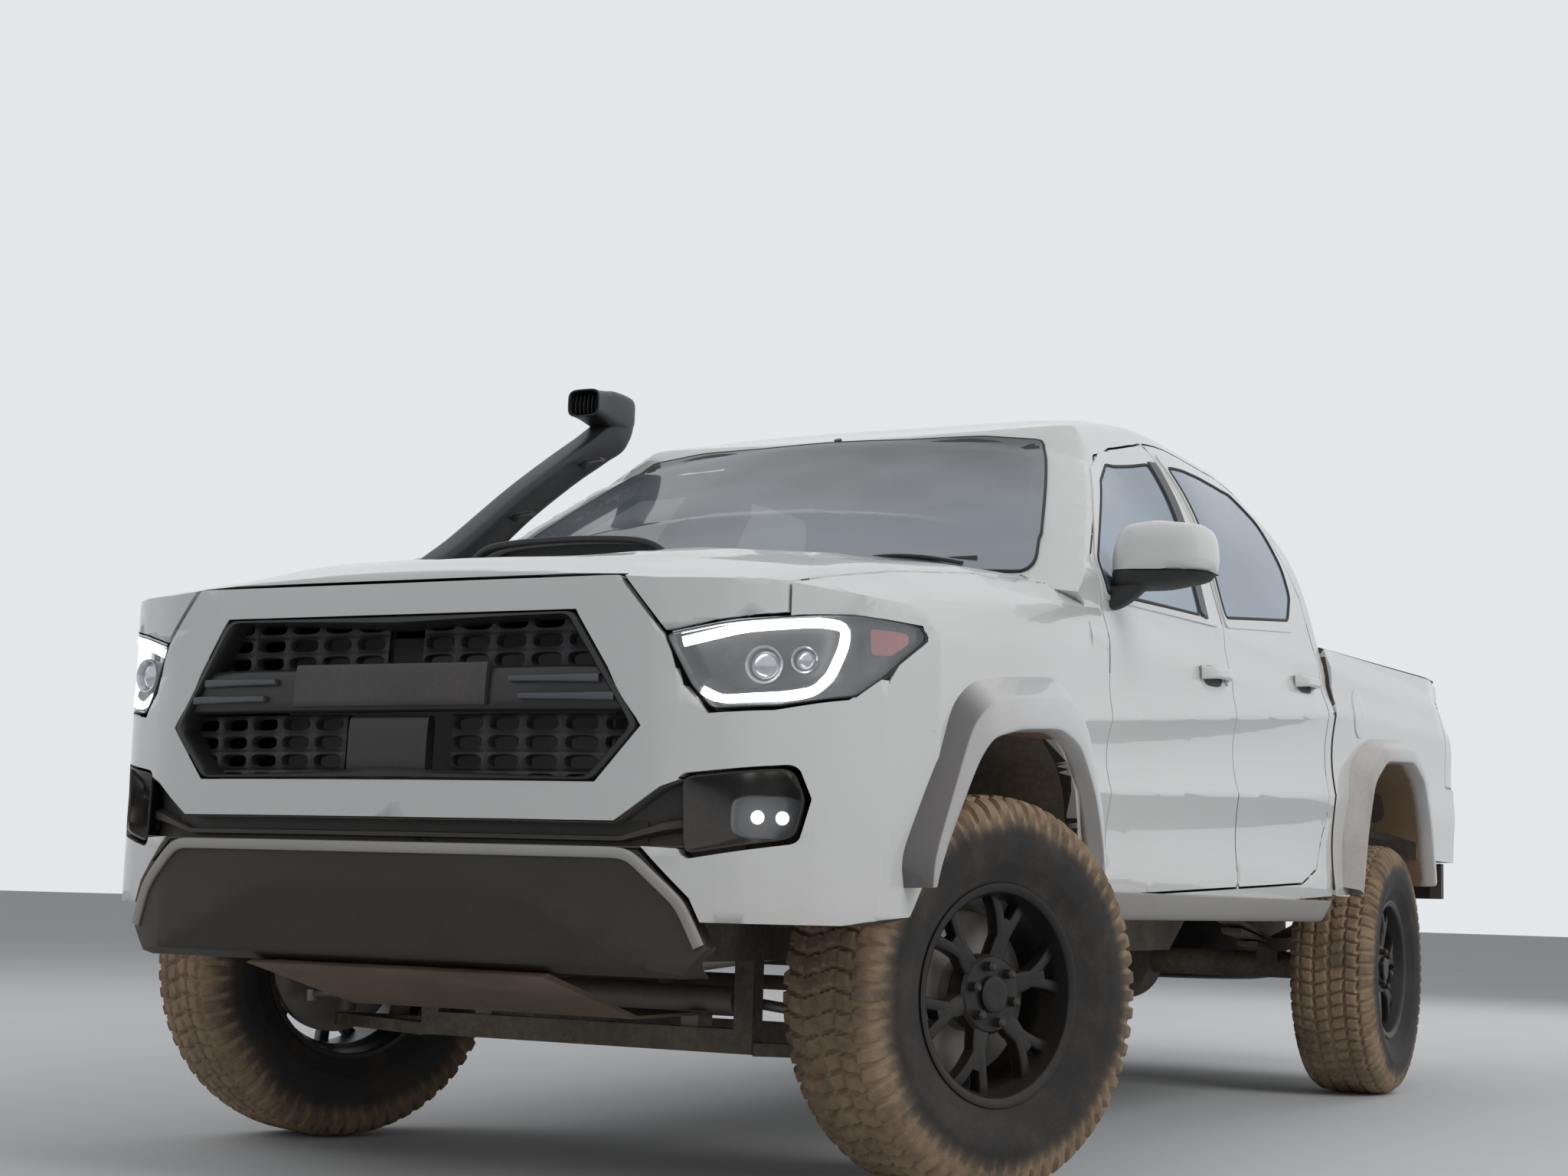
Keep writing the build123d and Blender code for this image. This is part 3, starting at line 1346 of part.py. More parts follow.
corner_pieces = []
for place, side, y_axle, turn in WHEELS:
    tyre_solid, rim_solid = wheel_parts(side, y_axle, turn)
    with BuildPart() as tyre:
        add(tyre_solid)
    tyre.part.label = "tyre_" + place
    with BuildPart() as rim:
        add(rim_solid)
    rim.part.label = "rim_" + place
    corner_pieces += [tyre, rim]
for name, side in (("knuckle_left", 1), ("knuckle_right", -1)):
    with BuildPart() as knuckle:
        add(knuckle_part(side, -STEER_REST))
    knuckle.part.label = name
    corner_pieces.append(knuckle)

# Tie rods: one bar through the rack, its outer joints just under the levers
TIE_Z = LOWER_Z + 56
LEVER_LEFT = Vector(KINGPIN_X, 0, 0) + Vector(-22, -104, 0).rotate(Axis.Z, -STEER_REST)
LEVER_RIGHT = Vector(-KINGPIN_X, 0, 0) + Vector(22, -104, 0).rotate(Axis.Z, -STEER_REST)
RACK_SHIFT = (LEVER_LEFT.X + LEVER_RIGHT.X) / 2
with BuildPart() as tie_rods:
    x_in = RACK_HALF + 70
    add(rod((RACK_SHIFT - x_in, RACK_Y, RACK_Z), (RACK_SHIFT + x_in, RACK_Y, RACK_Z), 11))
    for side in (-1, 1):
        lever = LEVER_LEFT if side > 0 else LEVER_RIGHT
        inner_end = (RACK_SHIFT + side * x_in, RACK_Y, RACK_Z)
        outer_end = (lever.X, Y_FRONT_AXLE + lever.Y, TIE_Z)
        add(rod((inner_end[0] - 18, RACK_Y, RACK_Z), (inner_end[0] + 18, RACK_Y, RACK_Z), 17))
        add(rod(inner_end, outer_end, 11))
        add(rod((*outer_end[:2], TIE_Z - 14), (*outer_end[:2], TIE_Z + 11), 16))
tie_rods.part.label = "tie_rods"

# Cabin: seats, dashboard with its console, and the steering wheel
SEAT_X = (150, 640)
SEAT_TOP = 960
SEAT_Y = (-600, -90)
BACK_TOP = 1540
HEAD_TOP = 1690
with BuildPart() as front_seats:
    add(box_at(SEAT_X[0] + 60, SEAT_X[1] - 60, SEAT_Y[0] + 60, SEAT_Y[1] - 20, 560, 800))
    add(box_at(*SEAT_X, *SEAT_Y, 800, SEAT_TOP))
    add(
        along_x(
            [
                (SEAT_Y[1] - 70, 840),
                (SEAT_Y[1] + 50, 840),
                (SEAT_Y[1] + 170, BACK_TOP),
                (SEAT_Y[1] + 80, BACK_TOP),
            ],
            *SEAT_X,
        )
    )
    add(
        along_x(
            [
                (SEAT_Y[1] + 100, BACK_TOP),
                (SEAT_Y[1] + 170, BACK_TOP),
                (SEAT_Y[1] + 190, HEAD_TOP),
                (SEAT_Y[1] + 105, HEAD_TOP),
            ],
            SEAT_X[0] + 120,
            SEAT_X[1] - 120,
        )
    )
    mirror(about=Plane.YZ)
    add(cab_room, mode=Mode.INTERSECT)
    add(cab_shell.part, mode=Mode.SUBTRACT)
front_seats.part.label = "front_seats"

BENCH_HALF = 640
BENCH_Y = (230, 640)
with BuildPart() as rear_seat:
    add(box_at(-BENCH_HALF, BENCH_HALF, BENCH_Y[0], BENCH_Y[1], 590, SEAT_TOP - 10))
    add(along_x([(BENCH_Y[1] - 90, 800), (715, 800), (715, 1480), (620, 1480)], -BENCH_HALF, BENCH_HALF))
    for x in (-420, 0, 420):
        add(along_x([(640, 1480), (712, 1480), (712, 1640), (632, 1640)], x - 120, x + 120))
    add(cab_room, mode=Mode.INTERSECT)
    add(cab_shell.part, mode=Mode.SUBTRACT)
rear_seat.part.label = "rear_seat"

DASH_HALF = 755
DASH = [(-1280, 1000), (-1280, 1262), (-1180, 1272), (-930, 1245), (-880, 1180), (-960, 980), (-1100, 940)]
WHEEL_TILT = 25
WHEEL_HUB = Vector(370, -790, 1130)
with BuildPart() as dashboard:
    add(along_x(DASH, -DASH_HALF, DASH_HALF))
    add(box_at(-120, 120, -1280, -90, 560, 850))
    add(along_x([(-1200, 850), (-1200, 1000), (-960, 990), (-860, 850)], -120, 120))
    add(cab_room, mode=Mode.INTERSECT)
    add(cab_shell.part, mode=Mode.SUBTRACT)
    axis_in = Vector(0, cos(radians(WHEEL_TILT)), sin(radians(WHEEL_TILT)))
    column_end = WHEEL_HUB - axis_in * 42
    column_start = WHEEL_HUB - axis_in * 150
    add(rod(tuple(column_start), tuple(column_end), 30))
dashboard.part.label = "dashboard"

STEER_WHEEL_R = 185
WHEEL_NORMAL = (0, -sin(radians(WHEEL_TILT)), cos(radians(WHEEL_TILT)))
with BuildPart() as steering_wheel:
    with BuildSketch(Plane(origin=WHEEL_HUB, x_dir=(1, 0, 0), z_dir=WHEEL_NORMAL)):
        with Locations((STEER_WHEEL_R, 0)):
            Circle(14)
    revolve(axis=Axis(WHEEL_HUB, axis_in))
    with BuildSketch(Plane(origin=WHEEL_HUB - axis_in * 22, x_dir=(1, 0, 0), z_dir=axis_in)):
        Circle(52)
    extrude(amount=40)
    with BuildSketch(Plane(origin=WHEEL_HUB - axis_in * 8, x_dir=(1, 0, 0), z_dir=axis_in)):
        Rectangle(2 * STEER_WHEEL_R - 16, 30)
        with Locations((0, -STEER_WHEEL_R / 2)):
            Rectangle(36, STEER_WHEEL_R - 14)
    extrude(amount=16)
    add(rod(tuple(WHEEL_HUB - axis_in * 37), tuple(WHEEL_HUB), 16))
steering_wheel.part.label = "steering_wheel"

# Spare wheel slung flat behind the axle
SPARE_Y = 2060
SPARE_Z = 455
with BuildPart() as spare_wheel:
    with BuildSketch(Plane(origin=(0, SPARE_Y, SPARE_Z), x_dir=(0, 0, 1), z_dir=(0, 1, 0))):
        with BuildLine():
            Polyline(*tyre_section, close=True)
        make_face()
    revolve(axis=Axis((0, SPARE_Y, SPARE_Z), (0, 0, 1)))
    with BuildSketch(Plane(origin=(0, SPARE_Y, SPARE_Z), x_dir=(0, 0, 1), z_dir=(0, 1, 0))):
        with BuildLine():
            Polyline(*BARREL, close=True)
        make_face()
        with BuildLine():
            Polyline((40, 0), (40, 196), (50, 196), (50, 0), close=True)
        make_face()
    revolve(axis=Axis((0, SPARE_Y, SPARE_Z), (0, 0, 1)))
    add(rod((0, SPARE_Y, SPARE_Z + 45), (0, SPARE_Y, KICK_Z + 50), 12))
spare_wheel.part.label = "spare_wheel"

# Files: one for each piece
PIECES = [
    bumper_cover, front_fenders, hood, hood_scoop, headlamps, fog_lamps, grille, valance, skid_plate,
    fender_flares, cab_shell, door_front_left, door_front_right, door_rear_left, door_rear_right,
    glass_front_left, glass_front_right, glass_rear_left, glass_rear_right, windscreen, rear_window,
    mirror_left, mirror_right, cargo_bed, tail_lamps, tailgate, rear_bumper, snorkel, frame,
    hitch_receiver, engine, radiator, front_suspension, steering_rack, front_axle, rear_axle,
    leaf_springs, drive_shafts, exhaust, fuel_tank, wheel_liners, tie_rods, front_seats, rear_seat,
    dashboard, steering_wheel, spare_wheel,
]
os.makedirs("parts", exist_ok=True)
for piece in PIECES + corner_pieces:
    export_step(piece.part, "parts/" + piece.part.label + ".step")
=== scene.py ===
"""Looks of the lifted off-road pickup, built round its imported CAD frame.

The CAD panels are flat-faced. Each body panel is copied, cut into a grid and moved by small
smooth tables (side, nose, bonnet and roof), so neighbours stay flush along their shut lines.
Everything is in metres, +Z up, nose along -Y, the truck's left side on +X.
"""
from __future__ import annotations

import logging
import math
from dataclasses import dataclass, field
from enum import Enum
from typing import Any, Callable, Iterable, Sequence

import bmesh
import bpy
import numpy as np
from mathutils import Matrix, Vector


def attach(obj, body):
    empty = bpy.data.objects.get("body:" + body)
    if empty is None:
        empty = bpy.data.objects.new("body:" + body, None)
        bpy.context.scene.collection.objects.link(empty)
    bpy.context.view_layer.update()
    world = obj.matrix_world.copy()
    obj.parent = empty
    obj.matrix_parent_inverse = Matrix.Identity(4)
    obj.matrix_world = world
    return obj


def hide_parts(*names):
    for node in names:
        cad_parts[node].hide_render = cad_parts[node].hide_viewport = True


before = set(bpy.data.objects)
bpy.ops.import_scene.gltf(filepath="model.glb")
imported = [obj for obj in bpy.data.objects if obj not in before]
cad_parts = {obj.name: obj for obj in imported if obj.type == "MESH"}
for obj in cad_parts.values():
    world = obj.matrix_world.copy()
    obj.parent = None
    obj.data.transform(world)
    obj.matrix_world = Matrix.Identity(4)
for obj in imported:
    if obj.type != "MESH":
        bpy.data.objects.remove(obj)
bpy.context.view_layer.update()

log = logging.getLogger("pickup")
Array = np.ndarray

AXLE_FRONT = -1.791
AXLE_REAR = 1.445
HUB_Z = 0.39
KINGPIN_X = 0.73
HUB_OUT = 0.07
STEER_REST = math.radians(-23)
RAKE = 0.033
BOLT_TURN = 0.26
SCREEN_FOOT = (-1.5, 1.29)
SCREEN_LEAN = (0.584, 0.812)
SCREEN_BOW = 7.2


def mm(*rows: Any) -> Any:
    """Table given in millimetres, as nested tuples in metres."""
    return tuple(mm(*row) if isinstance(row, tuple) else row / 1000 for row in rows)


class Side(Enum):
    """The truck's two sides, as the sign of x."""

    LEFT = 1
    RIGHT = -1

    @property
    def word(self) -> str:
        """Lower-case name used in node names."""
        return self.name.lower()


# Shader graph helpers


def operator(kind: str, swap: bool = False) -> Callable[..., "Wire"]:
    """Method that adds a Math node for a Python operator.

    Args:
        kind: Math node operation.
        swap: whether the other operand comes first.

    Returns:
        The method.
    """

    def method(wire: "Wire", *other: "Wire | float") -> "Wire":
        """Output of a Math node on the wire and the other operand, if there is one."""
        values = (*other, wire) if swap else (wire, *other)
        return wire.graph.node("ShaderNodeMath", {"operation": kind}, dict(enumerate(values)))

    return method


@dataclass(frozen=True)
class Wire:
    """An output socket that can be used in Python expressions; each operator adds one Math node."""

    graph: "Graph"
    socket: Any

    __add__ = __radd__ = operator("ADD")
    __sub__ = operator("SUBTRACT")
    __rsub__ = operator("SUBTRACT", swap=True)
    __mul__ = __rmul__ = operator("MULTIPLY")
    sine = operator("SINE")

    def ramp(self, low: float, high: float) -> "Wire":
        """Smooth step from 0 at low to 1 at high; low may be the greater.

        Args:
            low: value that gives 0.
            high: value that gives 1.

        Returns:
            The stepped wire.
        """
        sockets = {"Value": self, "From Min": low, "From Max": high}
        return self.graph.node("ShaderNodeMapRange", {"interpolation_type": "SMOOTHSTEP"}, sockets)


class Graph:
    """A material's node tree with one Principled shader."""

    def __init__(self, name: str) -> None:
        """Starts an empty material.

        Args:
            name: the material's name.
        """
        self.material = bpy.data.materials.new(name)
        self.material.use_nodes = True
        self.tree = self.material.node_tree
        self.shader = self.tree.nodes["Principled BSDF"]
        self.place = self.node("ShaderNodeTexCoord", {}, {}, "Object")

    def raw(self, kind: str, settings: dict[str, Any], inputs: dict[Any, Any]) -> Any:
        """Adds any node, sets it up and fills its sockets.

        Args:
            kind: node type.
            settings: attributes, which are set first.
            inputs: value or wire for each socket name or number.

        Returns:
            The node.
        """
        made = self.tree.nodes.new(kind)
        for key, value in settings.items():
            setattr(made, key, value)
        for key, value in inputs.items():
            self.feed(made.inputs[key], value)
        return made

    def feed(self, socket: Any, value: Any) -> None:
        """Links a wire to a socket, or writes a value on it."""
        if isinstance(value, Wire):
            self.tree.links.new(value.socket, socket)
        elif isinstance(value, (tuple, list)) and len(value) == 3 and socket.type == "RGBA":
            socket.default_value = (*value, 1.0)
        else:
            socket.default_value = value

    def node(self, kind: str, settings: dict[str, Any], inputs: dict[Any, Any], out: Any = 0) -> Wire:
        """Adds a node and gives one of its outputs.

        Args:
            kind: node type.
            settings: attributes set first.
            inputs: sockets' values or wires.
            out: output's name or number.

        Returns:
            The output as a wire.
        """
        return Wire(self, self.raw(kind, settings, inputs).outputs[out])

    def set(self, **values: Any) -> None:
        """Feeds the shader's sockets; underscores stand for spaces."""
        for key, value in values.items():
            self.feed(self.shader.inputs[key.replace("_", " ")], value)

    def axis(self, index: int) -> Wire:
        """Object coordinate along X, Y or Z."""
        return self.node("ShaderNodeSeparateXYZ", {}, {0: self.place}, index)

    def mark(self, name: str) -> Wire:
        """The mesh's own value of that name."""
        return self.node("ShaderNodeAttribute", {"attribute_name": name}, {}, "Fac")

    def noise(self, scale: float, detail: float = 3.0, rough: float = 0.5, at: Wire | None = None) -> Wire:
        """Noise value.

        Args:
            scale: cells per metre.
            detail: octaves.
            rough: strength of the finer octaves.
            at: coordinates, or the object's own.

        Returns:
            Value from 0 to 1.
        """
        inputs = {"Vector": at or self.place, "Scale": scale, "Detail": detail, "Roughness": rough}
        return self.node("ShaderNodeTexNoise", {}, inputs)

    def stretch(self, x: float, y: float, z: float) -> Wire:
        """Object coordinates scaled along each axis."""
        return self.node("ShaderNodeMapping", {}, {"Vector": self.place, "Scale": (x, y, z)})

    def mix(self, share: Any, first: Any, second: Any) -> Wire:
        """Blend of two colours.

        Args:
            share: 0 for the first, 1 for the second.
            first: colour or wire.
            second: colour or wire.

        Returns:
            The blended colour.
        """
        return self.node("ShaderNodeMix", {"data_type": "RGBA"}, {"Factor": share, 6: first, 7: second}, 2)

    def bump(self, height: Wire, depth: float, strength: float = 1.0) -> Wire:
        """Normal bent by a height in metres times depth.

        Args:
            height: height value.
            depth: metres for a height of 1.
            strength: share of the effect.

        Returns:
            The bent normal.
        """
        inputs = {"Height": height, "Distance": depth, "Strength": strength}
        return self.node("ShaderNodeBump", {}, inputs, "Normal")


# Finishes


@dataclass(frozen=True)
class Finish:
    """A plain coloured surface with mottling and dust.

    Attributes:
        name: material name.
        colour: base colour.
        rough: roughness.
        metal: metallic share.
        grain: bump depth in metres of the surface's own texture.
        grain_scale: texture cells per metre.
        mottle: how much the colour varies.
        dust: share of dust on low places.
        dust_top: height in metres at which dust ends.
        coat: clear coat weight.
        dust_colour: the dust's colour.
    """

    name: str
    colour: tuple[float, float, float]
    rough: float = 0.5
    metal: float = 0.0
    grain: float = 0.0
    grain_scale: float = 900.0
    mottle: float = 0.06
    dust: float = 0.0
    dust_top: float = 0.9
    coat: float = 0.0
    dust_colour: tuple[float, float, float] = (0.42, 0.33, 0.24)

    def tint(self, factor: float) -> tuple[float, ...]:
        """Base colour times a factor."""
        return tuple(c * factor for c in self.colour)

    def dust_share(self, graph: Graph) -> Wire:
        """Dust share, patchy and thicker towards the ground."""
        patches = graph.noise(5.0, 6.0, 0.65).ramp(0.25, 0.75)
        specks = graph.noise(70.0, 3.0, 0.6).ramp(0.3, 0.75)
        low = graph.axis(2).ramp(self.dust_top, self.dust_top * 0.25)
        return (0.35 + 0.65 * patches) * (0.6 + 0.4 * specks) * low * self.dust

    def build(self) -> Any:
        """Builds the material.

        Returns:
            The Blender material.
        """
        graph = Graph(self.name)
        shade = graph.noise(3.0, 4.0).ramp(0.3, 0.7)
        colour = graph.mix(shade, self.tint(1 - self.mottle), self.tint(1 + self.mottle))
        rough: Any = self.rough + 0.06 * (shade - 0.5)
        if self.dust:
            share = self.dust_share(graph)
            colour = graph.mix(share, colour, self.dust_colour)
            rough = rough + (0.9 - self.rough) * share
        graph.set(Base_Color=colour, Roughness=rough, Metallic=self.metal)
        if self.coat:
            graph.set(Coat_Weight=self.coat, Coat_Roughness=0.04)
        if self.grain:
            graph.set(Normal=graph.bump(graph.noise(self.grain_scale, 2.0), self.grain))
        return graph.material


@dataclass(frozen=True)
class Paint(Finish):
    """Clear-coated body paint under a film of dust.

    Attributes:
        film: dust that lies everywhere, as a share.
    """

    film: float = 0.06

    def build(self) -> Any:
        """Builds the paint: white base, streaky dust low down, and a clear coat that dust dulls."""
        graph = Graph(self.name)
        shade = graph.noise(1.6, 5.0).ramp(0.25, 0.75)
        base = graph.mix(shade, self.tint(0.965), self.colour)
        runs = graph.noise(9.0, 4.0, 0.6, graph.stretch(1.0, 1.0, 0.22)).ramp(0.35, 0.8)
        share = self.dust_share(graph) + self.film * (0.5 + 0.5 * runs)
        colour = graph.mix(share, base, self.dust_colour)
        graph.set(
            Base_Color=colour,
            Roughness=self.rough + 0.45 * share,
            Coat_Weight=self.coat * (1 - 0.8 * share),
            Coat_Roughness=0.03,
            Normal=graph.bump(graph.noise(420.0, 2.0), 0.00004, 0.35),
        )
        return graph.material


@dataclass(frozen=True)
class Moulding(Finish):
    """Arch moulding: white with painted shade on its leading facet, dusty where the wheel throws dirt."""

    def build(self) -> Any:
        """Builds the moulding from the mesh's own marks: shade for the painted shade, dirt for the dust."""
        graph = Graph(self.name)
        shade, dirt = graph.mark("shade"), graph.mark("dirt")
        patches = graph.noise(7.0, 6.0, 0.65).ramp(0.2, 0.8)
        specks = graph.noise(90.0, 3.0, 0.6).ramp(0.3, 0.8)
        share = dirt * (0.45 + 0.35 * patches + 0.2 * specks) * self.dust
        # painted shade: the leading facet, in shade on the real truck, is coloured dark grey
        base = graph.mix(shade, self.colour, (0.085, 0.09, 0.10))
        graph.set(
            Base_Color=graph.mix(share, base, self.dust_colour),
            Roughness=self.rough + 0.4 * share,
            Coat_Weight=self.coat * (1 - share),
            Normal=graph.bump(graph.noise(300.0, 2.0), 0.00008, 0.4),
        )
        return graph.material


@dataclass(frozen=True)
class Glazing(Finish):
    """Tinted glass with a faint film of dust.

    Attributes:
        clear: how much light passes, from 0 to 1.
        cloud: how strongly broad bands of painted sky reflection lighten and darken the glass, as a cloudy
            sky does.
    """

    clear: float = 0.5
    cloud: float = 0.0

    def build(self) -> Any:
        """Builds the glass: smooth, partly see-through, dustier in patches."""
        graph = Graph(self.name)
        dust = graph.noise(14.0, 5.0, 0.7).ramp(0.45, 0.95) * self.dust
        tone: Any = self.colour
        if self.cloud:
            # painted reflection: broad bands lighten and darken the glass's colour as a reflected cloudy sky
            # would
            bands = graph.noise(1.5, 3.0, 0.5, graph.stretch(0.7, 0.5, 1.6)).ramp(0.34, 0.66)
            tone = graph.mix(bands, self.tint(1 - 0.75 * self.cloud), self.tint(1 + 0.8 * self.cloud))
        graph.set(
            Base_Color=graph.mix(dust, tone, self.dust_colour),
            Roughness=self.rough + 0.3 * dust,
            Alpha=(1 - self.clear) + self.clear * dust,
            IOR=1.5,
        )
        if self.coat:
            graph.set(Coat_Weight=self.coat)
        graph.material.surface_render_method = "DITHERED"
        return graph.material


@dataclass(frozen=True)
class Lit(Finish):
    """A lamp element that gives its own light.

    Attributes:
        strength: emission strength.
    """

    strength: float = 3.0

    def build(self) -> Any:
        """Builds the light: even colour with a slight waver along it."""
        graph = Graph(self.name)
        waver = 0.85 + 0.15 * graph.noise(60.0, 2.0)
        glow = graph.mix(waver, (0.0, 0.0, 0.0), self.colour)
        graph.set(Base_Color=self.colour, Roughness=self.rough, Emission_Color=glow)
        graph.set(Emission_Strength=self.strength)
        return graph.material


@dataclass(frozen=True)
class Tread(Finish):
    """Tyre rubber: dusty tread, plain sidewall and a mud-stained shoulder."""

    def build(self) -> Any:
        """Builds the rubber from the mesh's own marks.

        "high" is 1 on top of a lug and 0 in a groove; "out" is 1 at the tread and 0 at the bead.
        """
        graph = Graph(self.name)
        high, out = graph.mark("high"), graph.mark("out")
        patches = graph.noise(9.0, 6.0, 0.65).ramp(0.3, 0.7)
        fine = graph.noise(160.0, 3.0, 0.6)
        shoulder = out.ramp(0.52, 0.86)
        groove = 1 - high
        share = shoulder * (0.6 + 0.4 * patches) * (0.62 + 0.38 * groove) + 0.16 * patches
        share = (share * (0.75 + 0.5 * fine) * self.dust).ramp(0.0, 1.0)
        rubber = graph.mix(fine, self.tint(0.8), self.tint(1.25))
        graph.set(
            Base_Color=graph.mix(share, rubber, self.dust_colour),
            Roughness=self.rough + 0.2 * share,
            Normal=graph.bump(fine, 0.0006, 0.6),
        )
        return graph.material


@dataclass(frozen=True)
class Woven(Finish):
    """Seat cloth: a fine over-and-under weave.

    Attributes:
        threads: threads per metre.
    """

    threads: float = 900.0

    def build(self) -> Any:
        """Builds the cloth: product of two sines for the weave, and soft sheen."""
        graph = Graph(self.name)
        across = (graph.axis(0) * self.threads + graph.axis(2) * self.threads).sine()
        along = (graph.axis(1) * self.threads + graph.axis(2) * 0.6 * self.threads).sine()
        weave = across * along * 0.5 + 0.5
        patches = graph.noise(6.0, 4.0)
        colour = graph.mix(weave * 0.7 + patches * 0.3, self.tint(0.6), self.colour)
        graph.set(Base_Color=colour, Roughness=0.88, Normal=graph.bump(weave, 0.0004, 0.5))
        graph.set(Sheen_Weight=0.25)
        return graph.material


@dataclass(frozen=True)
class Brushed(Finish):
    """Bare or cast metal with streaks, stains and dust."""

    def build(self) -> Any:
        """Builds the metal: stretched noise for streaks, blotches for stains."""
        graph = Graph(self.name)
        streaks = graph.noise(240.0, 3.0, 0.6, graph.stretch(1.0, 0.15, 1.0))
        stains = graph.noise(22.0, 5.0, 0.7).ramp(0.4, 0.75)
        share = self.dust_share(graph) + 0.25 * stains * self.mottle
        metal = graph.mix(streaks, self.tint(0.75), self.colour)
        graph.set(
            Base_Color=graph.mix(share, metal, self.dust_colour),
            Roughness=self.rough + 0.12 * streaks + 0.3 * share,
            Metallic=self.metal * (1 - 0.8 * share),
            Normal=graph.bump(streaks, 0.00015, 0.5),
        )
        return graph.material


class Look(Enum):
    """Every finish on the truck."""

    PAINT = Paint("paint_white", (0.66, 0.66, 0.65), 0.34, dust=0.30, dust_top=0.80, coat=0.8, film=0.035)
    FLARE = Moulding(
        "paint_flare", (0.62, 0.62, 0.62), 0.42, dust=0.85, coat=0.5, dust_colour=(0.26, 0.175, 0.11)
    )
    LIP = Finish("lip_grey", (0.36, 0.355, 0.345), 0.5, grain=0.00015, dust=0.5)
    SATIN = Finish("satin_black", (0.018, 0.018, 0.019), 0.34, grain=0.00008, dust=0.12, dust_top=1.2)
    PLASTIC = Finish("plastic_black", (0.028, 0.028, 0.029), 0.55, grain=0.0002, dust=0.5)
    VALANCE = Finish("plastic_grey", (0.024, 0.021, 0.017), grain=0.00015, dust=0.10, dust_top=0.75)
    LINER = Finish(
        "arch_liner", (0.05, 0.042, 0.036), 0.85, grain=0.0008, grain_scale=260.0, dust=0.85, dust_top=1.6
    )
    SEAL = Finish("rubber_seal", (0.012, 0.012, 0.012), 0.6, grain=0.0001, dust=0.15)
    TREAD = Tread("rubber_tread", (0.022, 0.021, 0.021), 0.72, dust=1.15, dust_colour=(0.36, 0.26, 0.17))
    ALLOY = Finish(
        "alloy_black", (0.014, 0.014, 0.015), 0.36, metal=0.3, grain=0.0001, dust=0.07, dust_top=0.8
    )
    STEEL = Brushed("steel_bare", (0.42, 0.41, 0.40), 0.38, metal=1.0, dust=0.5, mottle=0.8)
    CHASSIS = Finish(
        "chassis_black", (0.035, 0.034, 0.033), 0.6, grain=0.0005, grain_scale=320.0, dust=0.75, dust_top=1.1
    )
    SKID = Finish("skid_dusty", (0.15, 0.11, 0.075), 0.7, metal=0.1, grain=0.0004, mottle=0.3, dust=0.25)
    CAST = Brushed("metal_cast", (0.30, 0.30, 0.31), 0.55, metal=0.8, dust=0.55, dust_top=1.2, mottle=1.0)
    GLASS = Glazing("glass_tinted", (0.20, 0.30, 0.42), 0.05, dust=0.05, clear=0.14, coat=0.6, cloud=0.35)
    SCREEN = Glazing("glass_screen", (0.22, 0.25, 0.28), 0.05, dust=0.08, clear=0.36, coat=0.8, cloud=0.85)
    LENS = Glazing("lens_clear", (0.72, 0.75, 0.78), 0.02, dust=0.2, clear=0.86, coat=1.0)
    CHROME = Brushed("lamp_chrome", (0.72, 0.74, 0.78), 0.12, metal=1.0, mottle=0.1)
    # painted highlight: grey-blue strips on the grille bar in place of its highlight lines
    BLUISH = Finish("bar_grey", (0.085, 0.09, 0.10), 0.35, metal=0.3, grain=0.00004, dust=0.1, dust_top=1.4)
    LED = Lit("lamp_led", (1.0, 0.98, 0.95), 0.3, strength=4.0)
    MARKER = Finish("lens_side", (0.36, 0.055, 0.05), 0.15, coat=1.0, mottle=0.15)
    RED = Finish("lens_red", (0.36, 0.012, 0.014), 0.1, coat=1.0, mottle=0.15)
    PLATE = Finish("plate_blank", (0.03, 0.031, 0.035), 0.35, mottle=0.12, dust=0.2, dust_top=1.6)
    CLOTH = Woven("seat_cloth", (0.075, 0.075, 0.08))
    CABIN = Finish("cabin_plastic", (0.05, 0.05, 0.054), 0.62, grain=0.0003, grain_scale=700.0)
    HIDE = Finish("wheel_hide", (0.03, 0.03, 0.031), grain=0.0004, grain_scale=520.0)
    BED = Finish(
        "bed_coat", (0.032, 0.032, 0.033), 0.78, grain=0.0012, grain_scale=300.0, dust=0.35, dust_top=2.6
    )
    PIPE = Brushed("exhaust_steel", (0.36, 0.33, 0.30), 0.45, metal=0.9, dust=0.6, dust_top=1.0, mottle=1.0)
    NUT = Brushed("bolt_steel", (0.5, 0.5, 0.5), 0.35, metal=1.0, mottle=0.4)

    @property
    def material(self) -> Any:
        """The Blender material, built when first asked for."""
        return bpy.data.materials.get(self.value.name) or self.value.build()


# Numpy tools


def xyz(x: Any, y: Any, z: Any) -> Array:
    """Points from their three coordinates, each an array or a number."""
    return np.stack(np.broadcast_arrays(x, y, z), axis=-1)


def full_turn(count: int) -> Array:
    """Angles spread evenly round a circle."""
    return np.linspace(0, 2 * np.pi, count, endpoint=False)


def flipped_x(line: Any) -> Array:
    """Flat outline's points on the other side of x = 0."""
    return np.asarray(line) * np.array([-1.0, 1.0])


def ease(value: Array | float, low: float, high: float) -> Array:
    """Smooth step: 3t*t - 2t*t*t, with t running from 0 at low to 1 at high."""
    t = np.clip((np.asarray(value, float) - low) / (high - low), 0.0, 1.0)
    return t * t * (3 - 2 * t)


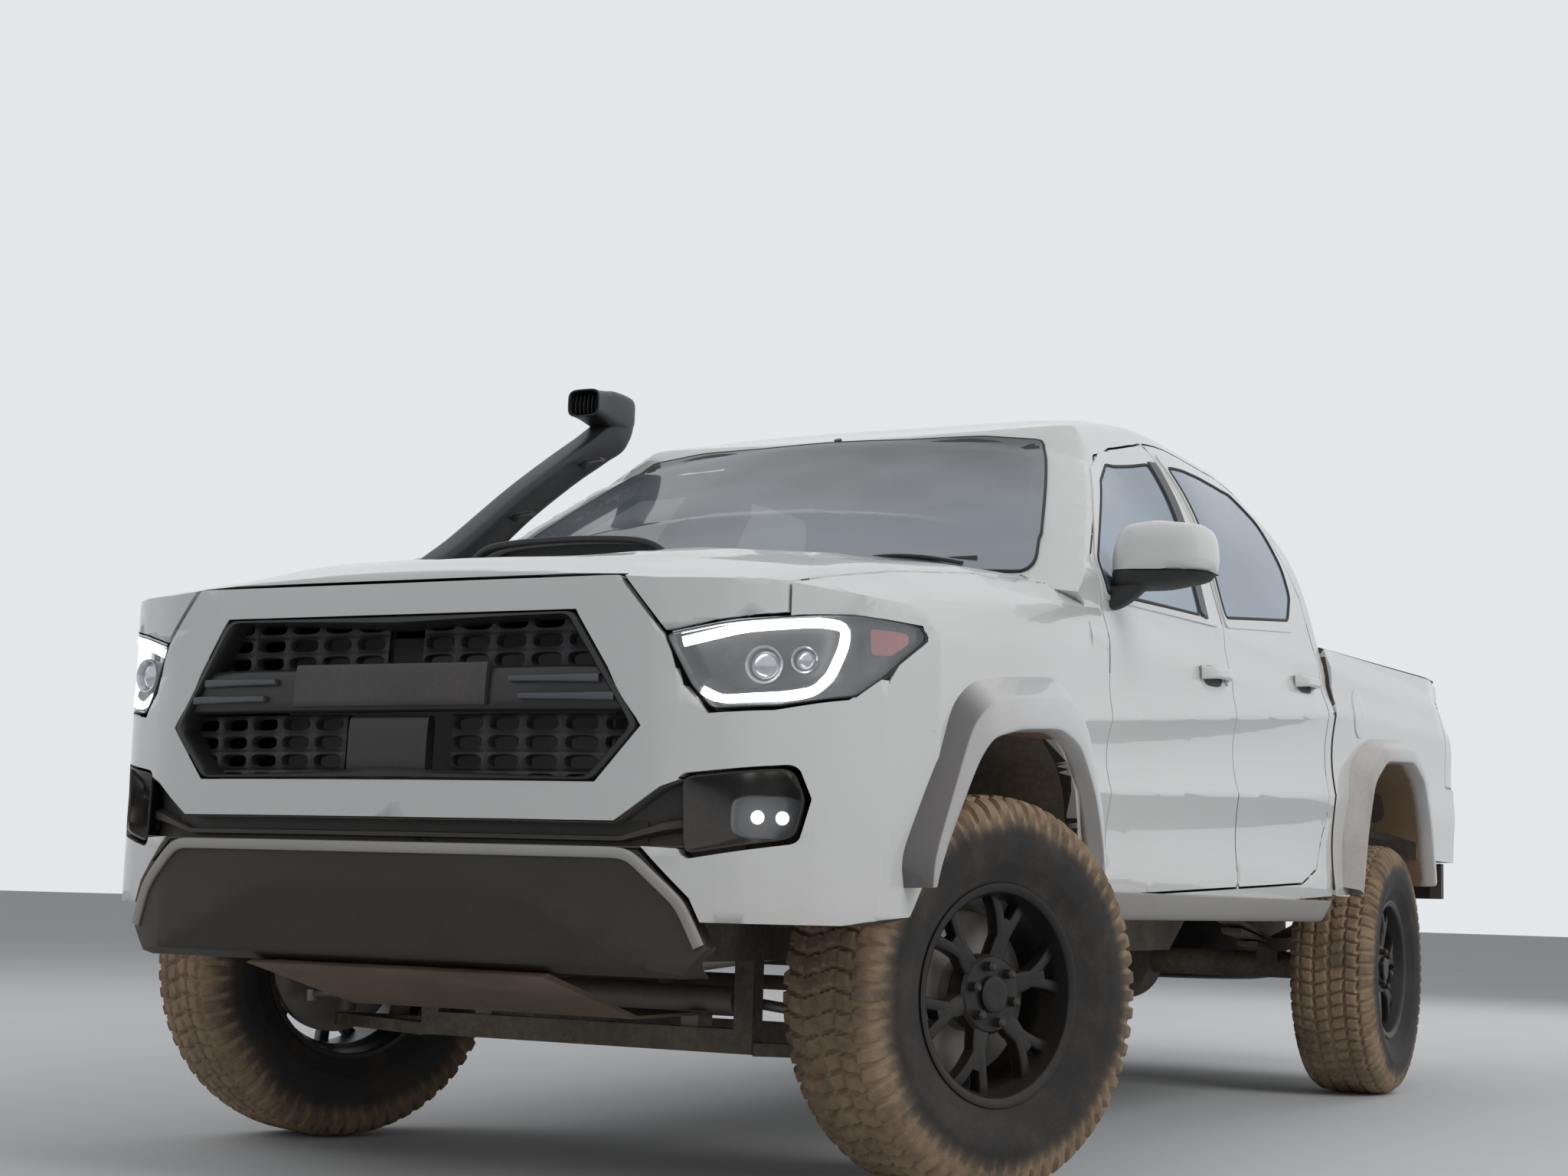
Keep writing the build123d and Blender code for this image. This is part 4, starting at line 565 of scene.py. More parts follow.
def smooth_curve(xs: Sequence[float], ys: Sequence[float], at: Array) -> Array:
    """Monotone cubic through a few points.

    Each span is the cubic with the harmonic mean of the neighbouring chords' slopes at its ends;
    past the ends the end value holds.

    Args:
        xs: rising positions.
        ys: values there.
        at: positions wanted.

    Returns:
        Value at each position.
    """
    x = np.asarray(xs, float)
    y = np.asarray(ys, float)
    run = np.diff(x)
    chord = np.diff(y) / run
    both = chord[1:] + chord[:-1]
    swing = chord[1:] * chord[:-1]
    inner = np.where(swing > 0, 2 * swing / np.where(both == 0, 1, both), 0.0)
    slope = np.concatenate([chord[:1], inner, chord[-1:]])
    at = np.clip(at, x[0], x[-1])
    k = np.clip(np.searchsorted(x, at, side="right") - 1, 0, len(run) - 1)
    t = (at - x[k]) / run[k]
    start = (1 + 2 * t) * (1 - t) ** 2 * y[k] + t * (1 - t) ** 2 * run[k] * slope[k]
    return start + t * t * (3 - 2 * t) * y[k + 1] + t * t * (t - 1) * run[k] * slope[k + 1]


def resample(points: Any, count: int, closed: bool = False) -> Array:
    """Points spread evenly by length along a polyline.

    Args:
        points: corners, (n, d).
        count: points wanted.
        closed: whether the last corner joins the first.

    Returns:
        The spread points; for a closed line the first isn't repeated.
    """
    line = np.asarray(points, float)
    if closed:
        line = np.vstack([line, line[:1]])
    length = np.concatenate([[0.0], np.cumsum(np.linalg.norm(np.diff(line, axis=0), axis=1))])
    at = np.linspace(0, length[-1], count, endpoint=not closed)
    return np.stack([np.interp(at, length, line[:, k]) for k in range(line.shape[1])], axis=1)


def softened(points: Any, count: int, spread: float, closed: bool = True) -> Array:
    """Outline whose corners are rounded by averaging along its length.

    Each point becomes the mean of its neighbours, weighted by a bell of the given spread.

    Args:
        points: corners.
        count: points wanted.
        spread: the bell's spread in metres.
        closed: whether the outline is a loop.

    Returns:
        The softened outline, (count, d).
    """
    line = resample(points, count, closed)
    step = np.linalg.norm(line[1] - line[0])
    reach = max(1, int(3 * spread / step))
    bell = np.exp(-0.5 * (np.arange(-reach, reach + 1) * step / spread) ** 2)
    bell /= bell.sum()
    if closed:
        padded = np.concatenate([line[-reach:], line, line[:reach]])
    else:
        before = 2 * line[0] - line[reach:0:-1]
        after = 2 * line[-1] - line[-2 : -reach - 2 : -1]
        padded = np.concatenate([before, line, after])
    return np.stack([np.convolve(padded[:, k], bell, "valid") for k in range(line.shape[1])], axis=1)


@dataclass
class Shape:
    """Mesh under construction.

    Attributes:
        points: (n, 3) places.
        faces: corner numbers, one array for each block of like faces.
        marks: named value for each point.
    """

    points: Array
    faces: list[Array]
    marks: dict[str, Array] = field(default_factory=dict)

    def __add__(self, other: "Shape") -> "Shape":
        """Both shapes as one mesh."""
        shift = len(self.points)
        marks = {}
        for key in {*self.marks, *other.marks}:
            first = self.marks.get(key, np.zeros(shift))
            marks[key] = np.concatenate([first, other.marks.get(key, np.zeros(len(other.points)))])
        faces = self.faces + [block + shift for block in other.faces]
        return Shape(np.vstack([self.points, other.points]), faces, marks)

    def flipped(self) -> "Shape":
        """The shape with its faces turned round."""
        return Shape(self.points, [f[:, ::-1] for f in self.faces], self.marks)

    def outward(self) -> "Shape":
        """The closed shape with its faces pointing out: turned if its volume comes out negative."""
        total = 0.0
        for block in self.faces:
            a, b, c = self.points[block[:, 0]], self.points[block[:, 1]], self.points[block[:, 2]]
            total += np.einsum("ij,ij->", a, np.cross(b, c))
            if block.shape[1] == 4:
                d = self.points[block[:, 3]]
                total += np.einsum("ij,ij->", a, np.cross(c, d))
        return self if total > 0 else self.flipped()

    def mirrored(self) -> "Shape":
        """The same shape on the truck's other side."""
        return Shape(self.points * np.array([-1.0, 1.0, 1.0]), [f[:, ::-1] for f in self.faces], self.marks)

    def on(self, side: Side) -> "Shape":
        """The shape on a side, made for the left."""
        return self if side is Side.LEFT else self.mirrored()

    def moved(self, matrix: Array) -> "Shape":
        """The shape through a 3 by 4 or 4 by 4 transform."""
        return Shape(self.points @ matrix[:3, :3].T + matrix[:3, 3], self.faces, self.marks)


def joined(shapes: Iterable[Shape]) -> Shape:
    """All the shapes as one mesh."""
    first, *rest = shapes
    for shape in rest:
        first = first + shape
    return first


def surface(points: Array, round_u: bool = False, round_v: bool = False) -> Shape:
    """Quads over a grid of points.

    Args:
        points: (rows, columns, 3).
        round_u: whether the last row joins the first.
        round_v: whether the last column joins the first.

    Returns:
        The sheet.
    """
    rows, cols = points.shape[:2]
    number = np.arange(rows * cols).reshape(rows, cols)
    if round_u:
        number = np.vstack([number, number[:1]])
    if round_v:
        number = np.hstack([number, number[:, :1]])
    quads = np.stack([number[:-1, :-1], number[1:, :-1], number[1:, 1:], number[:-1, 1:]], axis=-1)
    return Shape(points.reshape(-1, 3), [quads.reshape(-1, 4)])


def fan(first: Array, second: Array, tip: int) -> Array:
    """Triangles between a tip and each pair of corners."""
    return np.stack([np.full(len(first), tip), first, second], axis=1)


def closed_tube(rings: Array) -> Shape:
    """Tube over (n, m, 3) rings with a fan at each end, faces outwards."""
    n, m = rings.shape[:2]
    body = surface(rings, round_v=True)
    points = np.vstack([body.points, rings[0].mean(axis=0), rings[-1].mean(axis=0)])
    near = np.arange(m)
    far = near + (n - 1) * m
    ends = [fan(near, np.roll(near, -1), n * m), fan(np.roll(far, -1), far, n * m + 1)]
    return Shape(points, [body.faces[0], *ends]).outward()


def bent(value: Array, power: float) -> Array:
    """Value raised to a power with its sign kept."""
    return np.sign(value) * np.abs(value) ** power


def oval(count: int, power: float = 2.0) -> Array:
    """Unit superellipse: cosine and sine raised to 2/power with their signs kept."""
    turn = full_turn(count)
    return bent(np.stack([np.cos(turn), np.sin(turn)], axis=1), 2 / power)


def tube(
    path: Any,
    wide: Any,
    high: Any,
    power: float = 2.0,
    up: Sequence[float] = (0, 0, 1),
    sides: int = 20,
    closed: bool = False,
) -> Shape:
    """Superellipse carried square along a path.

    Ring = path + wide * cos * across + high * sin * over; across is tangent cross up.

    Args:
        path: (n, 3) points.
        wide: half-width, one or one for each point.
        high: half-height likewise.
        power: superellipse power.
        up: direction that "over" leans to.
        sides: points around.
        closed: whether the path is a loop.

    Returns:
        The closed tube.
    """
    line = np.asarray(path, float)
    ahead = np.roll(line, -1, axis=0) - np.roll(line, 1, axis=0)
    if not closed:
        ahead[0] = line[1] - line[0]
        ahead[-1] = line[-1] - line[-2]
    ahead /= np.linalg.norm(ahead, axis=1, keepdims=True)
    across = np.cross(ahead, np.asarray(up, float))
    across /= np.linalg.norm(across, axis=1, keepdims=True)
    over = np.cross(across, ahead)
    ring = oval(sides, power)
    w = np.broadcast_to(wide, len(line))[:, None, None]
    h = np.broadcast_to(high, len(line))[:, None, None]
    rings = line[:, None] + w * ring[None, :, :1] * across[:, None] + h * ring[None, :, 1:] * over[:, None]
    if closed:
        return surface(rings, round_u=True, round_v=True).outward()
    return closed_tube(rings)


def lathe(profile: Any, steps: int = 48, closed: bool = False) -> Shape:
    """Profile of (u, r) turned round the u axis: point = (u, r cos, r sin).

    Args:
        profile: (n, 2); a radius of 0 at both ends closes the shape.
        steps: points around.
        closed: whether the profile is a loop.

    Returns:
        The turned shape.
    """
    line = np.asarray(profile, float)
    turn = full_turn(steps)
    points = xyz(line[:, :1], line[:, 1:] * np.cos(turn), line[:, 1:] * np.sin(turn))
    return surface(points, round_u=closed, round_v=True).outward()


def frame_at(origin: Sequence[float], ahead: Sequence[float], up: Sequence[float] = (0, 0, 1)) -> Array:
    """Transform that takes +x to ahead, +z as near as can be to up, and 0 to origin."""
    x = np.asarray(ahead, float)
    x = x / np.linalg.norm(x)
    y = np.cross(np.asarray(up, float), x)
    y /= np.linalg.norm(y)
    matrix = np.eye(4)
    matrix[:3, :3] = np.stack([x, y, np.cross(x, y)], axis=1)
    matrix[:3, 3] = origin
    return matrix


def patch(
    edge: Any, place: Callable[[Array], Array], rings: int, middle: Any = None, least: float = 0.02
) -> Shape:
    """Curved panel inside an outline: flat rings shrink to the middle, then all is laid on a surface.

    Args:
        edge: (n, 2) outline.
        place: takes flat points, gives places.
        rings: rings from edge to middle.
        middle: point that the rings shrink to, or the outline's mean.
        least: the last ring's share of the outline.

    Returns:
        The open panel.
    """
    edge = np.asarray(edge, float)
    middle = edge.mean(axis=0) if middle is None else np.asarray(middle, float)
    share = np.linspace(1, least, rings)[:, None, None]
    body = surface(place(middle + share * (edge - middle)), round_v=True)
    near = np.arange(len(edge)) + (rings - 1) * len(edge)
    points = np.vstack([body.points, place(middle[None])])
    return Shape(points, [body.faces[0], fan(np.roll(near, -1), near, rings * len(edge))])


def bead(line: Array, size: float) -> Shape:
    """Round bead along a loop."""
    return tube(line, size, size, up=(0.3, 0.2, 1.0), sides=10, closed=True)


def placed(name: str, data: Any) -> Any:
    """New object with this data, linked to the scene."""
    made = bpy.data.objects.new(name, data)
    bpy.context.scene.collection.objects.link(made)
    return made


def smooth(mesh: Any, sharp: float) -> None:
    """Shades a mesh smooth, apart from edges sharper than an angle in degrees."""
    mesh.polygons.foreach_set("use_smooth", np.ones(len(mesh.polygons), bool))
    mesh.set_sharp_from_angle(angle=math.radians(sharp))


def read(items: Any, name: str) -> Array:
    """Place of each vertex, or centre of each face."""
    values = np.empty(len(items) * 3, np.float32)
    items.foreach_get(name, values)
    return values.reshape(-1, 3).astype(float)


def put(
    name: str,
    shape: Shape,
    look: Look,
    slot: str,
    body: str = "chassis",
    replaces: Sequence[str] = (),
    sharp: float = 32.0,
    wall: float = 0.0,
    bevel: float = 0.0,
) -> Any:
    """Turns a shape into a finished object of the truck.

    Args:
        name: object name.
        shape: its mesh.
        look: its finish.
        slot: record's material slot; not used.
        body: CAD body that it rides on.
        replaces: CAD nodes that it stands for.
        sharp: angle in degrees past which an edge stays sharp.
        wall: thickness that Solidify gives, in metres.
        bevel: bevel width in metres.

    Returns:
        The Blender object.
    """
    mesh = bpy.data.meshes.new(name)
    faces = [tuple(face) for block in shape.faces for face in block.tolist()]
    mesh.from_pydata(shape.points.tolist(), [], faces)
    mesh.validate(clean_customdata=False)
    for key, values in shape.marks.items():
        mesh.attributes.new(key, "FLOAT", "POINT").data.foreach_set("value", values.astype(np.float32))
    piece = placed(name, mesh)
    mesh.materials.append(look.material)
    smooth(mesh, sharp)
    if wall:
        solid = piece.modifiers.new("wall", "SOLIDIFY")
        solid.thickness = wall
        solid.offset = -1
    if bevel:
        edge = piece.modifiers.new("edge", "BEVEL")
        edge.width = bevel
        edge.segments = 2
        edge.limit_method = "ANGLE"
        edge.angle_limit = math.radians(35)
    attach(piece, body)
    if replaces:
        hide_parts(*replaces)
    log.info("%s: %d faces on %s", name, len(mesh.polygons), body)
    return piece


# Body form


@dataclass
class BodyForm:
    """Small moves that turn the flat-faced CAD body into the pressed one.

    All tables are the CAD's own control points in metres. A panel's point moves by the gap
    between the flat-faced section and the same section with rounded corners, read at the
    point's y and at its angle about a line inside the body, plus the pressed side lines.

    Attributes:
        cab_side: height, half-width.
        roof_side: half-width, height.
        bed_side: height, half-width.
        nose: y, side top z, shoulder x and z, bonnet edge x and z, crown z.
        plan: half-width, y round the nose.
        brow: height, y of the nose seen from the side.
        crest: y, height along the cab's roof.
        core: height of the inside line.
        cab_y: front and back of the cab.
        spread: how far corners are rounded.
        upper: height of the upper side crease at the door's front edge.
        lower: height of the lower one.
        rise: metres that the upper and the lower crease climb for each metre back.
    """

    cab_side: tuple = mm((535, 850), (600, 885), (660, 893), (1150, 893), (1300, 855), (1780, 620))
    roof_side: tuple = mm((590, 1815), (540, 1838), (300, 1862), (0, 1872))
    bed_side: tuple = mm((500, 893), (1180, 893), (1290, 876), (1345, 850), (1430, 846))
    nose: tuple = mm(
        (-2720, 1010, 852, 1060, 690, 1085, 1128), (-2560, 1020, 858, 1075, 705, 1126, 1172),
        (-2376, 1040, 865, 1095, 720, 1168, 1212), (-2150, 1060, 872, 1130, 740, 1206, 1252),
        (-1800, 1090, 878, 1170, 765, 1248, 1292), (-1340, 1125, 880, 1215, 775, 1280, 1322),
        (-1241, 1130, 880, 1222, 776, 1290, 1330),
    )
    plan: tuple = mm(
        (0, -2696), (300, -2688), (551, -2655), (690, -2590), (790, -2480), (850, -2360), (893, -2200),
        (896, -1200),
    )
    brow: tuple = mm(
        (380, -2500), (430, -2655), (560, -2690), (700, -2696), (860, -2690), (1135, -2668), (1200, -2600),
    )
    crest: tuple = mm(
        (-1500, 1290), (-830, 1772), (-640, 1815), (-330, 1857), (0, 1872), (300, 1876), (600, 1864),
        (715, 1812), (775, 1700),
    )
    core: float = 0.75
    cab_y: tuple = (-1.2385, 0.780)
    spread: float = 0.022
    upper: float = 0.981
    lower: float = 0.821
    rise: tuple = (0.0843, 0.0447)

    def __post_init__(self) -> None:
        """Works out the tables once."""
        self.turns = np.linspace(-0.55, np.pi / 2, 500)
        self.rows = np.linspace(-2.72, 2.56, 265)
        both = [self._row(y) for y in self.rows]
        self.flat = np.array([row[0] for row in both])
        self.gap = np.array([row[1] for row in both])
        line = resample(self.crest, 500)
        soft = softened(self.crest, 500, 0.045, closed=False)
        self.crest_gap = (line[:, 0], np.interp(line[:, 0], soft[:, 0], soft[:, 1]) - line[:, 1])

    def _row(self, y: float) -> tuple[Array, Array]:
        """Radius of the flat-faced section at y for each angle, and the rounded one's difference.

        The cab's section is its side and roof lines, cut off at the crest line and at the screen.
        """
        if y < self.cab_y[0]:
            stations = np.array(self.nose).T
            values = (np.interp(y, stations[0], row) for row in stations[1:])
            top_z, mid_x, mid_z, edge_x, edge_z, crown = values
            along = np.linspace(1, 0, 40)
            arc = np.stack([edge_x * along, crown - (crown - edge_z) * along**2], axis=1)
            line = np.vstack([[[0.850, 0.420], [0.893, 0.640], [0.893, top_z], [mid_x, mid_z]], arc])
        elif y < self.cab_y[1]:
            line = resample([(x, z) for z, x in self.cab_side] + list(self.roof_side), 400)
            climb = SCREEN_LEAN[0] * (y - SCREEN_FOOT[0]) - line[:, 0] ** 2 / SCREEN_BOW
            screen = SCREEN_FOOT[1] + climb / SCREEN_LEAN[1]
            line[:, 1] = np.minimum(line[:, 1], np.minimum(np.interp(y, *zip(*self.crest)), screen))
        else:
            line = np.array([(x, z) for z, x in self.bed_side] + [(0.0, 1.430)])
        mirror = np.vstack([line, flipped_x(line[-2::-1])])
        dense = resample(mirror, 900)
        soft = softened(mirror, 900, self.spread, closed=False)
        return self._radius(dense), self._radius(soft) - self._radius(dense)

    def _radius(self, line: Array) -> Array:
        """Distance from the core line at each angle."""
        half = line[line[:, 0] >= -1e-9]
        angle = np.arctan2(half[:, 1] - self.core, half[:, 0])
        return np.interp(self.turns, angle, np.hypot(half[:, 0], half[:, 1] - self.core))

    def _read(self, table: Array, y: Array, angle: Array) -> Array:
        """Table's value between its rows and angles, straight-line both ways."""
        r = np.clip((y - self.rows[0]) / (self.rows[1] - self.rows[0]), 0, len(self.rows) - 1.001)
        c = np.clip((angle - self.turns[0]) / (self.turns[1] - self.turns[0]), 0, len(self.turns) - 1.001)
        i, j = r.astype(int), c.astype(int)
        u, v = r - i, c - j
        low = table[i, j] * (1 - v) + table[i, j + 1] * v
        high = table[i + 1, j] * (1 - v) + table[i + 1, j + 1] * v
        return low * (1 - u) + high * u

    def depth(self, p: Array) -> Array:
        """How far each point lies inside the flat-faced skin."""
        x, y, z = np.abs(p[:, 0]), p[:, 1], p[:, 2]
        inside = self._read(self.flat, y, np.arctan2(z - self.core, x)) - np.hypot(x, z - self.core)
        nose_y = np.maximum(self.nose_at(x), np.interp(z, *zip(*self.brow)))
        cab = (y > self.cab_y[0]) & (y < self.cab_y[1])
        crest = np.interp(y, *zip(*self.crest)) - z
        slope = SCREEN_LEAN[0] * (y - SCREEN_FOOT[0]) - SCREEN_LEAN[1] * (z - SCREEN_FOOT[1])
        slope = slope - x * x / SCREEN_BOW
        end = np.where(y < 0, y - nose_y, 2.545 - y)
        end = np.where(cab, np.minimum(np.minimum(crest, 0.775 - y), slope), end)
        return np.minimum(inside, end)

    def nose_at(self, x: Array) -> Array:
        """y of the nose's plan outline at each half-width."""
        return np.interp(np.abs(x), *zip(*self.plan))

    @staticmethod
    def read_soft(line: Any, count: int, spread: float, at: Array) -> Array:
        """Second coordinate of a line with rounded corners, read at its first.

        Args:
            line: corners.
            count: points on the rounded line.
            spread: how far corners are rounded.
            at: first coordinates wanted.

        Returns:
            Value at each place.
        """
        soft = softened(line, count, spread, closed=False)
        return np.interp(at, *soft[np.argsort(soft[:, 0])].T)

    def skin_y(self, x: Array, z: Array) -> Array:
        """y of the finished nose skin at x and z: rounded plan and brow, whichever is further back."""
        plan = [(-a, b) for a, b in self.plan[:0:-1]] + list(self.plan)
        return np.maximum(self.read_soft(plan, 900, 0.030, np.abs(x)), self._brow_y(z))

    def _brow_y(self, z: Array) -> Array:
        """y of the rounded brow line at each height."""
        return self.read_soft(self.brow, 500, 0.014, z)

    def on_nose(self, flat: Array, inset: Any = 0.0) -> Array:
        """Points of x and z laid behind the finished nose skin by an inset in metres."""
        x, z = flat[..., 0], flat[..., 1]
        return xyz(x, self.skin_y(x, z) + inset, z)

    def side_press(self, y: Array, z: Array) -> Array:
        """Outward press of the sides.

        Both creases climb towards the rear. Between them the side is hollowed by a half sine,
        above the upper one it steps in, and below the lower one it tucks in by another half sine.
        """
        back = np.clip(y, -1.6, 0.80) + 1.14
        upper = self.upper + self.rise[0] * back + 0.030 * (np.clip(y, 0.8, 2.6) - 0.8)
        lower = self.lower + self.rise[1] * back
        share = np.clip((z - lower) / (upper - lower), 0, 1)
        hollow = -0.014 * np.sin(np.pi * share) ** 0.9
        step = -0.009 * ease(z, upper, upper + 0.075) * (1 - ease(z, 1.225, 1.285))
        tuck = -0.013 * np.sin(np.pi * np.clip((lower - z) / (lower - 0.600), 0, 1)) ** 1.1
        return (hollow + step + tuck) * ease(y, -1.62, -1.30) * (1 - 0.45 * ease(y, 0.7, 1.1))

    def glasshouse(self, x: Array, y: Array, z: Array) -> tuple[Array, Array]:
        """Sideways and upward moves of the cab above its waist.

        The sides swell by a half sine of the height between waist and roof, fading with the
        cube of the share of the half-width, and more towards the rear. The roof's front edge
        comes down by an eased 42 mm and its rear half rises by 30 mm.
        """
        share = np.clip((z - 1.30) / 0.50, 0, 1)
        side = np.clip(x / np.interp(z, *zip(*self.cab_side)), 0, 1) ** 3
        drop = -0.042 * ease(z, 1.38, 1.76) * (1 - ease(y, -0.75, -0.05))
        swell = 0.016 + 0.032 * ease(y, -0.85, -0.10)
        rise = 0.030 * ease(z, 1.45, 1.78) * ease(y, -0.70, 0.05) * (1 - ease(y, 0.50, 0.775))
        return swell * np.sin(np.pi * share**1.25) * side, drop + rise

    def taper(self, x: Array, y: Array, z: Array) -> tuple[Array, Array]:
        """Sideways and upward moves of the bed's rear upper corner: drawn in and down towards the tail."""
        near = ease(x, 0.800, 0.870) * ease(z, 1.10, 1.36)
        return -0.030 * near * ease(y, 2.25, 2.54), -0.022 * near * ease(y, 2.38, 2.56)

    def bonnet_press(self, x: Array, y: Array) -> Array:
        """Bonnet relief: two broad ribs and, ahead of the scoop, a dip between them.

        Ribs rise 9 mm inside a line that narrows towards the nose; the dip is 20 mm deep,
        widest ahead of the scoop, and fades out behind it.
        """
        edge = 0.40 + 0.13 * ease(y, -2.45, -1.5)
        side = np.abs(x)
        ribs = 0.009 * (1 - ease(side, edge, edge + 0.045)) * ease(y, -2.60, -2.42)
        dip = 0.020 * (1 - ease(side, 0.19, 0.34)) * ease(y, -2.52, -2.28) * (1 - ease(y, -1.98, -1.75))
        return (ribs - dip) * (1 - ease(y, -1.50, -1.30))

    def shift(self, p: Array) -> Array:
        """Move of each point, (n, 3).

        Radial gap in the cross-section, plus the side press along x, the crest and bonnet
        gaps along z, and the plan and brow gaps of the nose along y.
        """
        x, y, z = np.abs(p[:, 0]), p[:, 1], p[:, 2]
        sign = np.sign(p[:, 0])
        angle = np.arctan2(z - self.core, x)
        radial = self._read(self.gap, y, angle)
        in_cab = (y > self.cab_y[0]) & (y < self.cab_y[1])
        side = self.side_press(y, z) * ease(x, 0.62, 0.76)
        swell, drop = self.glasshouse(x, y, z)
        tail_in, tail_down = self.taper(x, y, z)
        dx = sign * (radial * np.cos(angle) + side + swell * in_cab + tail_in)
        dz = radial * np.sin(angle) + drop * in_cab + tail_down
        roof = np.interp(y, *self.crest_gap) * ease(z, 1.60, 1.68) * in_cab
        dz = dz + roof + self.bonnet_press(x, y) * ease(z, 1.06, 1.12) * (y < self.cab_y[0])
        front = ease(-y, 2.12, 2.30)
        corner = self.skin_y(x, np.full_like(x, 0.7)) - np.maximum(self.nose_at(x), -2.696)
        brow = self._brow_y(z) - np.interp(z, *zip(*self.brow))
        brow = brow * (1 - ease(x, 0.45, 0.65)) * ease(-y, 2.45, 2.58)
        dy = front * (corner * (1 - ease(x, 0.80, 0.885)) + brow)
        return np.stack([dx, dy, dz], axis=1)


@dataclass
class Sided:
    """Sub-assembly that is built for the left side and mirrored for the right.

    Attributes:
        form: the body's form.
        side: the truck's side.
    """

    form: BodyForm
    side: Side

    def add(self, name: str, shape: Shape, look: Look, slot: str, **options: Any) -> Any:
        """Puts a piece on this side, with the side's word at the end of its name.

        Args:
            name: start of the object's name.
            shape: its mesh, made for the left.
            look: its finish.
            slot: record's material slot.
            **options: further settings of put.

        Returns:
            The Blender object.
        """
        return put(f"{name}_{self.side.word}", shape.on(self.side), look, slot, **options)

    def first(self, *nodes: str) -> tuple[str, ...]:
        """Nodes that both sides share: the left piece stands for them."""
        return nodes if self.side is Side.LEFT else ()


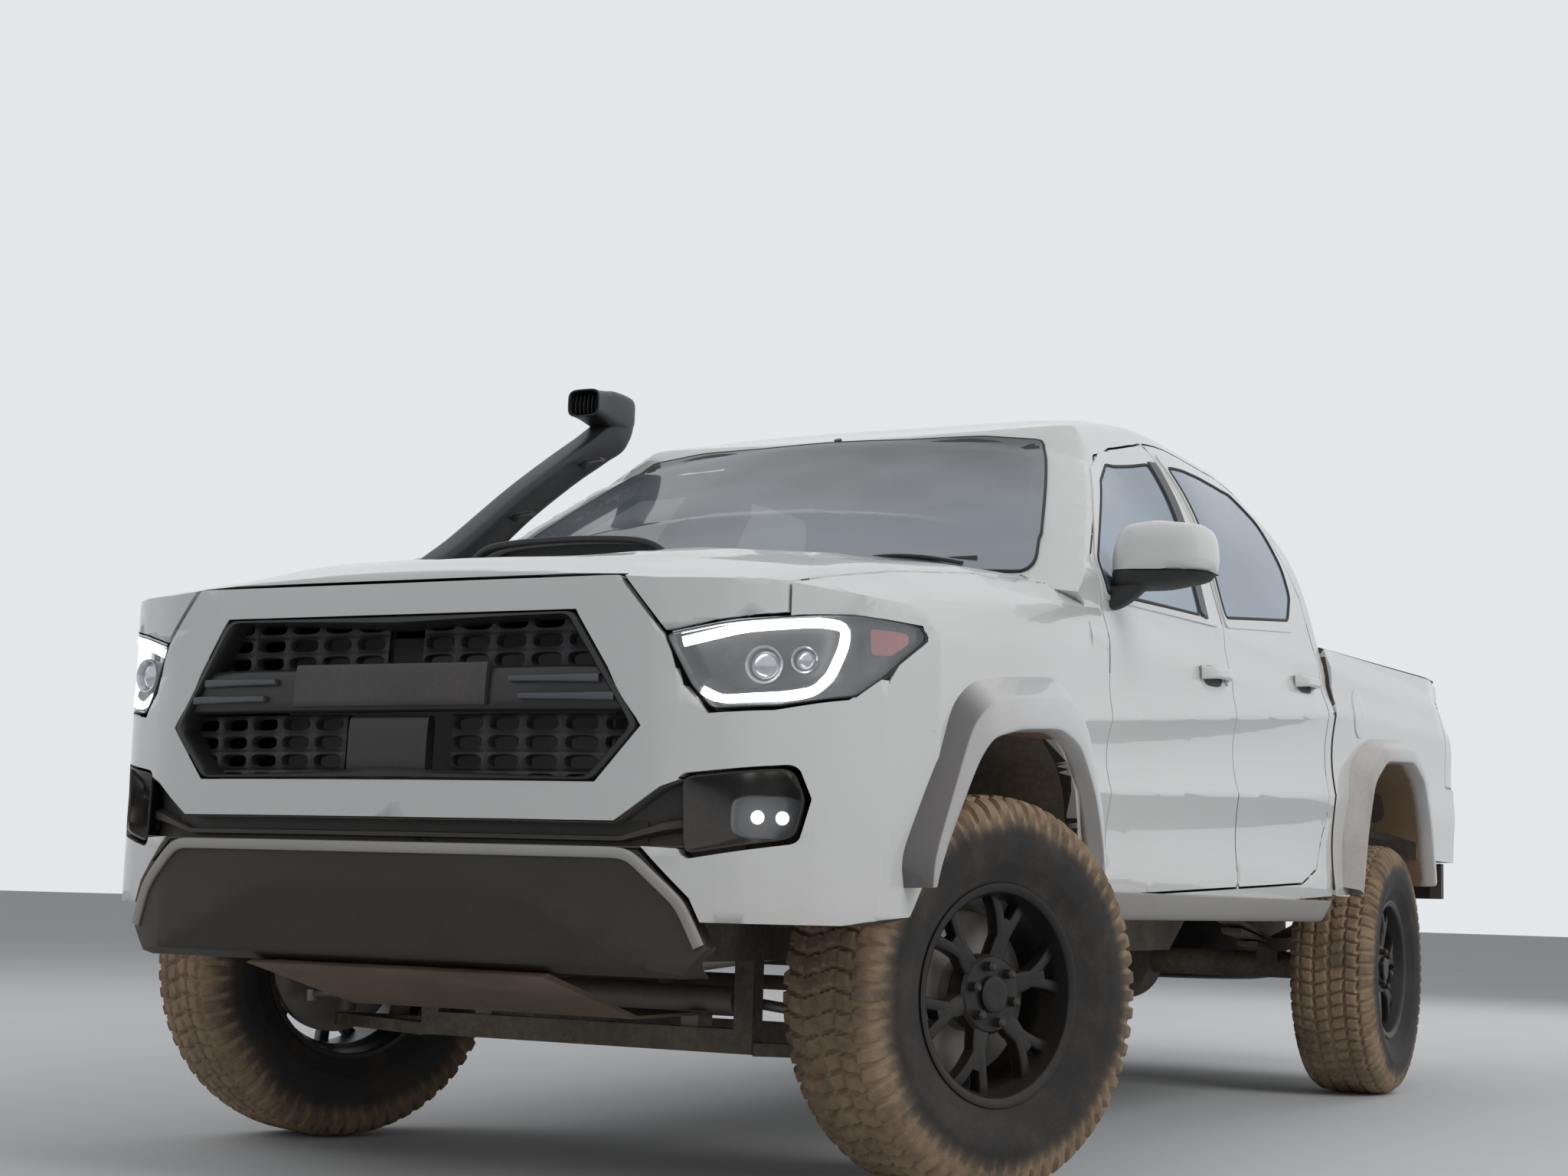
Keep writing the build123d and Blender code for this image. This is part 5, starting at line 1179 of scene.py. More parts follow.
@dataclass
class Panels:
    """Body panels, doors and glass: CAD copies cut into a grid and pressed to form.

    Attributes:
        form: the body's form.
        step: grid pitch along y and z.
        skin: depth in metres that still counts as the outside.
        doors: CAD doors, each its own body.
        screen_lines: left halves of the windscreen's edge and of its black border's inner line, x and z.
        flare_lines: outer and inner line of the front and of the rear arch moulding, y from the axle and z.
    """

    form: BodyForm
    step: float = 0.030
    skin: float = 0.013
    doors: tuple = ("door_front_left", "door_front_right", "door_rear_left", "door_rear_right")
    screen_lines: tuple = mm(
        (
            (0, 1297), (400, 1295), (735, 1291), (744, 1318), (718, 1389), (586, 1677), (550, 1745),
            (400, 1763), (0, 1768),
        ),
        (
            (0, 1318), (400, 1316), (680, 1314), (698, 1335), (668, 1410), (562, 1670), (494, 1728),
            (300, 1746), (0, 1751),
        ),
    )
    flare_lines: tuple = mm(
        (
            (
                (-500, 590), (-514, 640), (-418, 829), (-355, 945), (-263, 994), (-114, 1016), (225, 1048),
                (335, 990), (430, 800), (462, 575),
            ),
            (
                (-484, 594), (-463, 634), (-350, 765), (-291, 830), (-220, 879), (-67, 906), (150, 922),
                (270, 895), (362, 800), (411, 700), (440, 560),
            ),
        ),
        (
            (
                (-560, 640), (-535, 850), (-440, 1030), (-230, 1105), (240, 1135), (450, 1065), (550, 880),
                (590, 690),
            ),
            (
                (-505, 620), (-440, 800), (-345, 960), (-180, 1035), (200, 1055), (360, 1000), (460, 850),
                (520, 660),
            ),
        ),
    )

    def build(self) -> None:
        """Builds every pressed panel."""
        for node, body in (("front_fenders", "chassis"), ("bumper_cover", "chassis"), ("hood", "hood")):
            self.press(node, body, Look.PAINT, Look.PLASTIC, across=0.06)
        self.press("valance", "chassis", Look.VALANCE, None, across=0.04)
        self.press("cab_shell", "chassis", Look.PAINT, Look.CABIN, across=0.06)
        self.press("cargo_bed", "chassis", Look.PAINT, Look.BED, across=0.0)
        for door in self.doors:
            self.press(door, door, Look.PAINT, Look.CABIN, across=0.0)
        self.press("rear_window", "chassis", Look.GLASS, None, across=0.0, step=0.045)
        self.screen()
        for axle, word in ((AXLE_FRONT, "front"), (AXLE_REAR, "rear")):
            for side in Side:
                nodes = ["fender_flares"] if axle == AXLE_FRONT and side is Side.LEFT else ()
                shape = self.flare(axle).on(side)
                put(f"flare_{word}_{side.word}", shape, Look.FLARE, "body_paint", replaces=nodes, sharp=40)

    def on_screen(self, flat: Array, lift: float) -> Array:
        """Points of x and z laid on the finished windscreen, lifted along its normal.

        The flat screen leans back from its foot and bows back with the square of x.
        """
        x, z = flat[..., 0], flat[..., 1]
        back = (SCREEN_LEAN[1] * (z - SCREEN_FOOT[1]) + x * x / SCREEN_BOW) / SCREEN_LEAN[0]
        points = xyz(x, SCREEN_FOOT[0] + back, z).reshape(-1, 3)
        moved = points + self.form.shift(points) + lift * np.array([0.0, -SCREEN_LEAN[1], SCREEN_LEAN[0]])
        return moved.reshape(*flat.shape[:-1], 3)

    def screen(self) -> None:
        """Windscreen: glass laid over the pillars' edges on a black ceramic border."""
        edge, inner = (self.both_halves(half) for half in self.screen_lines)
        glass = patch(edge, lambda flat: self.on_screen(flat, 0.0052), 22, (0.0, 1.53), 0.01)
        layers = ((edge, 0.0042), (inner, 0.0040), (inner, -0.006))
        band = surface(np.stack([self.on_screen(line, lift) for line, lift in layers]), round_v=True)
        put("screen_glass", glass, Look.SCREEN, "window_glass", replaces=["windscreen"], sharp=60)
        put("screen_border", band, Look.SEAL, "black_plastic", sharp=60)
        put("screen_edge", bead(self.on_screen(edge, 0.0020), 0.0042), Look.SEAL, "black_plastic")

    @staticmethod
    def both_halves(half: Sequence[tuple[float, float]]) -> Array:
        """Closed outline from its left half, from the lower middle round to the upper middle."""
        return softened(np.vstack([half, flipped_x(half[-2:0:-1])]), 240, 0.010)

    def flare(self, axle: float) -> Shape:
        """Wheel arch moulding of the left side.

        Rows run from the outer line to the arch's edge: a facet rises from the body's side, a
        steep face runs on to the edge, and a lip turns in behind it. "shade" marks painted shade
        on the front arch's leading facet and "dirt" the dusty parts.

        Args:
            axle: the wheel's y.

        Returns:
            The open moulding.
        """
        front = axle == AXLE_FRONT
        outer, inner = self.flare_lines[0 if front else 1]
        count = 170
        at_axle = np.array([axle, 0.0])
        far, near = (softened(line, count, 0.030, closed=False) + at_axle for line in (outer, inner))
        base = np.interp(far[:, 0], [p[1] for p in self.form.plan], [p[0] for p in self.form.plan])
        base = np.minimum(base, 0.890) - 0.012
        full = 0.928 if front else 0.940
        rows = []
        for share, turn in (
            (-0.01, -0.1), (0.0, 0.0), (0.04, 0.22), (0.20, 0.56), (0.38, 0.86), (0.43, 0.925),
            (0.48, 0.95), (0.70, 0.985), (0.93, 1.0), (0.975, 0.975), (1.0, 0.88),
        ):
            line = far + share * (near - far)
            rows.append(xyz(base + (full - base) * turn, line[:, 0], line[:, 1]))
        hub = np.array([axle, HUB_Z])
        away = (near - hub) / np.linalg.norm(near - hub, axis=1, keepdims=True)
        returns = mm((-5, 885), (-3, 840), (0, 790), (2, 740), (6, 690), (12, 630))
        for grow, x in ((-0.004, full - 0.030), *returns):
            line = near + grow * away
            rows.append(xyz(x, line[:, 0], line[:, 1]))
        t = np.linspace(0, 1, count)
        # painted shade on the front arch's leading facet: full on its outer rows, 0.3 on the rest
        leading_shade = (1 - ease(t, 0.26, 0.36)) if front else np.zeros(count)
        dusty = 0.35 * (1 - ease(t, 0.3, 0.6)) if front else 1 - 0.8 * ease(t, 0.15, 0.62)
        shade = np.stack([leading_shade * (1.0 if row < 6 else 0.30) for row in range(len(rows))])
        dirt = [np.full(count, 2.2) if row > 11 else dusty * (0.55 + 0.05 * row) for row in range(len(rows))]
        shape = surface(np.stack(rows)).flipped()
        return Shape(shape.points, shape.faces, {"shade": shade.ravel(), "dirt": np.ravel(dirt)})

    def cut(self, mesh: Any, step: float, across: float) -> None:
        """Cuts a merged mesh along planes of y, z and, for a top, x, and along the side creases."""
        work = bmesh.new()
        work.from_mesh(mesh)
        bmesh.ops.remove_doubles(work, verts=work.verts, dist=2e-5)

        def divide(place: Any, normal: Any) -> None:
            """Divides every face that the plane through a place meets."""
            geometry = work.verts[:] + work.edges[:] + work.faces[:]
            bmesh.ops.bisect_plane(work, geom=geometry, dist=1e-5, plane_co=place, plane_no=normal)

        low = np.min([v.co for v in work.verts], axis=0)
        high = np.max([v.co for v in work.verts], axis=0)
        for axis, pitch in ((0, across), (1, step), (2, step)):
            if pitch:
                normal = np.eye(3)[axis]
                for at in np.arange(math.ceil(low[axis] / pitch) * pitch, high[axis], pitch):
                    divide(normal * at, normal)
        for start, slope in ((self.form.lower, self.form.rise[1]), (self.form.upper, self.form.rise[0])):
            for off in (-0.010, 0.0, 0.010):
                divide((0, -1.14, start + off), (0, -slope, 1))
        work.to_mesh(mesh)
        work.free()

    def press(
        self, node: str, body: str, look: Look, inner: Look | None, across: float, step: float | None = None
    ) -> Any:
        """Copies a CAD node, cuts it, moves its points and dresses it.

        Args:
            node: CAD node that the panel stands for.
            body: body that it rides on.
            look: finish of the outside.
            inner: finish of all else, or None for one finish.
            across: pitch along x, or 0.
            step: pitch along y and z, or the class's own.

        Returns:
            The panel.
        """
        mesh = bpy.data.objects[node].data.copy()
        mesh.name = f"{node}_pressed"
        self.cut(mesh, step or self.step, across)
        points = read(mesh.vertices, "co")
        deep = self.form.depth(read(mesh.polygons, "center"))
        mesh.vertices.foreach_set("co", (points + self.form.shift(points)).astype(np.float32).ravel())
        mesh.materials.clear()
        mesh.materials.append(look.material)
        if inner:
            mesh.materials.append(inner.material)
            mesh.polygons.foreach_set("material_index", (deep > self.skin).astype(np.int32))
        smooth(mesh, 30)
        mesh.update()
        piece = placed(f"{node}_pressed", mesh)
        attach(piece, body)
        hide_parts(node)
        log.info("%s: %d faces", piece.name, len(mesh.polygons))
        return piece


# Wheels


@dataclass
class Wheel:
    """One wheel: treaded tyre and six-spoke rim.

    Attributes:
        side: the truck's side.
        front: whether it is steered.
        half: tyre half-width.
        radius: outer radius.
        blocks: tread blocks around.
        lug: tread depth.
        carcass: half of the tyre's outline without its tread, place across and radius.
    """

    side: Side
    front: bool
    half: float = 0.132
    radius: float = 0.390
    blocks: int = 62
    lug: float = 0.011
    carcass: tuple = mm(
        (-90, 204), (-100, 214), (-104, 228), (-122, 256), (-131.5, 292), (-129, 330), (-118, 360),
        (-103, 377.5), (-70, 383.5), (0, 384.5),
    )

    @property
    def place(self) -> str:
        """Word pair used in node names."""
        return f"{'front' if self.front else 'rear'}_{self.side.word}"

    @property
    def transform(self) -> Array:
        """Wheel frame: +x out along the axle, z up, from the wheel's centre."""
        s = self.side.value
        turn = STEER_REST if self.front else 0.0
        out = np.array([s * math.cos(turn), s * math.sin(turn), 0.0])
        middle = np.array([s * KINGPIN_X, AXLE_FRONT, HUB_Z]) + HUB_OUT * out
        return frame_at(middle if self.front else (s * 0.80, AXLE_REAR, HUB_Z), out)

    def build(self) -> None:
        """Builds tyre, rim, nuts and brake disc."""
        place = self.place
        for name, shape, look, slot, nodes, sharp in (
            (f"tyre_{place}_tread", self.tyre(), Look.TREAD, "tyre_rubber", [f"tyre_{place}"], 38),
            (f"rim_{place}_spokes", self.rim(), Look.ALLOY, "wheel_alloy", [f"rim_{place}"], 35),
            (f"nuts_{place}", self.nuts(), Look.SATIN, "steel", (), 30),
            (f"disc_{place}", self.disc(), Look.STEEL, "steel", (), 40),
        ):
            put(name, shape.moved(self.transform), look, slot, f"wheel_{place}", nodes, sharp)

    def tread(self, turn: Array, across: Array) -> Array:
        """Tread height from 0 to 1.

        Two rows of slanted middle blocks and a row of stepped shoulder lugs on each side, with
        zigzag grooves between: each block is a smooth box in the angle, slanted by the place
        across, times a smooth box across.
        """
        s = np.abs(across) / self.half
        phase = turn * self.blocks / (2 * np.pi)
        wave = 0.16 * np.sign(across) * np.sin(2 * np.pi * phase)

        def row(low: float, high: float, slant: float, start: float, fill: float) -> Array:
            """One row of blocks between two shares of the half-width."""
            t = (phase + slant * s * np.sign(across) + start) % 1.0
            run = ease(t, 0.0, 0.07) * (1 - ease(t, fill, fill + 0.07))
            place = s + 0.12 * wave
            return run * ease(place, low, low + 0.025) * (1 - ease(place, high - 0.025, high))

        middle = row(0.035, 0.33, 0.9, 0.0, 0.80)
        second = row(0.37, 0.64, -0.7, 0.5, 0.80)
        shoulder = row(0.68, 1.20, 0.25, 0.2, 0.66)
        return np.maximum(np.maximum(middle, second), shoulder)

    def tyre(self) -> Shape:
        """Carcass turned about the axle and raised by the tread.

        The profile is the carcass table, smoothed and mirrored. Radius grows by the tread
        height times the lug depth, full on the crown and fading down the shoulder.
        """
        crown = np.vstack([self.carcass, flipped_x(self.carcass[-2::-1])])
        line = softened(crown, 116, 0.008, closed=False)
        turn = full_turn(576)
        u = np.broadcast_to(line[:, :1], (len(line), len(turn)))
        r = np.broadcast_to(line[:, 1:], u.shape)
        height = self.tread(np.broadcast_to(turn, u.shape), u)
        crownness = ease(r, 0.335, 0.350)
        grown = r + (self.radius - 0.3845) * crownness * height
        grown = grown - (self.lug - 0.0055) * crownness * (1 - height)
        band = 0.0012 * (ease(r, 0.252, 0.255) - ease(r, 0.300, 0.303))
        side_lug = 0.0035 * ease(r, 0.338, 0.342) * (1 - ease(r, 0.362, 0.372)) * height
        u = u + np.sign(u) * (band + side_lug) * (np.abs(u) > 0.09)
        u = np.clip(u, -self.half, self.half)
        points = xyz(u, grown * np.cos(turn), grown * np.sin(turn))
        inner = mm((90, 204), (80, 226), (100, 262), (108, 300), (98, 348), (0, 366))
        hollow = resample(np.vstack([inner, flipped_x(inner[-2::-1])]), 20)[1:-1]
        back = xyz(hollow[:, :1], hollow[:, 1:] * np.cos(turn), hollow[:, 1:] * np.sin(turn))
        shape = surface(np.vstack([points, back]), round_u=True, round_v=True).outward()
        unmarked = np.zeros(back.shape[0] * back.shape[1])
        high = np.concatenate([height.ravel(), unmarked])
        out = np.concatenate([((r - 0.204) / 0.186).ravel(), unmarked])
        return Shape(shape.points, shape.faces, {"high": high, "out": out})

    def rim(self) -> Shape:
        """Barrel turned from a profile, and six spokes that fork near the rim."""
        barrel = mm(
            (-104, 217), (-99, 217), (-94, 203), (-66, 202), (-40, 192), (50, 192), (88, 203), (98, 203.5),
            (100.5, 217), (104.5, 216.5), (104.5, 207), (100, 198), (60, 187), (-44, 186), (-70, 196),
            (-104, 205),
        )
        hub = mm((30, 0), (30, 72), (40, 78), (70, 78), (77, 72), (79, 50), (79, 0))
        cap = mm((70, 0), (70, 36), (88, 36), (90.5, 33), (91.5, 27), (89.5, 0))
        shapes = [lathe(softened(barrel, 130, 0.0014), 96, closed=True), lathe(hub, 48), lathe(cap, 40)]
        for k in range(6):
            shapes += [self.spoke(2 * np.pi * k / 6 + BOLT_TURN, fork) for fork in (0, -1, 1)]
        return joined(shapes)

    def spoke(self, angle: float, fork: int) -> Shape:
        """Stem of a spoke, or one prong of its fork.

        The path runs out from the hub at the given angle; a prong starts at mid radius and
        swings sideways by fork times a rising parabola. The face bows in towards the rim.

        Args:
            angle: the spoke's angle.
            fork: 0 for the stem, -1 or 1 for a prong.

        Returns:
            The closed arm.
        """
        if fork:
            r = np.linspace(0.112, 0.199, 12)
            swing = fork * (0.004 + 0.040 * ((r - 0.112) / 0.087) ** 1.15)
            wide = np.interp(r, [0.112, 0.150, 0.199], [0.013, 0.0115, 0.0135])
        else:
            r = np.linspace(0.050, 0.150, 12)
            swing = np.zeros(12)
            wide = np.interp(r, [0.05, 0.10, 0.150], [0.024, 0.021, 0.011])
        face = 0.070 + 0.010 * np.sin(np.pi * np.clip((r - 0.05) / 0.17, 0, 1)) - 0.004 * ease(r, 0.17, 0.2)
        cos, sin = np.cos(angle), np.sin(angle)
        path = xyz(face - 0.016, r * cos - swing * sin, r * sin + swing * cos)
        return tube(path, wide, 0.016, 5.0, up=(1, 0, 0))

    def nuts(self) -> Shape:
        """Six wheel nuts on the bolt circle: short hexagonal domes."""
        nut = lathe(mm((78, 0), (78, 10.5), (94, 10.5), (98.5, 6), (98.5, 0)), 6)
        angles = [2 * np.pi * (k + 0.5) / 6 + BOLT_TURN for k in range(6)]
        places = [np.array([0, 0.056 * math.cos(a), 0.056 * math.sin(a)]) for a in angles]
        return joined(Shape(nut.points + place, nut.faces) for place in places)

    def disc(self) -> Shape:
        """Brake disc and its hat, turned as one ring with a vent groove round the edge."""
        hat = mm(
            (29, 36), (29, 73), (26, 74), (4, 76), (4, 158), (3, 160), (-5, 160), (-5, 152), (-13, 152),
            (-13, 160), (-21, 160), (-22, 158), (-22, 68), (20, 66), (22, 36),
        )
        return lathe(hat, 72, closed=True)


# Nose


@dataclass
class Headlamp(Sided):
    """One headlamp: black housing, bright light outline, projectors, reflector and clear cover.

    Attributes:
        outline: x and z of the cover, on the left side.
        light: x and z of the light outline's path, clockwise from the inner top.
    """

    outline: tuple = mm(
        (563, 1017), (640, 1037), (765, 1061), (822, 1070), (877, 1066), (881, 1043), (849, 966), (822, 927),
        (731, 901), (639, 891), (606, 931),
    )
    light: tuple = mm(
        (585, 1006), (680, 1034), (775, 1052), (808, 1050), (806, 1012), (792, 955), (772, 927), (735, 916),
        (650, 905), (618, 922),
    )

    def panel(self, edge: Array, inset: float, rings: int) -> Shape:
        """Panel inside an x and z outline, laid behind the skin."""
        return patch(edge, lambda flat: self.form.on_nose(flat, inset), rings)

    def strip(self, path: Any, inset: float, wide: float) -> Shape:
        """Thin bar along x and z points, laid behind the skin."""
        line = self.form.on_nose(softened(path, 60, 0.010, closed=False), inset)
        return tube(line, wide, wide, 3.0, up=(0, -1, 0.2), sides=10)

    def build(self) -> None:
        """Builds the lamp's pieces."""
        edge = softened(self.outline, 96, 0.006)
        wall = surface(np.stack([self.form.on_nose(edge, inset) for inset in (0.002, 0.070)]), round_v=True)
        housing = self.panel(edge, 0.070, 10) + wall
        nodes = self.first("headlamps")
        self.add("lamp_housing", housing, Look.SATIN, "gloss_black", replaces=nodes, wall=0.002)
        self.add("lamp_cover", self.panel(edge, 0.0015, 16), Look.LENS, "lamp_clear", wall=0.002)
        self.add("lamp_light", self.strip(self.light, 0.012, 0.0085), Look.LED, "lamp_clear")
        upper = self.strip(mm((570, 1020), (660, 1043), (780, 1062)), 0.008, 0.004)
        lower = self.strip(mm((615, 925), (650, 899), (735, 905)), 0.010, 0.004)
        self.add("lamp_trim", upper + lower, Look.CHROME, "lamp_clear")
        self.add("lamp_projector", self.projector(), Look.CHROME, "lamp_clear")
        self.add("lamp_reflector", self.reflector(), Look.MARKER, "lamp_red")
        self.add("lamp_bezel", self.bezel(), Look.PLASTIC, "black_plastic", wall=0.003, bevel=0.001)

    def projector(self) -> Shape:
        """Two projectors, each a turned ring and a domed glass, facing forwards."""
        shapes = []
        turn = np.linspace(0, np.pi / 2, 9)
        profile = (
            (0.0, 1.0), (0.010, 1.12), (0.014, 1.10), (0.012, 0.95), (0.0, 0.9), (-0.02, 0.86), (-0.02, 1.0),
        )
        for x, z, size in mm((700, 972, 31), (752, 985, 22)):
            ring = lathe([(u, size * share) for u, share in profile], 40, closed=True)
            dome = lathe(np.stack([0.014 * np.cos(turn) - 0.004, size * 0.88 * np.sin(turn)], axis=1), 40)
            place = self.form.on_nose(np.array([x, z]), 0.044)
            shapes.append((ring + dome).moved(frame_at(place, (0.25, -1, 0))))
        return joined(shapes)

    def reflector(self) -> Shape:
        """Red side reflector behind the cover's outer corner, with fine upright flutes."""
        edge = softened(mm((832, 1050), (866, 1050), (866, 1030), (852, 1004), (834, 1004)), 60, 0.004)
        flutes = np.array([0.0, 0.0012, 0.0])

        def fluted(flat: Array) -> Array:
            """Flat points laid behind the skin, in waves along x."""
            return self.form.on_nose(flat, 0.012) + flutes * np.sin(900 * flat[..., :1])

        return patch(edge, fluted, 12)

    def bezel(self) -> Shape:
        """Black step under the light outline, sloped back towards the bowl."""
        corners = mm((616, 940), (652, 916), (728, 924), (760, 940), (800, 972))
        top = softened(corners, 50, 0.008, closed=False)
        rows = []
        for inset, drop in mm((10, -12), (20, -4), (45, 6), (66, 10)):
            rows.append(self.form.on_nose(top, inset) + np.array([0.0, 0.0, drop]))
        return surface(np.stack(rows))


@dataclass
class Grille:
    """Grille: oval-cell mesh, frame, bar with a blank plate and painted highlight strips, and a plain sensor
    block.

    Attributes:
        form: the body's form.
        outline: x and z of the opening's left half, from the top middle.
        depth: mesh's depth behind the skin.
        pitch: cell pitch along x and z.
    """

    form: BodyForm
    outline: tuple = mm((0, 1061), (389, 1061), (520, 857), (438, 761), (0, 761))
    depth: float = 0.040
    pitch: tuple = (0.078, 0.0345)

    def half(self, z: Array) -> Array:
        """Opening's half-width at each height."""
        wide, high = zip(*self.outline[-2:0:-1])
        return np.interp(z, high, wide)

    def cells(self, columns: int, rows: int, middle: float, gap: float) -> Shape:
        """Mesh of oval cells.

        Each tile is rings from its rectangle in to an oval hole, then back through the
        thickness; a point past the opening is drawn in to its edge, where the frame hides it.

        Args:
            columns: tiles across.
            rows: tiles up.
            middle: height of the block's middle.
            gap: half-width left clear about x = 0.

        Returns:
            The mesh.
        """
        w, h = self.pitch
        across, up = (np.arange(count) - (count - 1) / 2 for count in (columns, rows))
        i, j = np.meshgrid(across, up, indexing="ij")
        cx, cz = (i * w).ravel(), (middle + j * h).ravel()
        kept = np.abs(cx) > gap
        cx, cz = cx[kept], cz[kept]
        turn = full_turn(32)
        box = np.stack([np.cos(turn), np.sin(turn)], axis=1)
        box = box / np.abs(box).max(axis=1, keepdims=True) * np.array([w / 2, h / 2])
        hole = oval(32, 3.2) * np.array([w / 2 - 0.0065, h / 2 - 0.0045])
        lip = oval(32, 3.0) * np.array([w / 2 - 0.0085, h / 2 - 0.0062])
        rings = ((box, 0.004), (hole, 0.0), (lip, 0.004), (lip, 0.020), (box, 0.022))
        flat = np.stack([ring for ring, _ in rings])
        back = np.array([inset for _, inset in rings])
        z = np.clip(cz[:, None, None] + flat[None, ..., 1], 0.764, 1.058)
        x = np.clip(cx[:, None, None] + flat[None, ..., 0], -self.half(z), self.half(z))
        points = xyz(x, self.form.skin_y(x, z) + self.depth + back[None, :, None], z)
        return joined([surface(tile, round_v=True) for tile in points])

    def loop(self, shrink: float, count: int = 220) -> Array:
        """Opening's outline shrunk towards its middle, with soft corners."""
        whole = np.vstack([self.outline, flipped_x(self.outline[-2:0:-1])])
        middle = np.array([0.0, 0.905])
        out = softened(whole, count, 0.010) - middle
        return middle + out * (1 - shrink / np.linalg.norm(out, axis=1, keepdims=True))

    def frame(self) -> Shape:
        """Frame: section carried round the outline, from the skin's edge back to the mesh."""
        section = mm((0, 4), (3, -2), (12, -3), (19, 6), (24, 46), (4, 58))
        rings = [self.form.on_nose(self.loop(shrink), inset) for shrink, inset in section]
        return surface(np.stack(rings), round_u=True, round_v=True).outward()

    def bar(
        self, low: float, high: float, half: float, inset: float, bulge: float, lean: float = 0.0
    ) -> Shape:
        """Cross bar whose face bows out between its top and bottom edges.

        Args:
            low: bottom height.
            high: top height.
            half: half-width at the middle.
            inset: depth of its edges behind the skin.
            bulge: how far the face stands out.
            lean: extra half-width at the bottom.

        Returns:
            The closed bar.
        """
        x = np.linspace(-1, 1, 60)
        sect = oval(28, 4.0)
        z = (low + high) / 2 + sect[:, 1] * (high - low) / 2
        reach = half + lean * (1 - (z - low) / (high - low))
        px, pz = np.broadcast_arrays(x[:, None] * reach[None], z)
        return closed_tube(xyz(px, self.form.skin_y(px, pz) + inset - sect[None, :, 0] * bulge, pz))

    def build(self) -> None:
        """Builds the grille's pieces."""
        mesh = self.cells(11, 3, 1.014, 0.0) + self.cells(13, 4, 0.812, 0.11)
        put("grille_mesh", mesh, Look.PLASTIC, "black_plastic", replaces=["grille"], sharp=40)
        put("grille_frame", self.frame(), Look.SATIN, "gloss_black", sharp=40)
        put("grille_bar", self.bar(0.884, 0.966, 0.470, 0.030, 0.022, 0.020), Look.SATIN, "gloss_black")
        # painted highlight: grey-blue strips on the bar, two on each side of the plate, stand in for its
        # highlight lines
        ends = []
        t = np.linspace(0, 1, 24)
        for low, high, x0, x1 in mm((930, 952, 262, 440), (898, 920, 285, 470)):
            flat = np.stack(np.broadcast_arrays(x0 + (x1 - x0) * t, (low + high) / 2), axis=1)
            ends.append(tube(self.form.on_nose(flat, 0.009), 0.012, 0.006 + 0.002 * t, 5.0, sides=16))
        both = joined(ends)
        put("grille_bar_ends", both + both.mirrored(), Look.BLUISH, "gloss_black")
        put("grille_plate", self.bar(0.893, 0.973, 0.214, 0.006, 0.008), Look.PLATE, "gloss_black", sharp=50)
        sensor = self.bar(0.768, 0.876, 0.088, 0.022, 0.012)
        put("grille_sensor", sensor, Look.SATIN, "black_plastic", sharp=50)


@dataclass
class FogLamp(Sided):
    """One fog lamp pocket with a clear cover and two bright lights.

    Attributes:
        outline: x and z of the pocket.
        middle: x and z of the lamp.
    """

    outline: tuple = mm((594, 770), (752, 792), (768, 740), (755, 668), (600, 636))
    middle: tuple = (0.700, 0.705)

    def build(self) -> None:
        """Builds the lamp and its pocket, whose outline is made to start and turn as the lamp's seat."""
        edge = softened(self.outline, 96, 0.012)
        centre = np.array(self.middle)
        seat = centre + oval(96, 3.5) * np.array([0.054, 0.040])
        edge = np.roll(edge, -np.argmin(np.linalg.norm(edge - seat[0], axis=1)), axis=0)
        turns = [np.cross(line[10] - centre, line[20] - centre) for line in (edge, seat)]
        if turns[0] * turns[1] < 0:
            edge = np.roll(edge[::-1], 1, axis=0)
        rings = []
        steps = ((0.0, 0.004), (0.03, 0.010), (0.5, 0.044), (0.96, 0.060), (1.0, 0.066), (1.0, 0.085))
        for share, inset in steps:
            rings.append(self.form.on_nose(edge * (1 - share) + seat * share, inset))
        pocket = surface(np.stack(rings), round_v=True)
        pocket = pocket + patch(seat, lambda flat: self.form.on_nose(flat, 0.085), 8)
        nodes = self.first("fog_lamps")
        self.add("fog_pocket", pocket, Look.SATIN, "black_plastic", replaces=nodes, wall=0.003)
        pane = centre + oval(96, 3.5) * np.array([0.053, 0.039])
        cover = patch(pane, lambda flat: self.form.on_nose(flat, 0.064), 10)
        self.add("fog_cover", cover, Look.LENS, "lamp_clear", wall=0.002)
        turn = np.linspace(0, np.pi, 15)
        drop = lathe(np.stack([0.007 * np.cos(turn), 0.012 * np.sin(turn)], axis=1), 24)
        places = [self.form.on_nose(centre + np.array([dx, 0.0]), 0.074) for dx in (-0.016, 0.018)]
        lights = joined(drop.moved(frame_at(place, (0.3, -1, 0))) for place in places)
        self.add("fog_lights", lights, Look.LED, "lamp_clear")


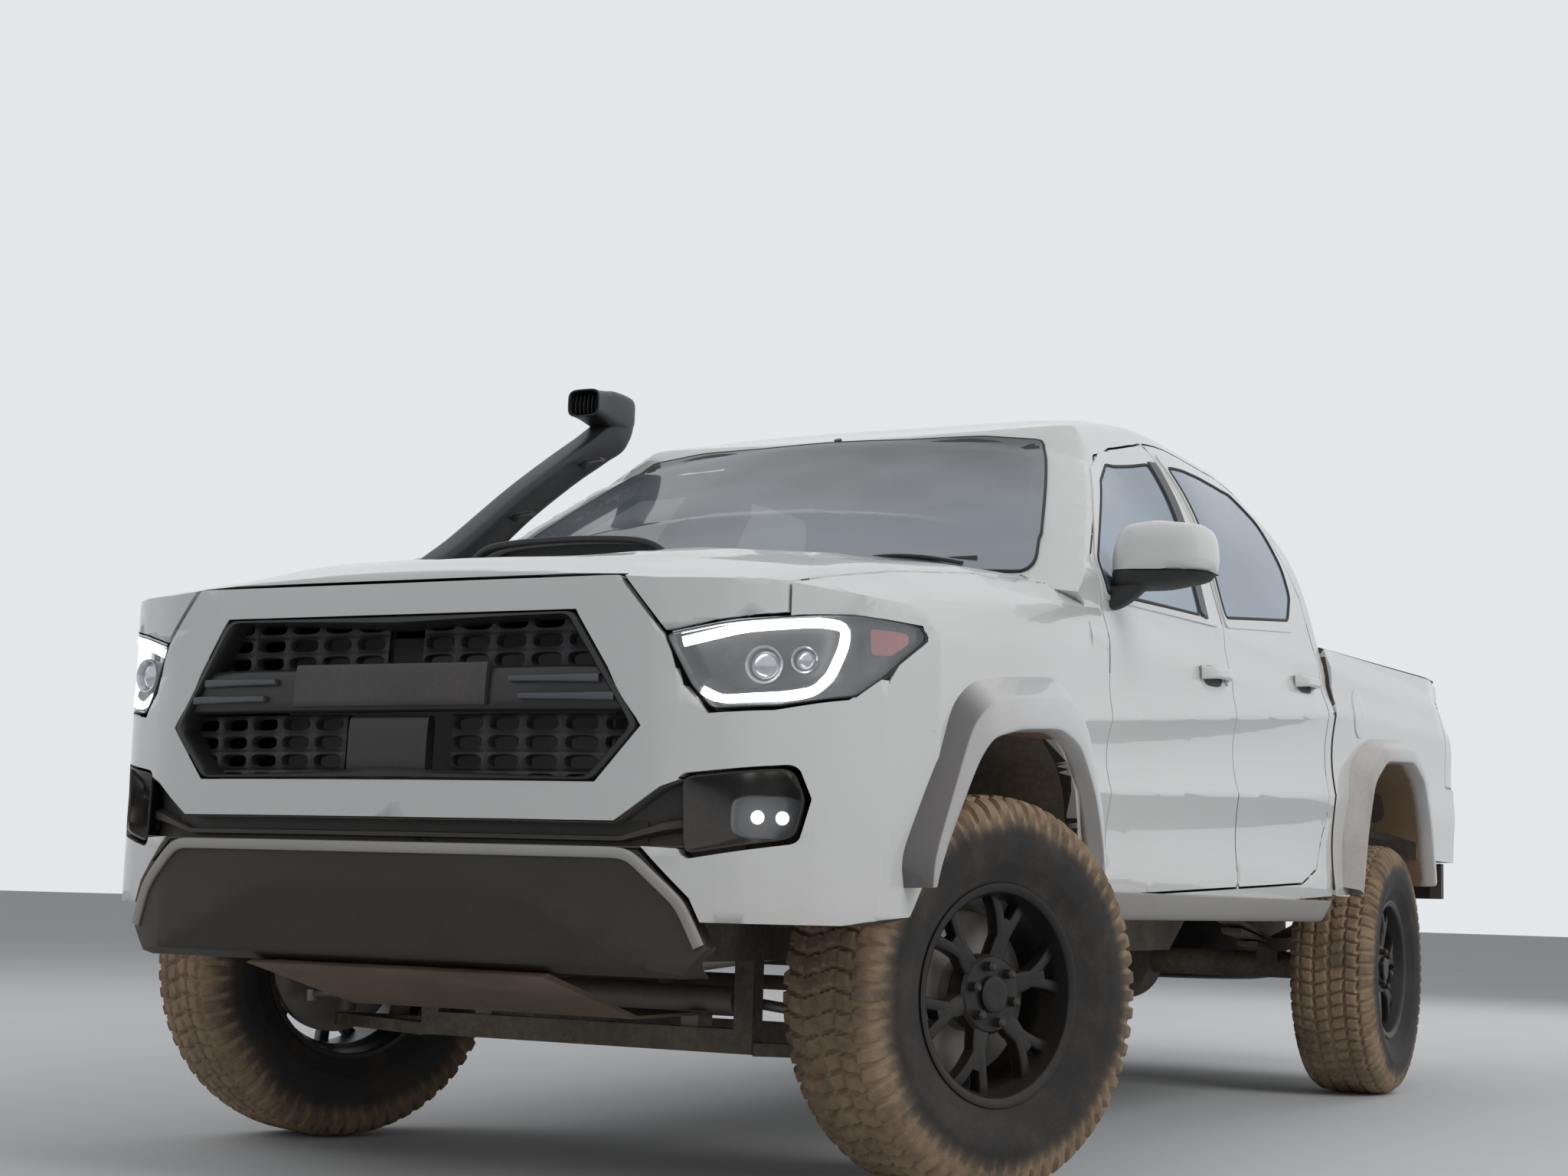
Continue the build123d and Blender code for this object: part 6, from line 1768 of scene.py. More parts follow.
@dataclass
class NoseTrim:
    """Slot under the grille, lip, scoop, wipers and cowl.

    Attributes:
        form: the body's form.
        scoop_half: the scoop's half-width.
    """

    form: BodyForm
    scoop_half: float = 0.235

    def build(self) -> None:
        """Builds the trims."""
        put("bumper_slot", self.slot(), Look.PLASTIC, "black_plastic", wall=0.003)
        put("bumper_lip", self.lip(), Look.LIP, "black_plastic")
        skin = self.scoop()
        put("scoop_cover", skin, Look.PAINT, "body_paint", "hood", ["hood_scoop"], wall=0.004, bevel=0.001)
        put("scoop_lip", self.scoop_lip(), Look.SATIN, "gloss_black", "hood")
        put("cowl_grille", self.cowl(), Look.PLASTIC, "black_plastic", wall=0.003)
        for side in Side:
            put(f"wiper_{side.word}", self.wiper(side), Look.SATIN, "black_plastic")

    def slot(self) -> Shape:
        """Dark duct behind the bumper's slot, with one blade along it; it widens towards the fog lamps."""
        x = np.linspace(-0.603, 0.603, 122)
        low = np.interp(np.abs(x), (0.0, 0.515, 0.603), (0.644, 0.644, 0.647))
        high = np.interp(np.abs(x), (0.0, 0.480, 0.560, 0.603), (0.690, 0.690, 0.751, 0.768))
        rows = []
        for share, inset in (
            (0.0, 0.004), (0.0, 0.040), (0.25, 0.046), (0.32, 0.024), (0.40, 0.024), (0.47, 0.046),
            (1.0, 0.040), (1.0, 0.004),
        ):
            rows.append(self.form.on_nose(np.stack([x, low + share * (high - low)], axis=1), inset))
        return surface(np.stack(rows))

    def lip(self) -> Shape:
        """Lip round the valance: flat bar along its top that turns down at both ends."""
        half = mm((0, 636), (505, 636), (596, 552), (628, 478))
        flat = softened(np.vstack([half[::-1], flipped_x(half[1:])]), 150, 0.018, closed=False)
        return tube(self.form.on_nose(flat, 0.006), 0.010, 0.007, 3.0, up=(0, -1, 0.1), sides=14)

    def crown(self, x: Array, y: Array) -> Array:
        """Bonnet height at x and y: parabola across, read along the nose table, plus the press."""
        table = np.array(self.form.nose)
        edge_x, edge_z, top = (np.interp(y, table[:, 0], table[:, k]) for k in (4, 5, 6))
        return top - (top - edge_z) * (x / edge_x) ** 2 + self.form.bonnet_press(np.abs(x), y)

    def scoop(self) -> Shape:
        """Scoop skin: height over the bonnet falls from the mouth to nothing, and to nothing at the sides.

        Height runs from a nearly level top down to the bonnet by (1 - back share)**0.9 and by
        1 - side share**8.
        """
        u, v = np.meshgrid(np.linspace(-1, 1, 61), np.linspace(0, 1, 46))
        x = self.scoop_half * u * (1 - 0.10 * v)
        y = self.mouth(u) * (1 - v) - 1.640 * v
        base = self.crown(x, y) + 0.003
        top = np.maximum(base, 1.288 + 0.012 * v - 0.010 * u**2)
        share = (1 - v) ** 0.9 * (1 - np.abs(u) ** 8)
        return surface(xyz(x, y, base + (top - base) * share)).flipped()

    def mouth(self, u: Array) -> Array:
        """y of the scoop's mouth at a share of its half-width: bowed forward in the middle."""
        return -2.085 - 0.022 * (1 - u**2)

    def scoop_lip(self) -> Shape:
        """Lip round the scoop's mouth: flat bar arched over the bonnet."""
        u = np.linspace(-1, 1, 90)
        x = self.scoop_half * u
        y = self.mouth(u)
        base = self.crown(x, y) + 0.002
        z = base + (1.286 - 0.010 * u**2 - base) * (1 - np.abs(u) ** 10)
        lip = tube(xyz(x, y, z), 0.012, 0.0065, 4.0, sides=14)
        section = ((0.004, 1.0), (0.045, 0.9), (0.050, 0.0))
        rows = [xyz(x, y + back, base + (z - base) * share) for back, share in section]
        return lip + surface(np.stack(rows))

    def cowl(self) -> Shape:
        """Cowl below the screen: shallow trough with fine ribs across it."""
        u, t = np.meshgrid(np.linspace(-0.70, 0.70, 141), np.linspace(0, 1, 7))
        bow = (u / 0.70) ** 2
        y = -1.418 + 0.050 * t + 0.10 * bow
        z = 1.300 + 0.012 * t - 0.022 * bow - 0.004 * np.sin(np.pi * t) + 0.0012 * np.sign(np.sin(u * 220))
        return surface(xyz(u, y, z))

    def wiper(self, side: Side) -> Shape:
        """Wiper: bent arm from the cowl and a blade along the screen's foot."""
        start = -0.62 if side is Side.RIGHT else 0.02
        x = np.linspace(start, start + 0.60, 40)
        lift = 0.010 + 0.012 * (x - start)
        y = -1.43 + lift + x**2 / 8.6
        z = 1.312 + 0.719 * lift - 0.004 * np.sin(np.pi * (x - start) / 0.6)
        blade = tube(xyz(x, y, z), 0.0055, 0.009, 3.0, sides=10)
        t = np.linspace(0, 1, 20)
        foot = np.array([start + 0.58, -1.405, 1.312])
        tip = np.array([x[20], y[20] - 0.006, z[20] + 0.010])
        arm = foot + (tip - foot) * t[:, None] + np.array([0, -0.006, 0.012]) * np.sin(np.pi * t)[:, None]
        return blade + tube(arm, 0.007, 0.0045, 3.0, sides=10)


@dataclass
class Snorkel:
    """Raised intake: head with a forward mouth, and a flat duct down the screen pillar.

    Attributes:
        route: x, y, z, half-width across, half-depth along the pillar's foot.
    """

    route: tuple = mm(
        (-868, -1445, 1205, 36, 52), (-862, -1422, 1262, 38, 58), (-850, -1375, 1318, 40, 56),
        (-830, -1270, 1402, 40, 50), (-800, -1062, 1568, 38, 45), (-778, -885, 1690, 38, 44),
        (-758, -775, 1764, 38, 46), (-748, -712, 1812, 39, 52), (-747, -695, 1850, 40, 56),
        (-747, -690, 1890, 36, 48),
    )

    def build(self) -> None:
        """Builds duct, head, mouth grid and brackets."""
        put("snorkel_duct", self.duct(), Look.SATIN, "black_plastic", replaces=["snorkel"], sharp=50)
        put("snorkel_head", self.head(), Look.SATIN, "black_plastic", sharp=45)
        put("snorkel_grid", self.grid(), Look.PLASTIC, "black_plastic")
        put("snorkel_brackets", self.brackets(), Look.SATIN, "black_plastic")

    @staticmethod
    def through(stations: Sequence[Sequence[float]], count: int) -> Array:
        """Smooth curve through stations, one row for each point."""
        rows = np.array(stations)
        at = np.linspace(0, len(rows) - 1, count)
        return np.stack([smooth_curve(range(len(rows)), column, at) for column in rows.T], axis=1)

    def duct(self) -> Shape:
        """Rounded box carried up the pillar through smoothed stations."""
        line = self.through(self.route, 90)
        return tube(line[:, :3], line[:, 3], line[:, 4], 5.0, up=(0, -1, 0.8), sides=36)

    def head(self) -> Shape:
        """Head: rounded sections swept forward from a closed back to an open, flared mouth."""
        stations = mm(
            (-632, 1885, 12, 20), (-636, 1880, 30, 40), (-655, 1876, 39, 50), (-700, 1872, 42, 56),
            (-740, 1872, 43, 55), (-780, 1872, 44, 48), (-820, 1873, 46, 41), (-850, 1873, 49, 38),
            (-857, 1873, 50, 38), (-859, 1873, 47, 35), (-851, 1873, 43, 32), (-800, 1875, 38, 32),
            (-750, 1878, 32, 28),
        )
        line = self.through(stations, 100)
        ring = oval(40, 4.0)
        x = -0.746 + line[:, 2:3] * ring[None, :, 0]
        return closed_tube(xyz(x, line[:, :1], line[:, 1:2] + line[:, 3:] * ring[None, :, 1]))

    def grid(self) -> Shape:
        """Thin upright slats inside the mouth."""
        shapes = []
        for x in np.linspace(-0.779, -0.715, 6):
            line = resample([(x, -0.836, 1.841), (x, -0.842, 1.868), (x, -0.836, 1.896)], 8)
            shapes.append(tube(line, 0.0016, 0.006, 3.0, up=(0, 1, 0), sides=8))
        return joined(shapes)

    def brackets(self) -> Shape:
        """Two straps that tie the duct to the pillar."""
        shapes = []
        for y, z, x in ((-0.860, 1.686, -0.757), (-1.130, 1.500, -0.795)):
            bends = [(x, y, z), (x + 0.045, y - 0.012, z + 0.022), (x + 0.085, y - 0.008, z + 0.026)]
            shapes.append(tube(resample(bends, 12), 0.014, 0.0035, 4.0, sides=12))
        return joined(shapes)


@dataclass
class Mirror(Sided):
    """Door mirror: white shell, black foot and glass.

    Attributes:
        split: height at which white turns to black.
        outline: x and z of its widest section.
        middle: x and z that its sections shrink to.
    """

    split: float = 1.312
    outline: tuple = mm(
        (858, 1276), (985, 1276), (1082, 1292), (1098, 1330), (1092, 1392), (1070, 1420), (960, 1434),
        (884, 1424), (860, 1370),
    )
    middle: tuple = (0.985, 1.352)

    def build(self) -> None:
        """Builds the mirror's pieces."""
        door = f"door_front_{self.side.word}"
        node = [f"mirror_{self.side.word}"]
        upper, lower = self.shell(True), self.shell(False)
        self.add("mirror_shell", upper, Look.PAINT, "body_paint", body=door, replaces=node, sharp=50)
        self.add("mirror_base", lower, Look.PLASTIC, "black_plastic", body=door, sharp=50)
        self.add("mirror_arm", self.arm(), Look.PLASTIC, "black_plastic", body=door)
        self.add("mirror_glass", self.glass(), Look.CHROME, "lamp_clear", body=door, sharp=50)

    def scaled(self, scale: Any) -> Array:
        """The outline scaled about its middle."""
        middle = np.array(self.middle)
        return middle + scale * (softened(self.outline, 72, 0.014) - middle)

    def shell(self, upper: bool) -> Shape:
        """Upper or lower shell: rounded box sections from the front cap back to the glass.

        Each section is the mirror's outline scaled about its middle; the lower part keeps only
        what is under the split, and the upper only what is over it, by drawing points to it.
        """
        depth = np.array([0.0, 0.02, 0.08, 0.2, 0.4, 0.7, 0.95, 1.0])[:, None]
        flat = self.scaled(np.array([0.30, 0.52, 0.74, 0.87, 0.955, 1.0, 1.0, 0.985])[:, None, None])
        x, z = flat[..., 0], flat[..., 1]
        line = self.split - 0.03 * (x - self.middle[0])
        z = np.maximum(z, line + 0.0015) if upper else np.minimum(z, line - 0.0015)
        return closed_tube(xyz(x, -1.204 + 0.106 * depth + 0.10 * (x - 0.87) * (1 - depth) * 0.3, z))

    def arm(self) -> Shape:
        """Foot: tapering bar from the door's corner out to the housing."""
        t = np.linspace(0, 1, 20)
        path = xyz(0.862 + 0.075 * t, -1.150, 1.256 + 0.045 * t**1.5)
        return tube(path, 0.027 - 0.004 * t, 0.026 - 0.006 * t, 4.0, sides=24)

    def glass(self) -> Shape:
        """Glass: the outline at nine tenths of its size, 1 mm proud of the back."""
        rings = []
        for scale, y in ((0.88, -1.100), (0.88, -1.0965), (0.86, -1.0955), (0.5, -1.0955)):
            flat = self.scaled(scale)
            rings.append(xyz(flat[:, 0], y, flat[:, 1]))
        return closed_tube(np.stack(rings))


# Sides


@dataclass
class SideTrim(Sided):
    """Door handles, window frames, panes, filler cap and sill trim of one side.

    Attributes:
        windows: door, then y and z of its window opening, its pane and the pane's clear part.
        handles: door, then front y, rear y, low z and high z of its handle's recess.
    """

    windows: tuple = (
        (
            "front",
            mm(
                (-1212, 1246), (-1212, 1342), (-1010, 1522), (-850, 1655), (-660, 1736), (-306, 1750),
                (-310, 1284),
            ),
            mm(
                (-1203, 1262), (-1203, 1335), (-985, 1505), (-845, 1612), (-700, 1688), (-352, 1716),
                (-470, 1297),
            ),
            mm(
                (-1172, 1272), (-1172, 1312), (-920, 1494), (-790, 1592), (-640, 1672), (-366, 1702),
                (-478, 1309),
            ),
        ),
        (
            "rear",
            mm(
                (-236, 1292), (-228, 1750), (100, 1750), (408, 1750), (578, 1700), (642, 1502), (618, 1438),
                (500, 1360),
            ),
            mm(
                (-224, 1318), (-214, 1712), (100, 1722), (385, 1722), (520, 1664), (574, 1550), (560, 1470),
                (462, 1390),
            ),
            mm(
                (-208, 1330), (-200, 1700), (100, 1710), (375, 1710), (508, 1656), (560, 1550), (546, 1476),
                (456, 1402),
            ),
        ),
    )
    handles: tuple = (("front", -0.545, -0.330, 1.112, 1.172), ("rear", 0.395, 0.610, 1.176, 1.238))

    def skin(self, y: Array, z: Array) -> Array:
        """Half-width of the pressed side at y and z, from the same tables as the panels."""
        return self.pressed(*np.broadcast_arrays(np.asarray(y, float), np.asarray(z, float)))[..., 0]

    def pressed(self, y: Array, z: Array) -> Array:
        """Places that the flat side's points at y and z move to."""
        cab, bed = (np.interp(z, *zip(*side)) for side in (self.form.cab_side, self.form.bed_side))
        points = xyz(np.where(y < self.form.cab_y[1], cab, bed), y, z).reshape(-1, 3)
        return (points + self.form.shift(points)).reshape(*y.shape, 3)

    def build(self) -> None:
        """Builds the side's trims."""
        word = self.side.word
        for place, *lines in self.windows:
            outline, edge, inner = (softened(line, 200, 0.014) for line in lines)
            middle = 0.25 * outline + 0.75 * edge
            door = f"door_{place}_{word}"
            trim = self.layers(
                (outline, -0.001), (outline, 0.0035), (middle, 0.0050), (edge, 0.0050), (edge, -0.006)
            )
            pane = patch(edge, lambda flat: self.lay(flat, 0.0034), 16, least=0.01).flipped()
            band = self.layers((edge, 0.0022), (inner, 0.0016), (inner, -0.008))
            for name, shape, look, slot in (
                ("window_frame", trim, Look.PAINT, "body_paint"),
                ("pane", pane, Look.GLASS, "window_glass"),
                ("window_band", band, Look.SEAL, "black_plastic"),
                ("window_bead", bead(self.lay(edge, 0.0028), 0.0050), Look.SEAL, "black_plastic"),
            ):
                node = [f"glass_{place}_{word}"] if name == "pane" else ()
                self.add(f"{name}_{place}", shape, look, slot, body=door, replaces=node, sharp=60)
        self.add("sill", self.sill(), Look.LIP, "black_plastic", wall=0.002)
        door = f"door_front_{word}"
        self.add("pillar_strip", self.strip(), Look.SATIN, "black_plastic", body=door, wall=0.002)
        for place, *box in self.handles:
            door = f"door_{place}_{word}"
            self.add(f"handle_{place}", self.handle(*box), Look.PAINT, "body_paint", body=door)
            cup = self.cup(*box)
            self.add(f"handle_cup_{place}", cup, Look.PLASTIC, "black_plastic", body=door, sharp=50)
            if place == "front":
                self.add("lock", self.lock(box[1], (box[2] + box[3]) / 2), Look.NUT, "steel", body=door)
        if self.side is Side.LEFT:
            put("filler_flap", self.flap(), Look.PAINT, "body_paint")

    def lay(self, flat: Array, lift: float) -> Array:
        """Points of y and z laid on the pressed side, lifted outwards and a little up."""
        return self.pressed(flat[..., 0], flat[..., 1]) + lift * np.array([1.0, 0.0, 0.35])

    def layers(self, *lines: tuple[Array, float]) -> Shape:
        """Band whose rows are closed lines of y and z, each laid on the side at its own lift."""
        return surface(np.stack([self.lay(line, lift) for line, lift in lines]), round_v=True).flipped()

    def disc(
        self, middle: tuple, size: tuple, power: float, section: tuple, count: int, rake: float = 0.0
    ) -> Shape:
        """Low oval laid on the side.

        Args:
            middle: y and z.
            size: half-length along y and half-height.
            power: superellipse power.
            section: share of the size and lift of each ring, from the edge in.
            count: points around.
            rake: climb along y.

        Returns:
            The open disc.
        """
        ring = oval(count, power)
        rings = []
        for share, lift in section:
            y = middle[0] + size[0] * share * ring[:, 0]
            z = middle[1] + size[1] * share * ring[:, 1] + rake * (y - middle[0])
            rings.append(xyz(self.skin(y, z) + lift, y, z))
        return surface(np.stack(rings), round_v=True).flipped()

    def sill(self) -> Shape:
        """Dusty sill strip under the doors: follows the cab's lower edge, 4 mm proud."""
        y = np.linspace(-1.232, 0.772, 90)
        section = mm((598, 0), (594, 4), (575, 5.5), (552, 4.5), (540, 3), (537, -4))
        rows = [self.lay(np.stack([y, np.full(90, z)], axis=1), lift) for z, lift in section]
        return surface(np.stack(rows))

    def strip(self) -> Shape:
        """Black strip on the door's rear frame, from the belt to the roof."""
        z = np.linspace(1.294, 1.722, 24)
        line = np.interp(z, (1.297, 1.716), (-0.466, -0.348))
        section = mm((-1, 3), (1, 7), (52, 7), (54, 3))
        rows = [self.lay(np.stack([line + y, z], axis=1), lift) for y, lift in section]
        return surface(np.stack(rows)).flipped()

    def handle(self, y0: float, y1: float, z0: float, z1: float) -> Shape:
        """Grip: bar that stands off the skin by a flat-topped arch and meets it at both ends."""
        t = np.linspace(0, 1, 40)
        y = y0 + (y1 - y0) * t
        z = (z0 + z1) / 2 + (y - y0) * RAKE * 1.5 + 0.004
        off = 0.026 * (1 - np.abs(2 * t - 1) ** 5) + 0.002
        tall = 0.0135 + 0.004 * np.abs(2 * t - 1) ** 3
        return tube(xyz(self.skin(y, z) + off, y, z), tall, 0.008, 3.5, up=(1, 0, 0), sides=24)

    def cup(self, y0: float, y1: float, z0: float, z1: float) -> Shape:
        """Finger recess behind the grip: shallow dark dish lying on the skin."""
        section = ((1.0, 0.0006), (0.93, 0.0018), (0.7, 0.0010), (0.3, 0.0006), (0.02, 0.0006))
        return self.disc(((y0 + y1) / 2, (z0 + z1) / 2 + 0.004), (0.080, 0.026), 3.0, section, 64, RAKE)

    def lock(self, y: float, z: float) -> Shape:
        """Key barrel: low turned button behind the grip."""
        x = float(self.skin(np.array(y + 0.012), np.array(z)))
        button = lathe(mm((-2, 0), (-2, 11), (2, 11), (3, 9), (2.2, 4), (2.2, 0)), 28)
        return button.moved(frame_at((x, y + 0.012, z), (1, 0, 0)))

    def flap(self) -> Shape:
        """Filler flap on the bed side: round lid with a shallow groove, 2 mm proud."""
        section = mm((78, 0), (77.5, 2.2), (74.5, 2.8), (50, 2.4), (20, 2.2), (1, 2.2))
        return self.disc((1.090, 1.175), (1.0, 1.0), 2.0, section, 72)


@dataclass
class Tail(Sided):
    """Tail lamp, rail cap and tie-downs of one side, and the tailgate's and the bumper's trims.

    Attributes:
        lamp: x range, z range of a tail lamp.
        rear: y of the bed's back face.
    """

    lamp: tuple = (0.800, 0.892, 1.016, 1.330)
    rear: float = 2.536

    def build(self) -> None:
        """Builds the side's pieces, and on the second side those in the middle."""
        lens = self.lens(1.075, 1.330)
        self.add("tail_lens", lens, Look.RED, "lamp_red", replaces=self.first("tail_lamps"), sharp=50)
        self.add("tail_corner", self.corner(), Look.PAINT, "body_paint", wall=0.003)
        self.add("tail_reverse", self.lens(1.016, 1.072), Look.LENS, "lamp_clear", sharp=50)
        self.add("tail_back", self.back(), Look.SATIN, "gloss_black", sharp=50)
        self.add("rail_cap", self.rail_cap(), Look.PLASTIC, "black_plastic")
        self.add("tie_downs", self.tie_downs(), Look.NUT, "steel")
        if self.side is Side.RIGHT:
            skin = self.gate_skin()
            put("tailgate_skin", skin, Look.PAINT, "body_paint", "tailgate", wall=0.003, bevel=0.001)
            put("tailgate_handle", self.gate_handle(), Look.SATIN, "gloss_black", "tailgate")
            put("tailgate_cap", self.gate_cap(), Look.PLASTIC, "black_plastic", "tailgate")
            put("bumper_step", self.step(), Look.PLASTIC, "black_plastic")

    def plan(self, corners: Sequence[tuple[float, float]], count: int) -> Array:
        """Rounded line in plan from x and the distance ahead of the bed's back face, in millimetres."""
        line = [(self.lamp[1] + x / 1000, self.rear - y / 1000) for x, y in corners]
        return softened(line, count, 0.006, closed=False)

    def lens(self, z0: float, z1: float) -> Shape:
        """Lamp lens wrapped round the bed's rear corner, with three raised bands."""
        plan = self.plan([(-92, 4), (-72, 1), (-40, 2), (-26, 4), (-22, 12)], 44)
        loop = np.vstack([plan, plan[::-1] - np.array([0.006, 0.006])])
        z = np.linspace(z0, z1, 40)[:, None]
        top = np.where(z > 1.18, 1.33 - z, 0.15) / 0.15
        fold = 0.008 * (1 - ease(top, 0.0, 0.9))
        x = loop[None, :, 0] - fold - 0.0012 * (np.sin(40 * z) > 0.6)
        return closed_tube(self.tapered(xyz(x, loop[None, :, 1], z)))

    def tapered(self, points: Array) -> Array:
        """Points drawn in with the bed's rear corner."""
        aside, down = self.form.taper(points[..., 0], points[..., 1], points[..., 2])
        return points + xyz(aside, 0.0, down)

    def corner(self) -> Shape:
        """Painted corner panel beside the lamp: its plan follows the side and turns in at the lamp."""
        x1, z0, z1 = self.lamp[1:]
        z = np.linspace(z0 - 0.004, z1 + 0.004, 40)[:, None]
        side = np.interp(z, *zip(*self.form.bed_side))
        plan = self.plan([(-24, 4), (-8, 7), (0, 26), (1, 50), (1, 140)], 30)
        points = xyz(side + plan[None, :, 0] - x1, plan[None, :, 1], z)
        flat = points.reshape(-1, 3)
        return surface((flat + self.form.shift(flat)).reshape(points.shape))

    def back(self) -> Shape:
        """Black housing behind the lens."""
        x0, x1, z0, z1 = self.lamp
        t = np.linspace(0, 1, 6)
        x = (x0 + x1) / 2 - 0.016 - 0.028 * ease(t, 0.3, 1.0)
        path = xyz(x, self.rear - 0.062, z0 + 0.004 + (z1 - z0 - 0.010) * t)
        return tube(path, 0.026, 0.050, 6.0, up=(0, 1, 0), sides=32)

    def rail_height(self, y: Array) -> Array:
        """Bed rail height: rises by the rake."""
        return 1.342 + RAKE * (y - 0.795)

    def rail_cap(self) -> Shape:
        """Plastic cap along the bed rail."""
        y = np.linspace(0.812, 2.500, 80)
        x = 0.812 - 0.020 * ease(y, 2.25, 2.54)
        return tube(self.tapered(xyz(x, y, self.rail_height(y) + 0.002)), 0.031, 0.006, 4.0)

    def tie_downs(self) -> Shape:
        """Four cleats along the inner wall: short bent loops."""
        t = np.linspace(0, np.pi, 20)
        shapes = []
        for y in (0.98, 1.38, 1.98, 2.38):
            path = xyz(0.766 - 0.030 * np.sin(t), y + 0.035 * np.cos(t), self.rail_height(y) - 0.10)
            shapes.append(tube(path, 0.005, 0.005, sides=12))
        return joined(shapes)

    def gate_skin(self) -> Shape:
        """Tailgate face: flat panel with a wide pressed hollow and a folded upper edge.

        Depth = 9 mm inside a soft-edged rectangle, less the same for the handle's boss.
        """
        u, v = np.meshgrid(np.linspace(-0.783, 0.783, 150), np.linspace(0.915, 1.384, 70))
        inside = (1 - ease(np.abs(u), 0.640, 0.680)) * ease(v, 0.985, 1.015) * (1 - ease(v, 1.235, 1.265))
        boss = (1 - ease(np.abs(u), 0.150, 0.170)) * ease(v, 1.150, 1.17) * (1 - ease(v, 1.235, 1.265))
        y = self.rear + 0.0025 - 0.009 * np.clip(inside - boss, 0, 1) - 0.012 * ease(v, 1.355, 1.384) ** 2
        return surface(xyz(u, y, v)).flipped()

    def gate_handle(self) -> Shape:
        """Latch grip in the tailgate's boss."""
        t = np.linspace(-1, 1, 40)
        path = xyz(0.105 * t, self.rear - 0.002 + 0.008 * (1 - t**6), 1.215)
        return tube(path, 0.022, 0.006, 4.0, up=(0, 1, 0))

    def gate_cap(self) -> Shape:
        """Plastic cap along the tailgate's top."""
        path = xyz(np.linspace(-0.775, 0.775, 60), 2.505, self.rail_height(2.505) + 0.002)
        return tube(path, 0.028, 0.005, 4.0, sides=16)

    def step(self) -> Shape:
        """Ribbed tread along the bumper's step: fine waves on a flat pad."""
        u, v = np.meshgrid(np.linspace(-0.600, 0.600, 241), np.linspace(2.612, 2.684, 8))
        ribs = 0.0018 * np.sign(np.sin(u * 260))
        return surface(xyz(u, v, 0.8155 + ribs * (1 - ease(np.abs(v - 2.648), 0.030, 0.036))))


# Cabin


@dataclass
class Seat:
    """One padded seat, with seat cushion, back and head pad.

    Attributes:
        name: word in the object names.
        middle: x of its middle.
        half: half-width.
        front: y of the cushion's front.
        back: y where the cushion meets the back.
        top: cushion height.
        lean: the back's lean in radians.
        tall: the back's height.
        node: CAD node that it stands for, if it is the first of it.
    """

    name: str
    middle: float
    half: float
    front: float
    back: float
    top: float
    lean: float = 0.20
    tall: float = 0.56
    node: str = ""

    def pad(
        self,
        centre: Sequence[float],
        across: float,
        along: float,
        thick: float,
        tilt: float,
        seam: float = 0.55,
    ) -> Shape:
        """Crowned pad: superellipse box with pulled-in sides and two sewn channels.

        Points come from a rounded box of power 4.5 in two angles; the top swells by a
        cosine hump, the sides pull in between the corners, and narrow grooves follow the
        seams at plus and minus the seam share of the width. Fainter ones cross between them.

        Args:
            centre: the pad's middle.
            across: half-width along x.
            along: half-length along its own depth.
            thick: half-thickness.
            tilt: turn about x in radians.
            seam: seam place as a share of the half-width.

        Returns:
            The closed pad.
        """
        u = np.linspace(-np.pi / 2, np.pi / 2, 44)[:, None]
        turn = full_turn(88)[None]
        power = 2 / 4.5
        a = bent(np.cos(u), power) * bent(np.cos(turn), power)
        b = bent(np.cos(u), power) * bent(np.sin(turn), power)
        c = np.broadcast_to(bent(np.sin(u), power), a.shape)
        wave_a, wave_b = np.cos(a * np.pi / 2), np.cos(b * np.pi / 2)
        pull = 1 - 0.035 * wave_a * np.abs(b) ** 3 - 0.035 * wave_b * np.abs(a) ** 3
        cross = 0.7 * np.exp(-(((np.abs(b) - 0.45) / 0.04) ** 2)) * (np.abs(a) < seam)
        groove = np.exp(-(((np.abs(a) - seam) / 0.035) ** 2)) + cross
        side = 0.10 * ease(np.abs(a), seam, 0.95)
        hump = 0.14 * wave_a * wave_b
        x, y = a * across * pull, b * along * pull
        z = c * thick * (0.86 + hump + side * 1.2) - np.sign(c) * 0.007 * groove * (np.abs(c) > 0.4)
        cos, sin = math.cos(tilt), math.sin(tilt)
        points = xyz(centre[0] + x, centre[1] + y * cos - z * sin, centre[2] + y * sin + z * cos)
        return surface(points, round_v=True).outward()

    def build(self) -> None:
        deep = (self.back - self.front) / 2
        cushion = (self.middle, (self.front + self.back) / 2, self.top - 0.075)
        back_y = self.back + 0.03 + 0.5 * self.tall * math.sin(self.lean)
        back = (self.middle, back_y, self.top + 0.5 * self.tall * 0.97)
        tilt = math.pi - (math.pi / 2 + self.lean)
        replaced = [self.node] if self.node else []
        for part, shape, nodes in (
            ("cushion", self.pad(cushion, self.half, deep, 0.075, 0.05), replaced),
            ("back", self.pad(back, self.half * 0.96, self.tall / 2, 0.058, tilt), []),
        ):
            piece = put(f"{self.name}_{part}", shape, Look.CLOTH, "seat_fabric", replaces=nodes, sharp=80)
        top = self.top + self.tall + 0.095
        y = self.back + 0.05 + (self.tall + 0.09) * math.sin(self.lean)
        for index, offset in enumerate((0.0,) if self.half < 0.4 else (-0.36, 0.36)):
            x = self.middle + offset
            head = self.pad((x, y, top), 0.125, 0.075, 0.040, math.pi / 2 - self.lean, 0.8)
            piece = put(f"{self.name}_head_{index}", head, Look.CLOTH, "seat_fabric", sharp=80)
            posts = []
            for dx in (-0.05, 0.05):
                line = resample([(x + dx, y - 0.02, top - 0.16), (x + dx, y, top - 0.03)], 6)
                posts.append(tube(line, 0.006, 0.006, up=(0, 1, 0), sides=12))
            put(f"{self.name}_posts_{index}", joined(posts), Look.NUT, "steel")


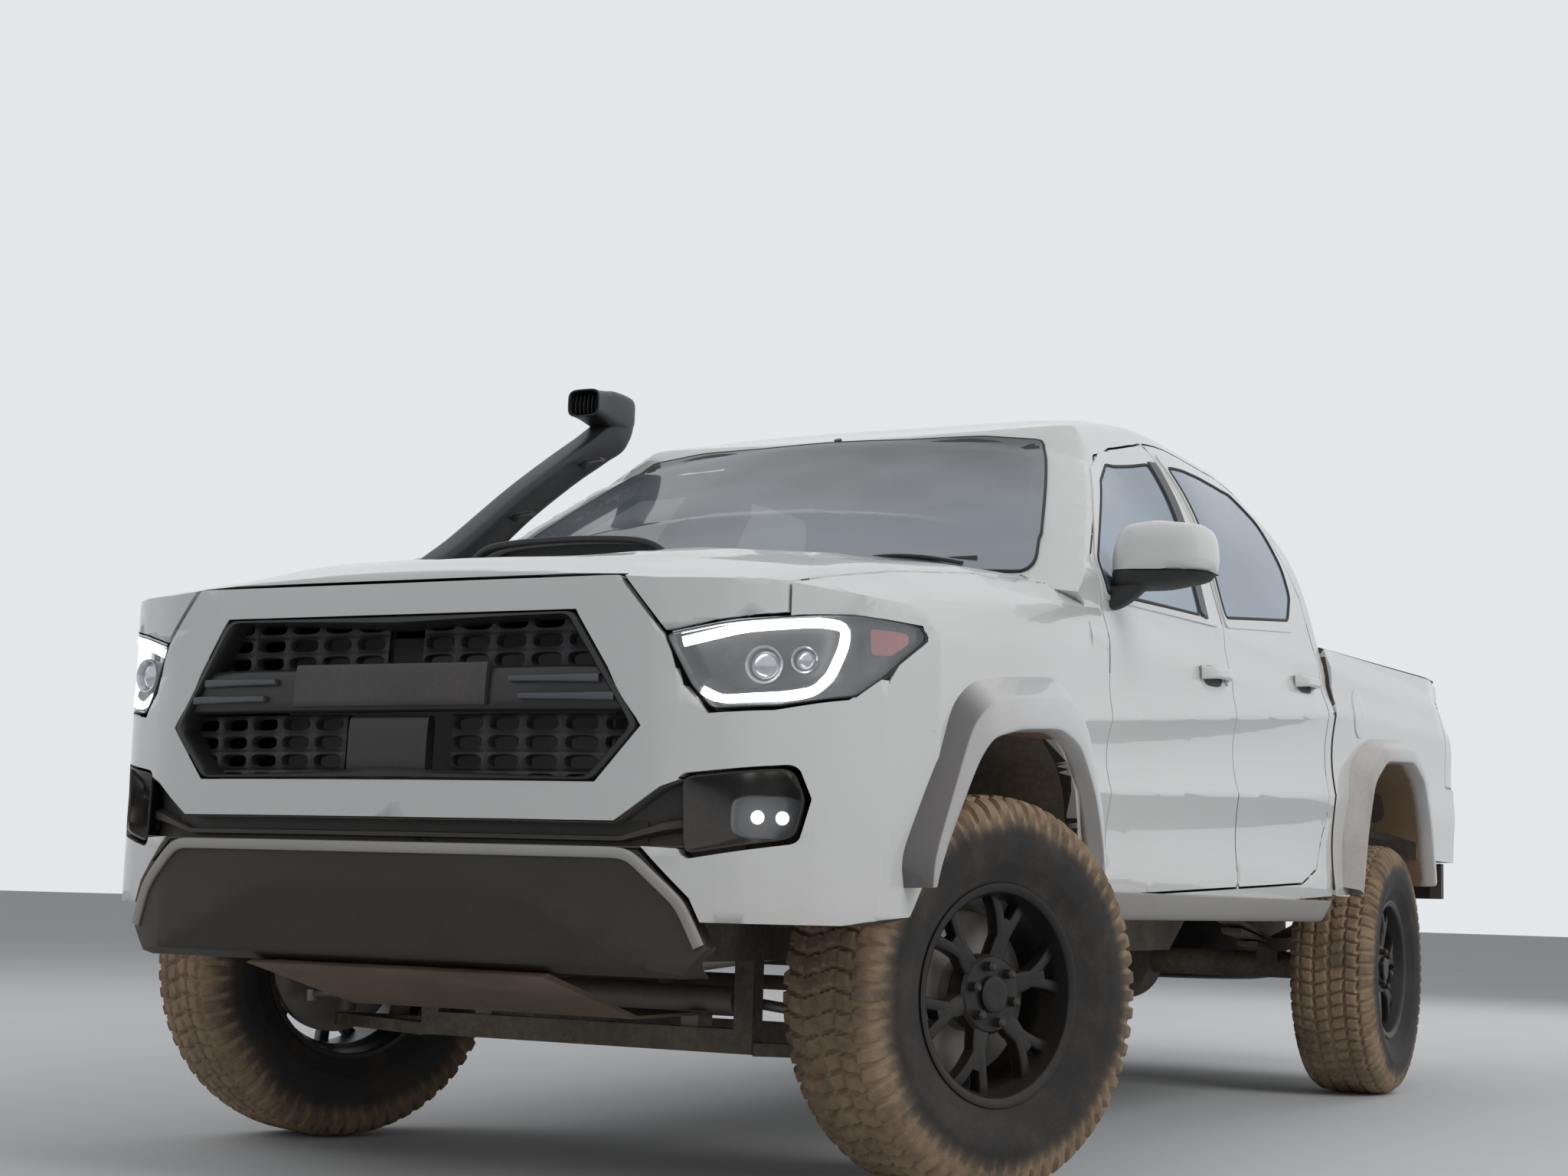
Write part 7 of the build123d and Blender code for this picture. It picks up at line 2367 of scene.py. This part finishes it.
@dataclass
class Cabin:
    """Cabin: seats, steering wheel, dashboard dressing and inner mirror.

    Attributes:
        hub: the steering wheel's centre.
        tilt: its tilt in radians.
        ring: its radius.
    """

    hub: tuple = (0.370, -0.790, 1.130)
    tilt: float = math.radians(25)
    ring: float = 0.180

    def build(self) -> None:
        """Builds the cabin's pieces."""
        Seat("seat_left", 0.395, 0.245, -0.585, -0.110, 0.955, node="front_seats").build()
        Seat("seat_right", -0.395, 0.245, -0.585, -0.110, 0.955).build()
        Seat("seat_rear", 0.0, 0.625, 0.215, 0.630, 0.960, lean=0.10, tall=0.50, node="rear_seat").build()
        matrix = frame_at(self.hub, (0, math.cos(self.tilt), math.sin(self.tilt)))
        wheel = self.wheel().moved(matrix)
        put("steering_ring", wheel, Look.HIDE, "trim", "steering_wheel", ["steering_wheel"])
        put("inner_mirror", self.mirror(), Look.SATIN, "gloss_black")
        put("dash_vents", self.vents(), Look.SATIN, "gloss_black", sharp=50)
        path = xyz(np.linspace(-0.11, 0.11, 24), -0.925, 1.302)
        screen = tube(path, 0.008, 0.056, 7.0, up=(0, -0.25, 1), sides=28)
        put("dash_screen", screen, Look.PLATE, "gloss_black", sharp=50)

    def wheel(self) -> Shape:
        """Ring, three spokes and hub pad about the +x axis, which faces the driver."""
        turn = full_turn(96)
        circle = xyz(0.0, self.ring * np.cos(turn), self.ring * np.sin(turn))
        shapes = [tube(circle, 0.0135 + 0.0015 * np.cos(4 * turn), 0.0165, 2.2, up=(1, 0, 0), closed=True)]
        r = np.linspace(0.03, self.ring - 0.004, 20)
        wide = np.interp(r, [0.03, 0.09, self.ring], [0.032, 0.016, 0.020])
        for angle in (0.06, math.pi - 0.06, -math.pi / 2):
            path = xyz(-0.012 * (1 - r / self.ring), r * math.cos(angle), r * math.sin(angle))
            shapes.append(tube(path, wide, 0.007, 3.0, up=(1, 0, 0), sides=16))
        ring = oval(56, 2.8)
        rows = []
        for scale, x in (
            (0.2, -0.040), (0.85, -0.036), (1.0, -0.015), (0.97, 0.004), (0.85, 0.012), (0.4, 0.018),
            (0.05, 0.019),
        ):
            rows.append(xyz(x, 0.085 * scale * ring[:, 0], 0.062 * scale * ring[:, 1] - 0.004))
        shapes.append(closed_tube(np.stack(rows)))
        return joined(shapes)

    def mirror(self) -> Shape:
        """Rear-view mirror on its stalk from the screen's head."""
        glass = tube(xyz(np.linspace(-0.125, 0.125, 30), -0.745, 1.640), 0.012, 0.036, 3.5, sides=24)
        line = resample(mm((0, -752, 1645), (0, -790, 1690), (0, -815, 1735)), 12)
        return glass + tube(line, 0.010, 0.008, 2.5, up=(0, 1, 0), sides=12)

    def vents(self) -> Shape:
        """Slatted vents on the dashboard's face."""
        shapes = []
        for x0 in (-0.66, -0.09, 0.09, 0.66):
            for k in range(4):
                x = np.linspace(x0 - 0.055, x0 + 0.055, 12)
                slat = xyz(x, -0.884 - 0.012 * k, 1.172 + 0.014 * k)
                shapes.append(tube(slat, 0.008, 0.0022, 3.0, sides=8))
        return joined(shapes)


# Kept CAD nodes and stage


@dataclass
class Dressing:
    """Finish of each CAD node that keeps its own mesh.

    Attributes:
        looks: finish, and the nodes that have it; all others are painted.
    """

    looks: tuple = (
        (Look.SKID, "skid_plate"),
        (Look.PLASTIC, "rear_bumper fuel_tank"),
        (Look.CHASSIS, "frame hitch_receiver front_suspension rear_axle leaf_springs"),
        (Look.CAST, "engine radiator steering_rack front_axle knuckle_left knuckle_right"),
        (Look.STEEL, "drive_shafts tie_rods"),
        (Look.PIPE, "exhaust"),
        (Look.LINER, "wheel_liners"),
        (Look.CABIN, "dashboard"),
        (Look.TREAD, "spare_wheel"),
    )

    def build(self) -> None:
        """Gives every CAD node a procedural finish."""
        looks = {name: look for look, names in self.looks for name in names.split()}
        for name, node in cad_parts.items():
            look = looks.get(name, Look.PAINT)
            node.data.materials.clear()
            node.data.materials.append(look.material)
            log.info("%s: %s", name, look.name)


@dataclass
class Studio:
    """Floor, backdrop, lights and camera.

    Attributes:
        eye: camera place.
        right: image's right.
        up: image's up.
        ahead: direction that the camera looks in.
        lens: focal length in mm on a 36 mm sensor.
    """

    eye: tuple = (2.624, -6.249, 0.577)
    right: tuple = (0.89246761, 0.45014076, 0.02957806)
    up: tuple = (0.03073995, -0.12609896, 0.99154128)
    ahead: tuple = (-0.45006291, 0.88400925, 0.12637654)
    lens: float = 54.69

    def build(self) -> None:
        """Builds the studio."""
        self.camera()
        self.floor()
        self.lights()
        bpy.context.scene.view_settings.view_transform = "Standard"

    def camera(self) -> None:
        """Places the camera at the photograph's angle."""
        data = bpy.data.cameras.new("camera")
        data.lens = self.lens
        data.sensor_width = 36.0
        data.clip_end = 200.0
        eye = placed("camera", data)
        columns = [self.right, self.up, tuple(-a for a in self.ahead), self.eye]
        eye.matrix_world = Matrix([[c[k] for c in columns] for k in range(3)] + [[0, 0, 0, 1]])
        bpy.context.scene.camera = eye

    def floor(self) -> None:
        """Pale floor, a wide disc under the truck."""
        radius = np.linspace(0.01, 60.0, 12)[:, None]
        turn = full_turn(72)[None]
        sheet = surface(xyz(radius * np.cos(turn), radius * np.sin(turn), 0.0), round_v=True)
        mesh = bpy.data.meshes.new("floor")
        mesh.from_pydata(sheet.points.tolist(), [], [tuple(f) for f in sheet.faces[0].tolist()])
        graph = Graph("floor_pale")
        tone = graph.noise(0.8, 4.0)
        graph.set(Base_Color=graph.mix(tone, (0.60, 0.61, 0.62), (0.66, 0.665, 0.67)), Roughness=0.8)
        mesh.materials.append(graph.material)
        piece = placed("floor", mesh)

    def lights(self) -> None:
        """Pale world and four large soft lamps."""
        world = bpy.data.worlds.new("studio")
        bpy.context.scene.world = world
        world.use_nodes = True
        nodes, links = world.node_tree.nodes, world.node_tree.links
        back = nodes["Background"]
        back.inputs["Color"].default_value = (0.80, 0.83, 0.87, 1)
        back.inputs["Strength"].default_value = 0.30
        seen = nodes.new("ShaderNodeBackground")
        seen.inputs["Color"].default_value = (0.78, 0.80, 0.82, 1)
        seen.inputs["Strength"].default_value = 1.0
        rays = nodes.new("ShaderNodeLightPath")
        first = back
        for kind in ("Is Camera Ray", "Is Glossy Ray", "Is Transmission Ray"):
            blend = nodes.new("ShaderNodeMixShader")
            links.new(rays.outputs[kind], blend.inputs[0])
            links.new(first.outputs[0], blend.inputs[1])
            links.new(seen.outputs[0], blend.inputs[2])
            first = blend
        links.new(first.outputs[0], nodes["World Output"].inputs["Surface"])
        for name, place, size, power in (
            ("key", (7.5, -2.5, 6.5), 5.0, 380.0),
            ("front", (-1.0, -9.0, 5.5), 6.0, 85.0),
            ("fill", (-6.5, -1.5, 5.5), 6.0, 140.0),
            ("rear", (1.0, 8.0, 5.5), 5.0, 200.0),
        ):
            data = bpy.data.lights.new(name, "AREA")
            data.size = size
            data.energy = power
            lamp = placed(name, data)
            lamp.visible_glossy = False
            lamp.location = place
            lamp.rotation_euler = (Vector((0, 0, 0.9)) - Vector(place)).to_track_quat("-Z", "Y").to_euler()


def main() -> None:
    """Builds the truck in order."""
    logging.basicConfig(level=logging.INFO, format="%(message)s", force=True)
    Studio().build()
    form = BodyForm()
    Dressing().build()
    Panels(form).build()
    for side in Side:
        for front in (True, False):
            Wheel(side, front).build()
        for kind in (Headlamp, FogLamp, Mirror, SideTrim):
            kind(form, side).build()
    Grille(form).build()
    NoseTrim(form).build()
    Snorkel().build()
    for side in Side:
        Tail(form, side).build()
    Cabin().build()


if __name__ == "__main__":
    main()
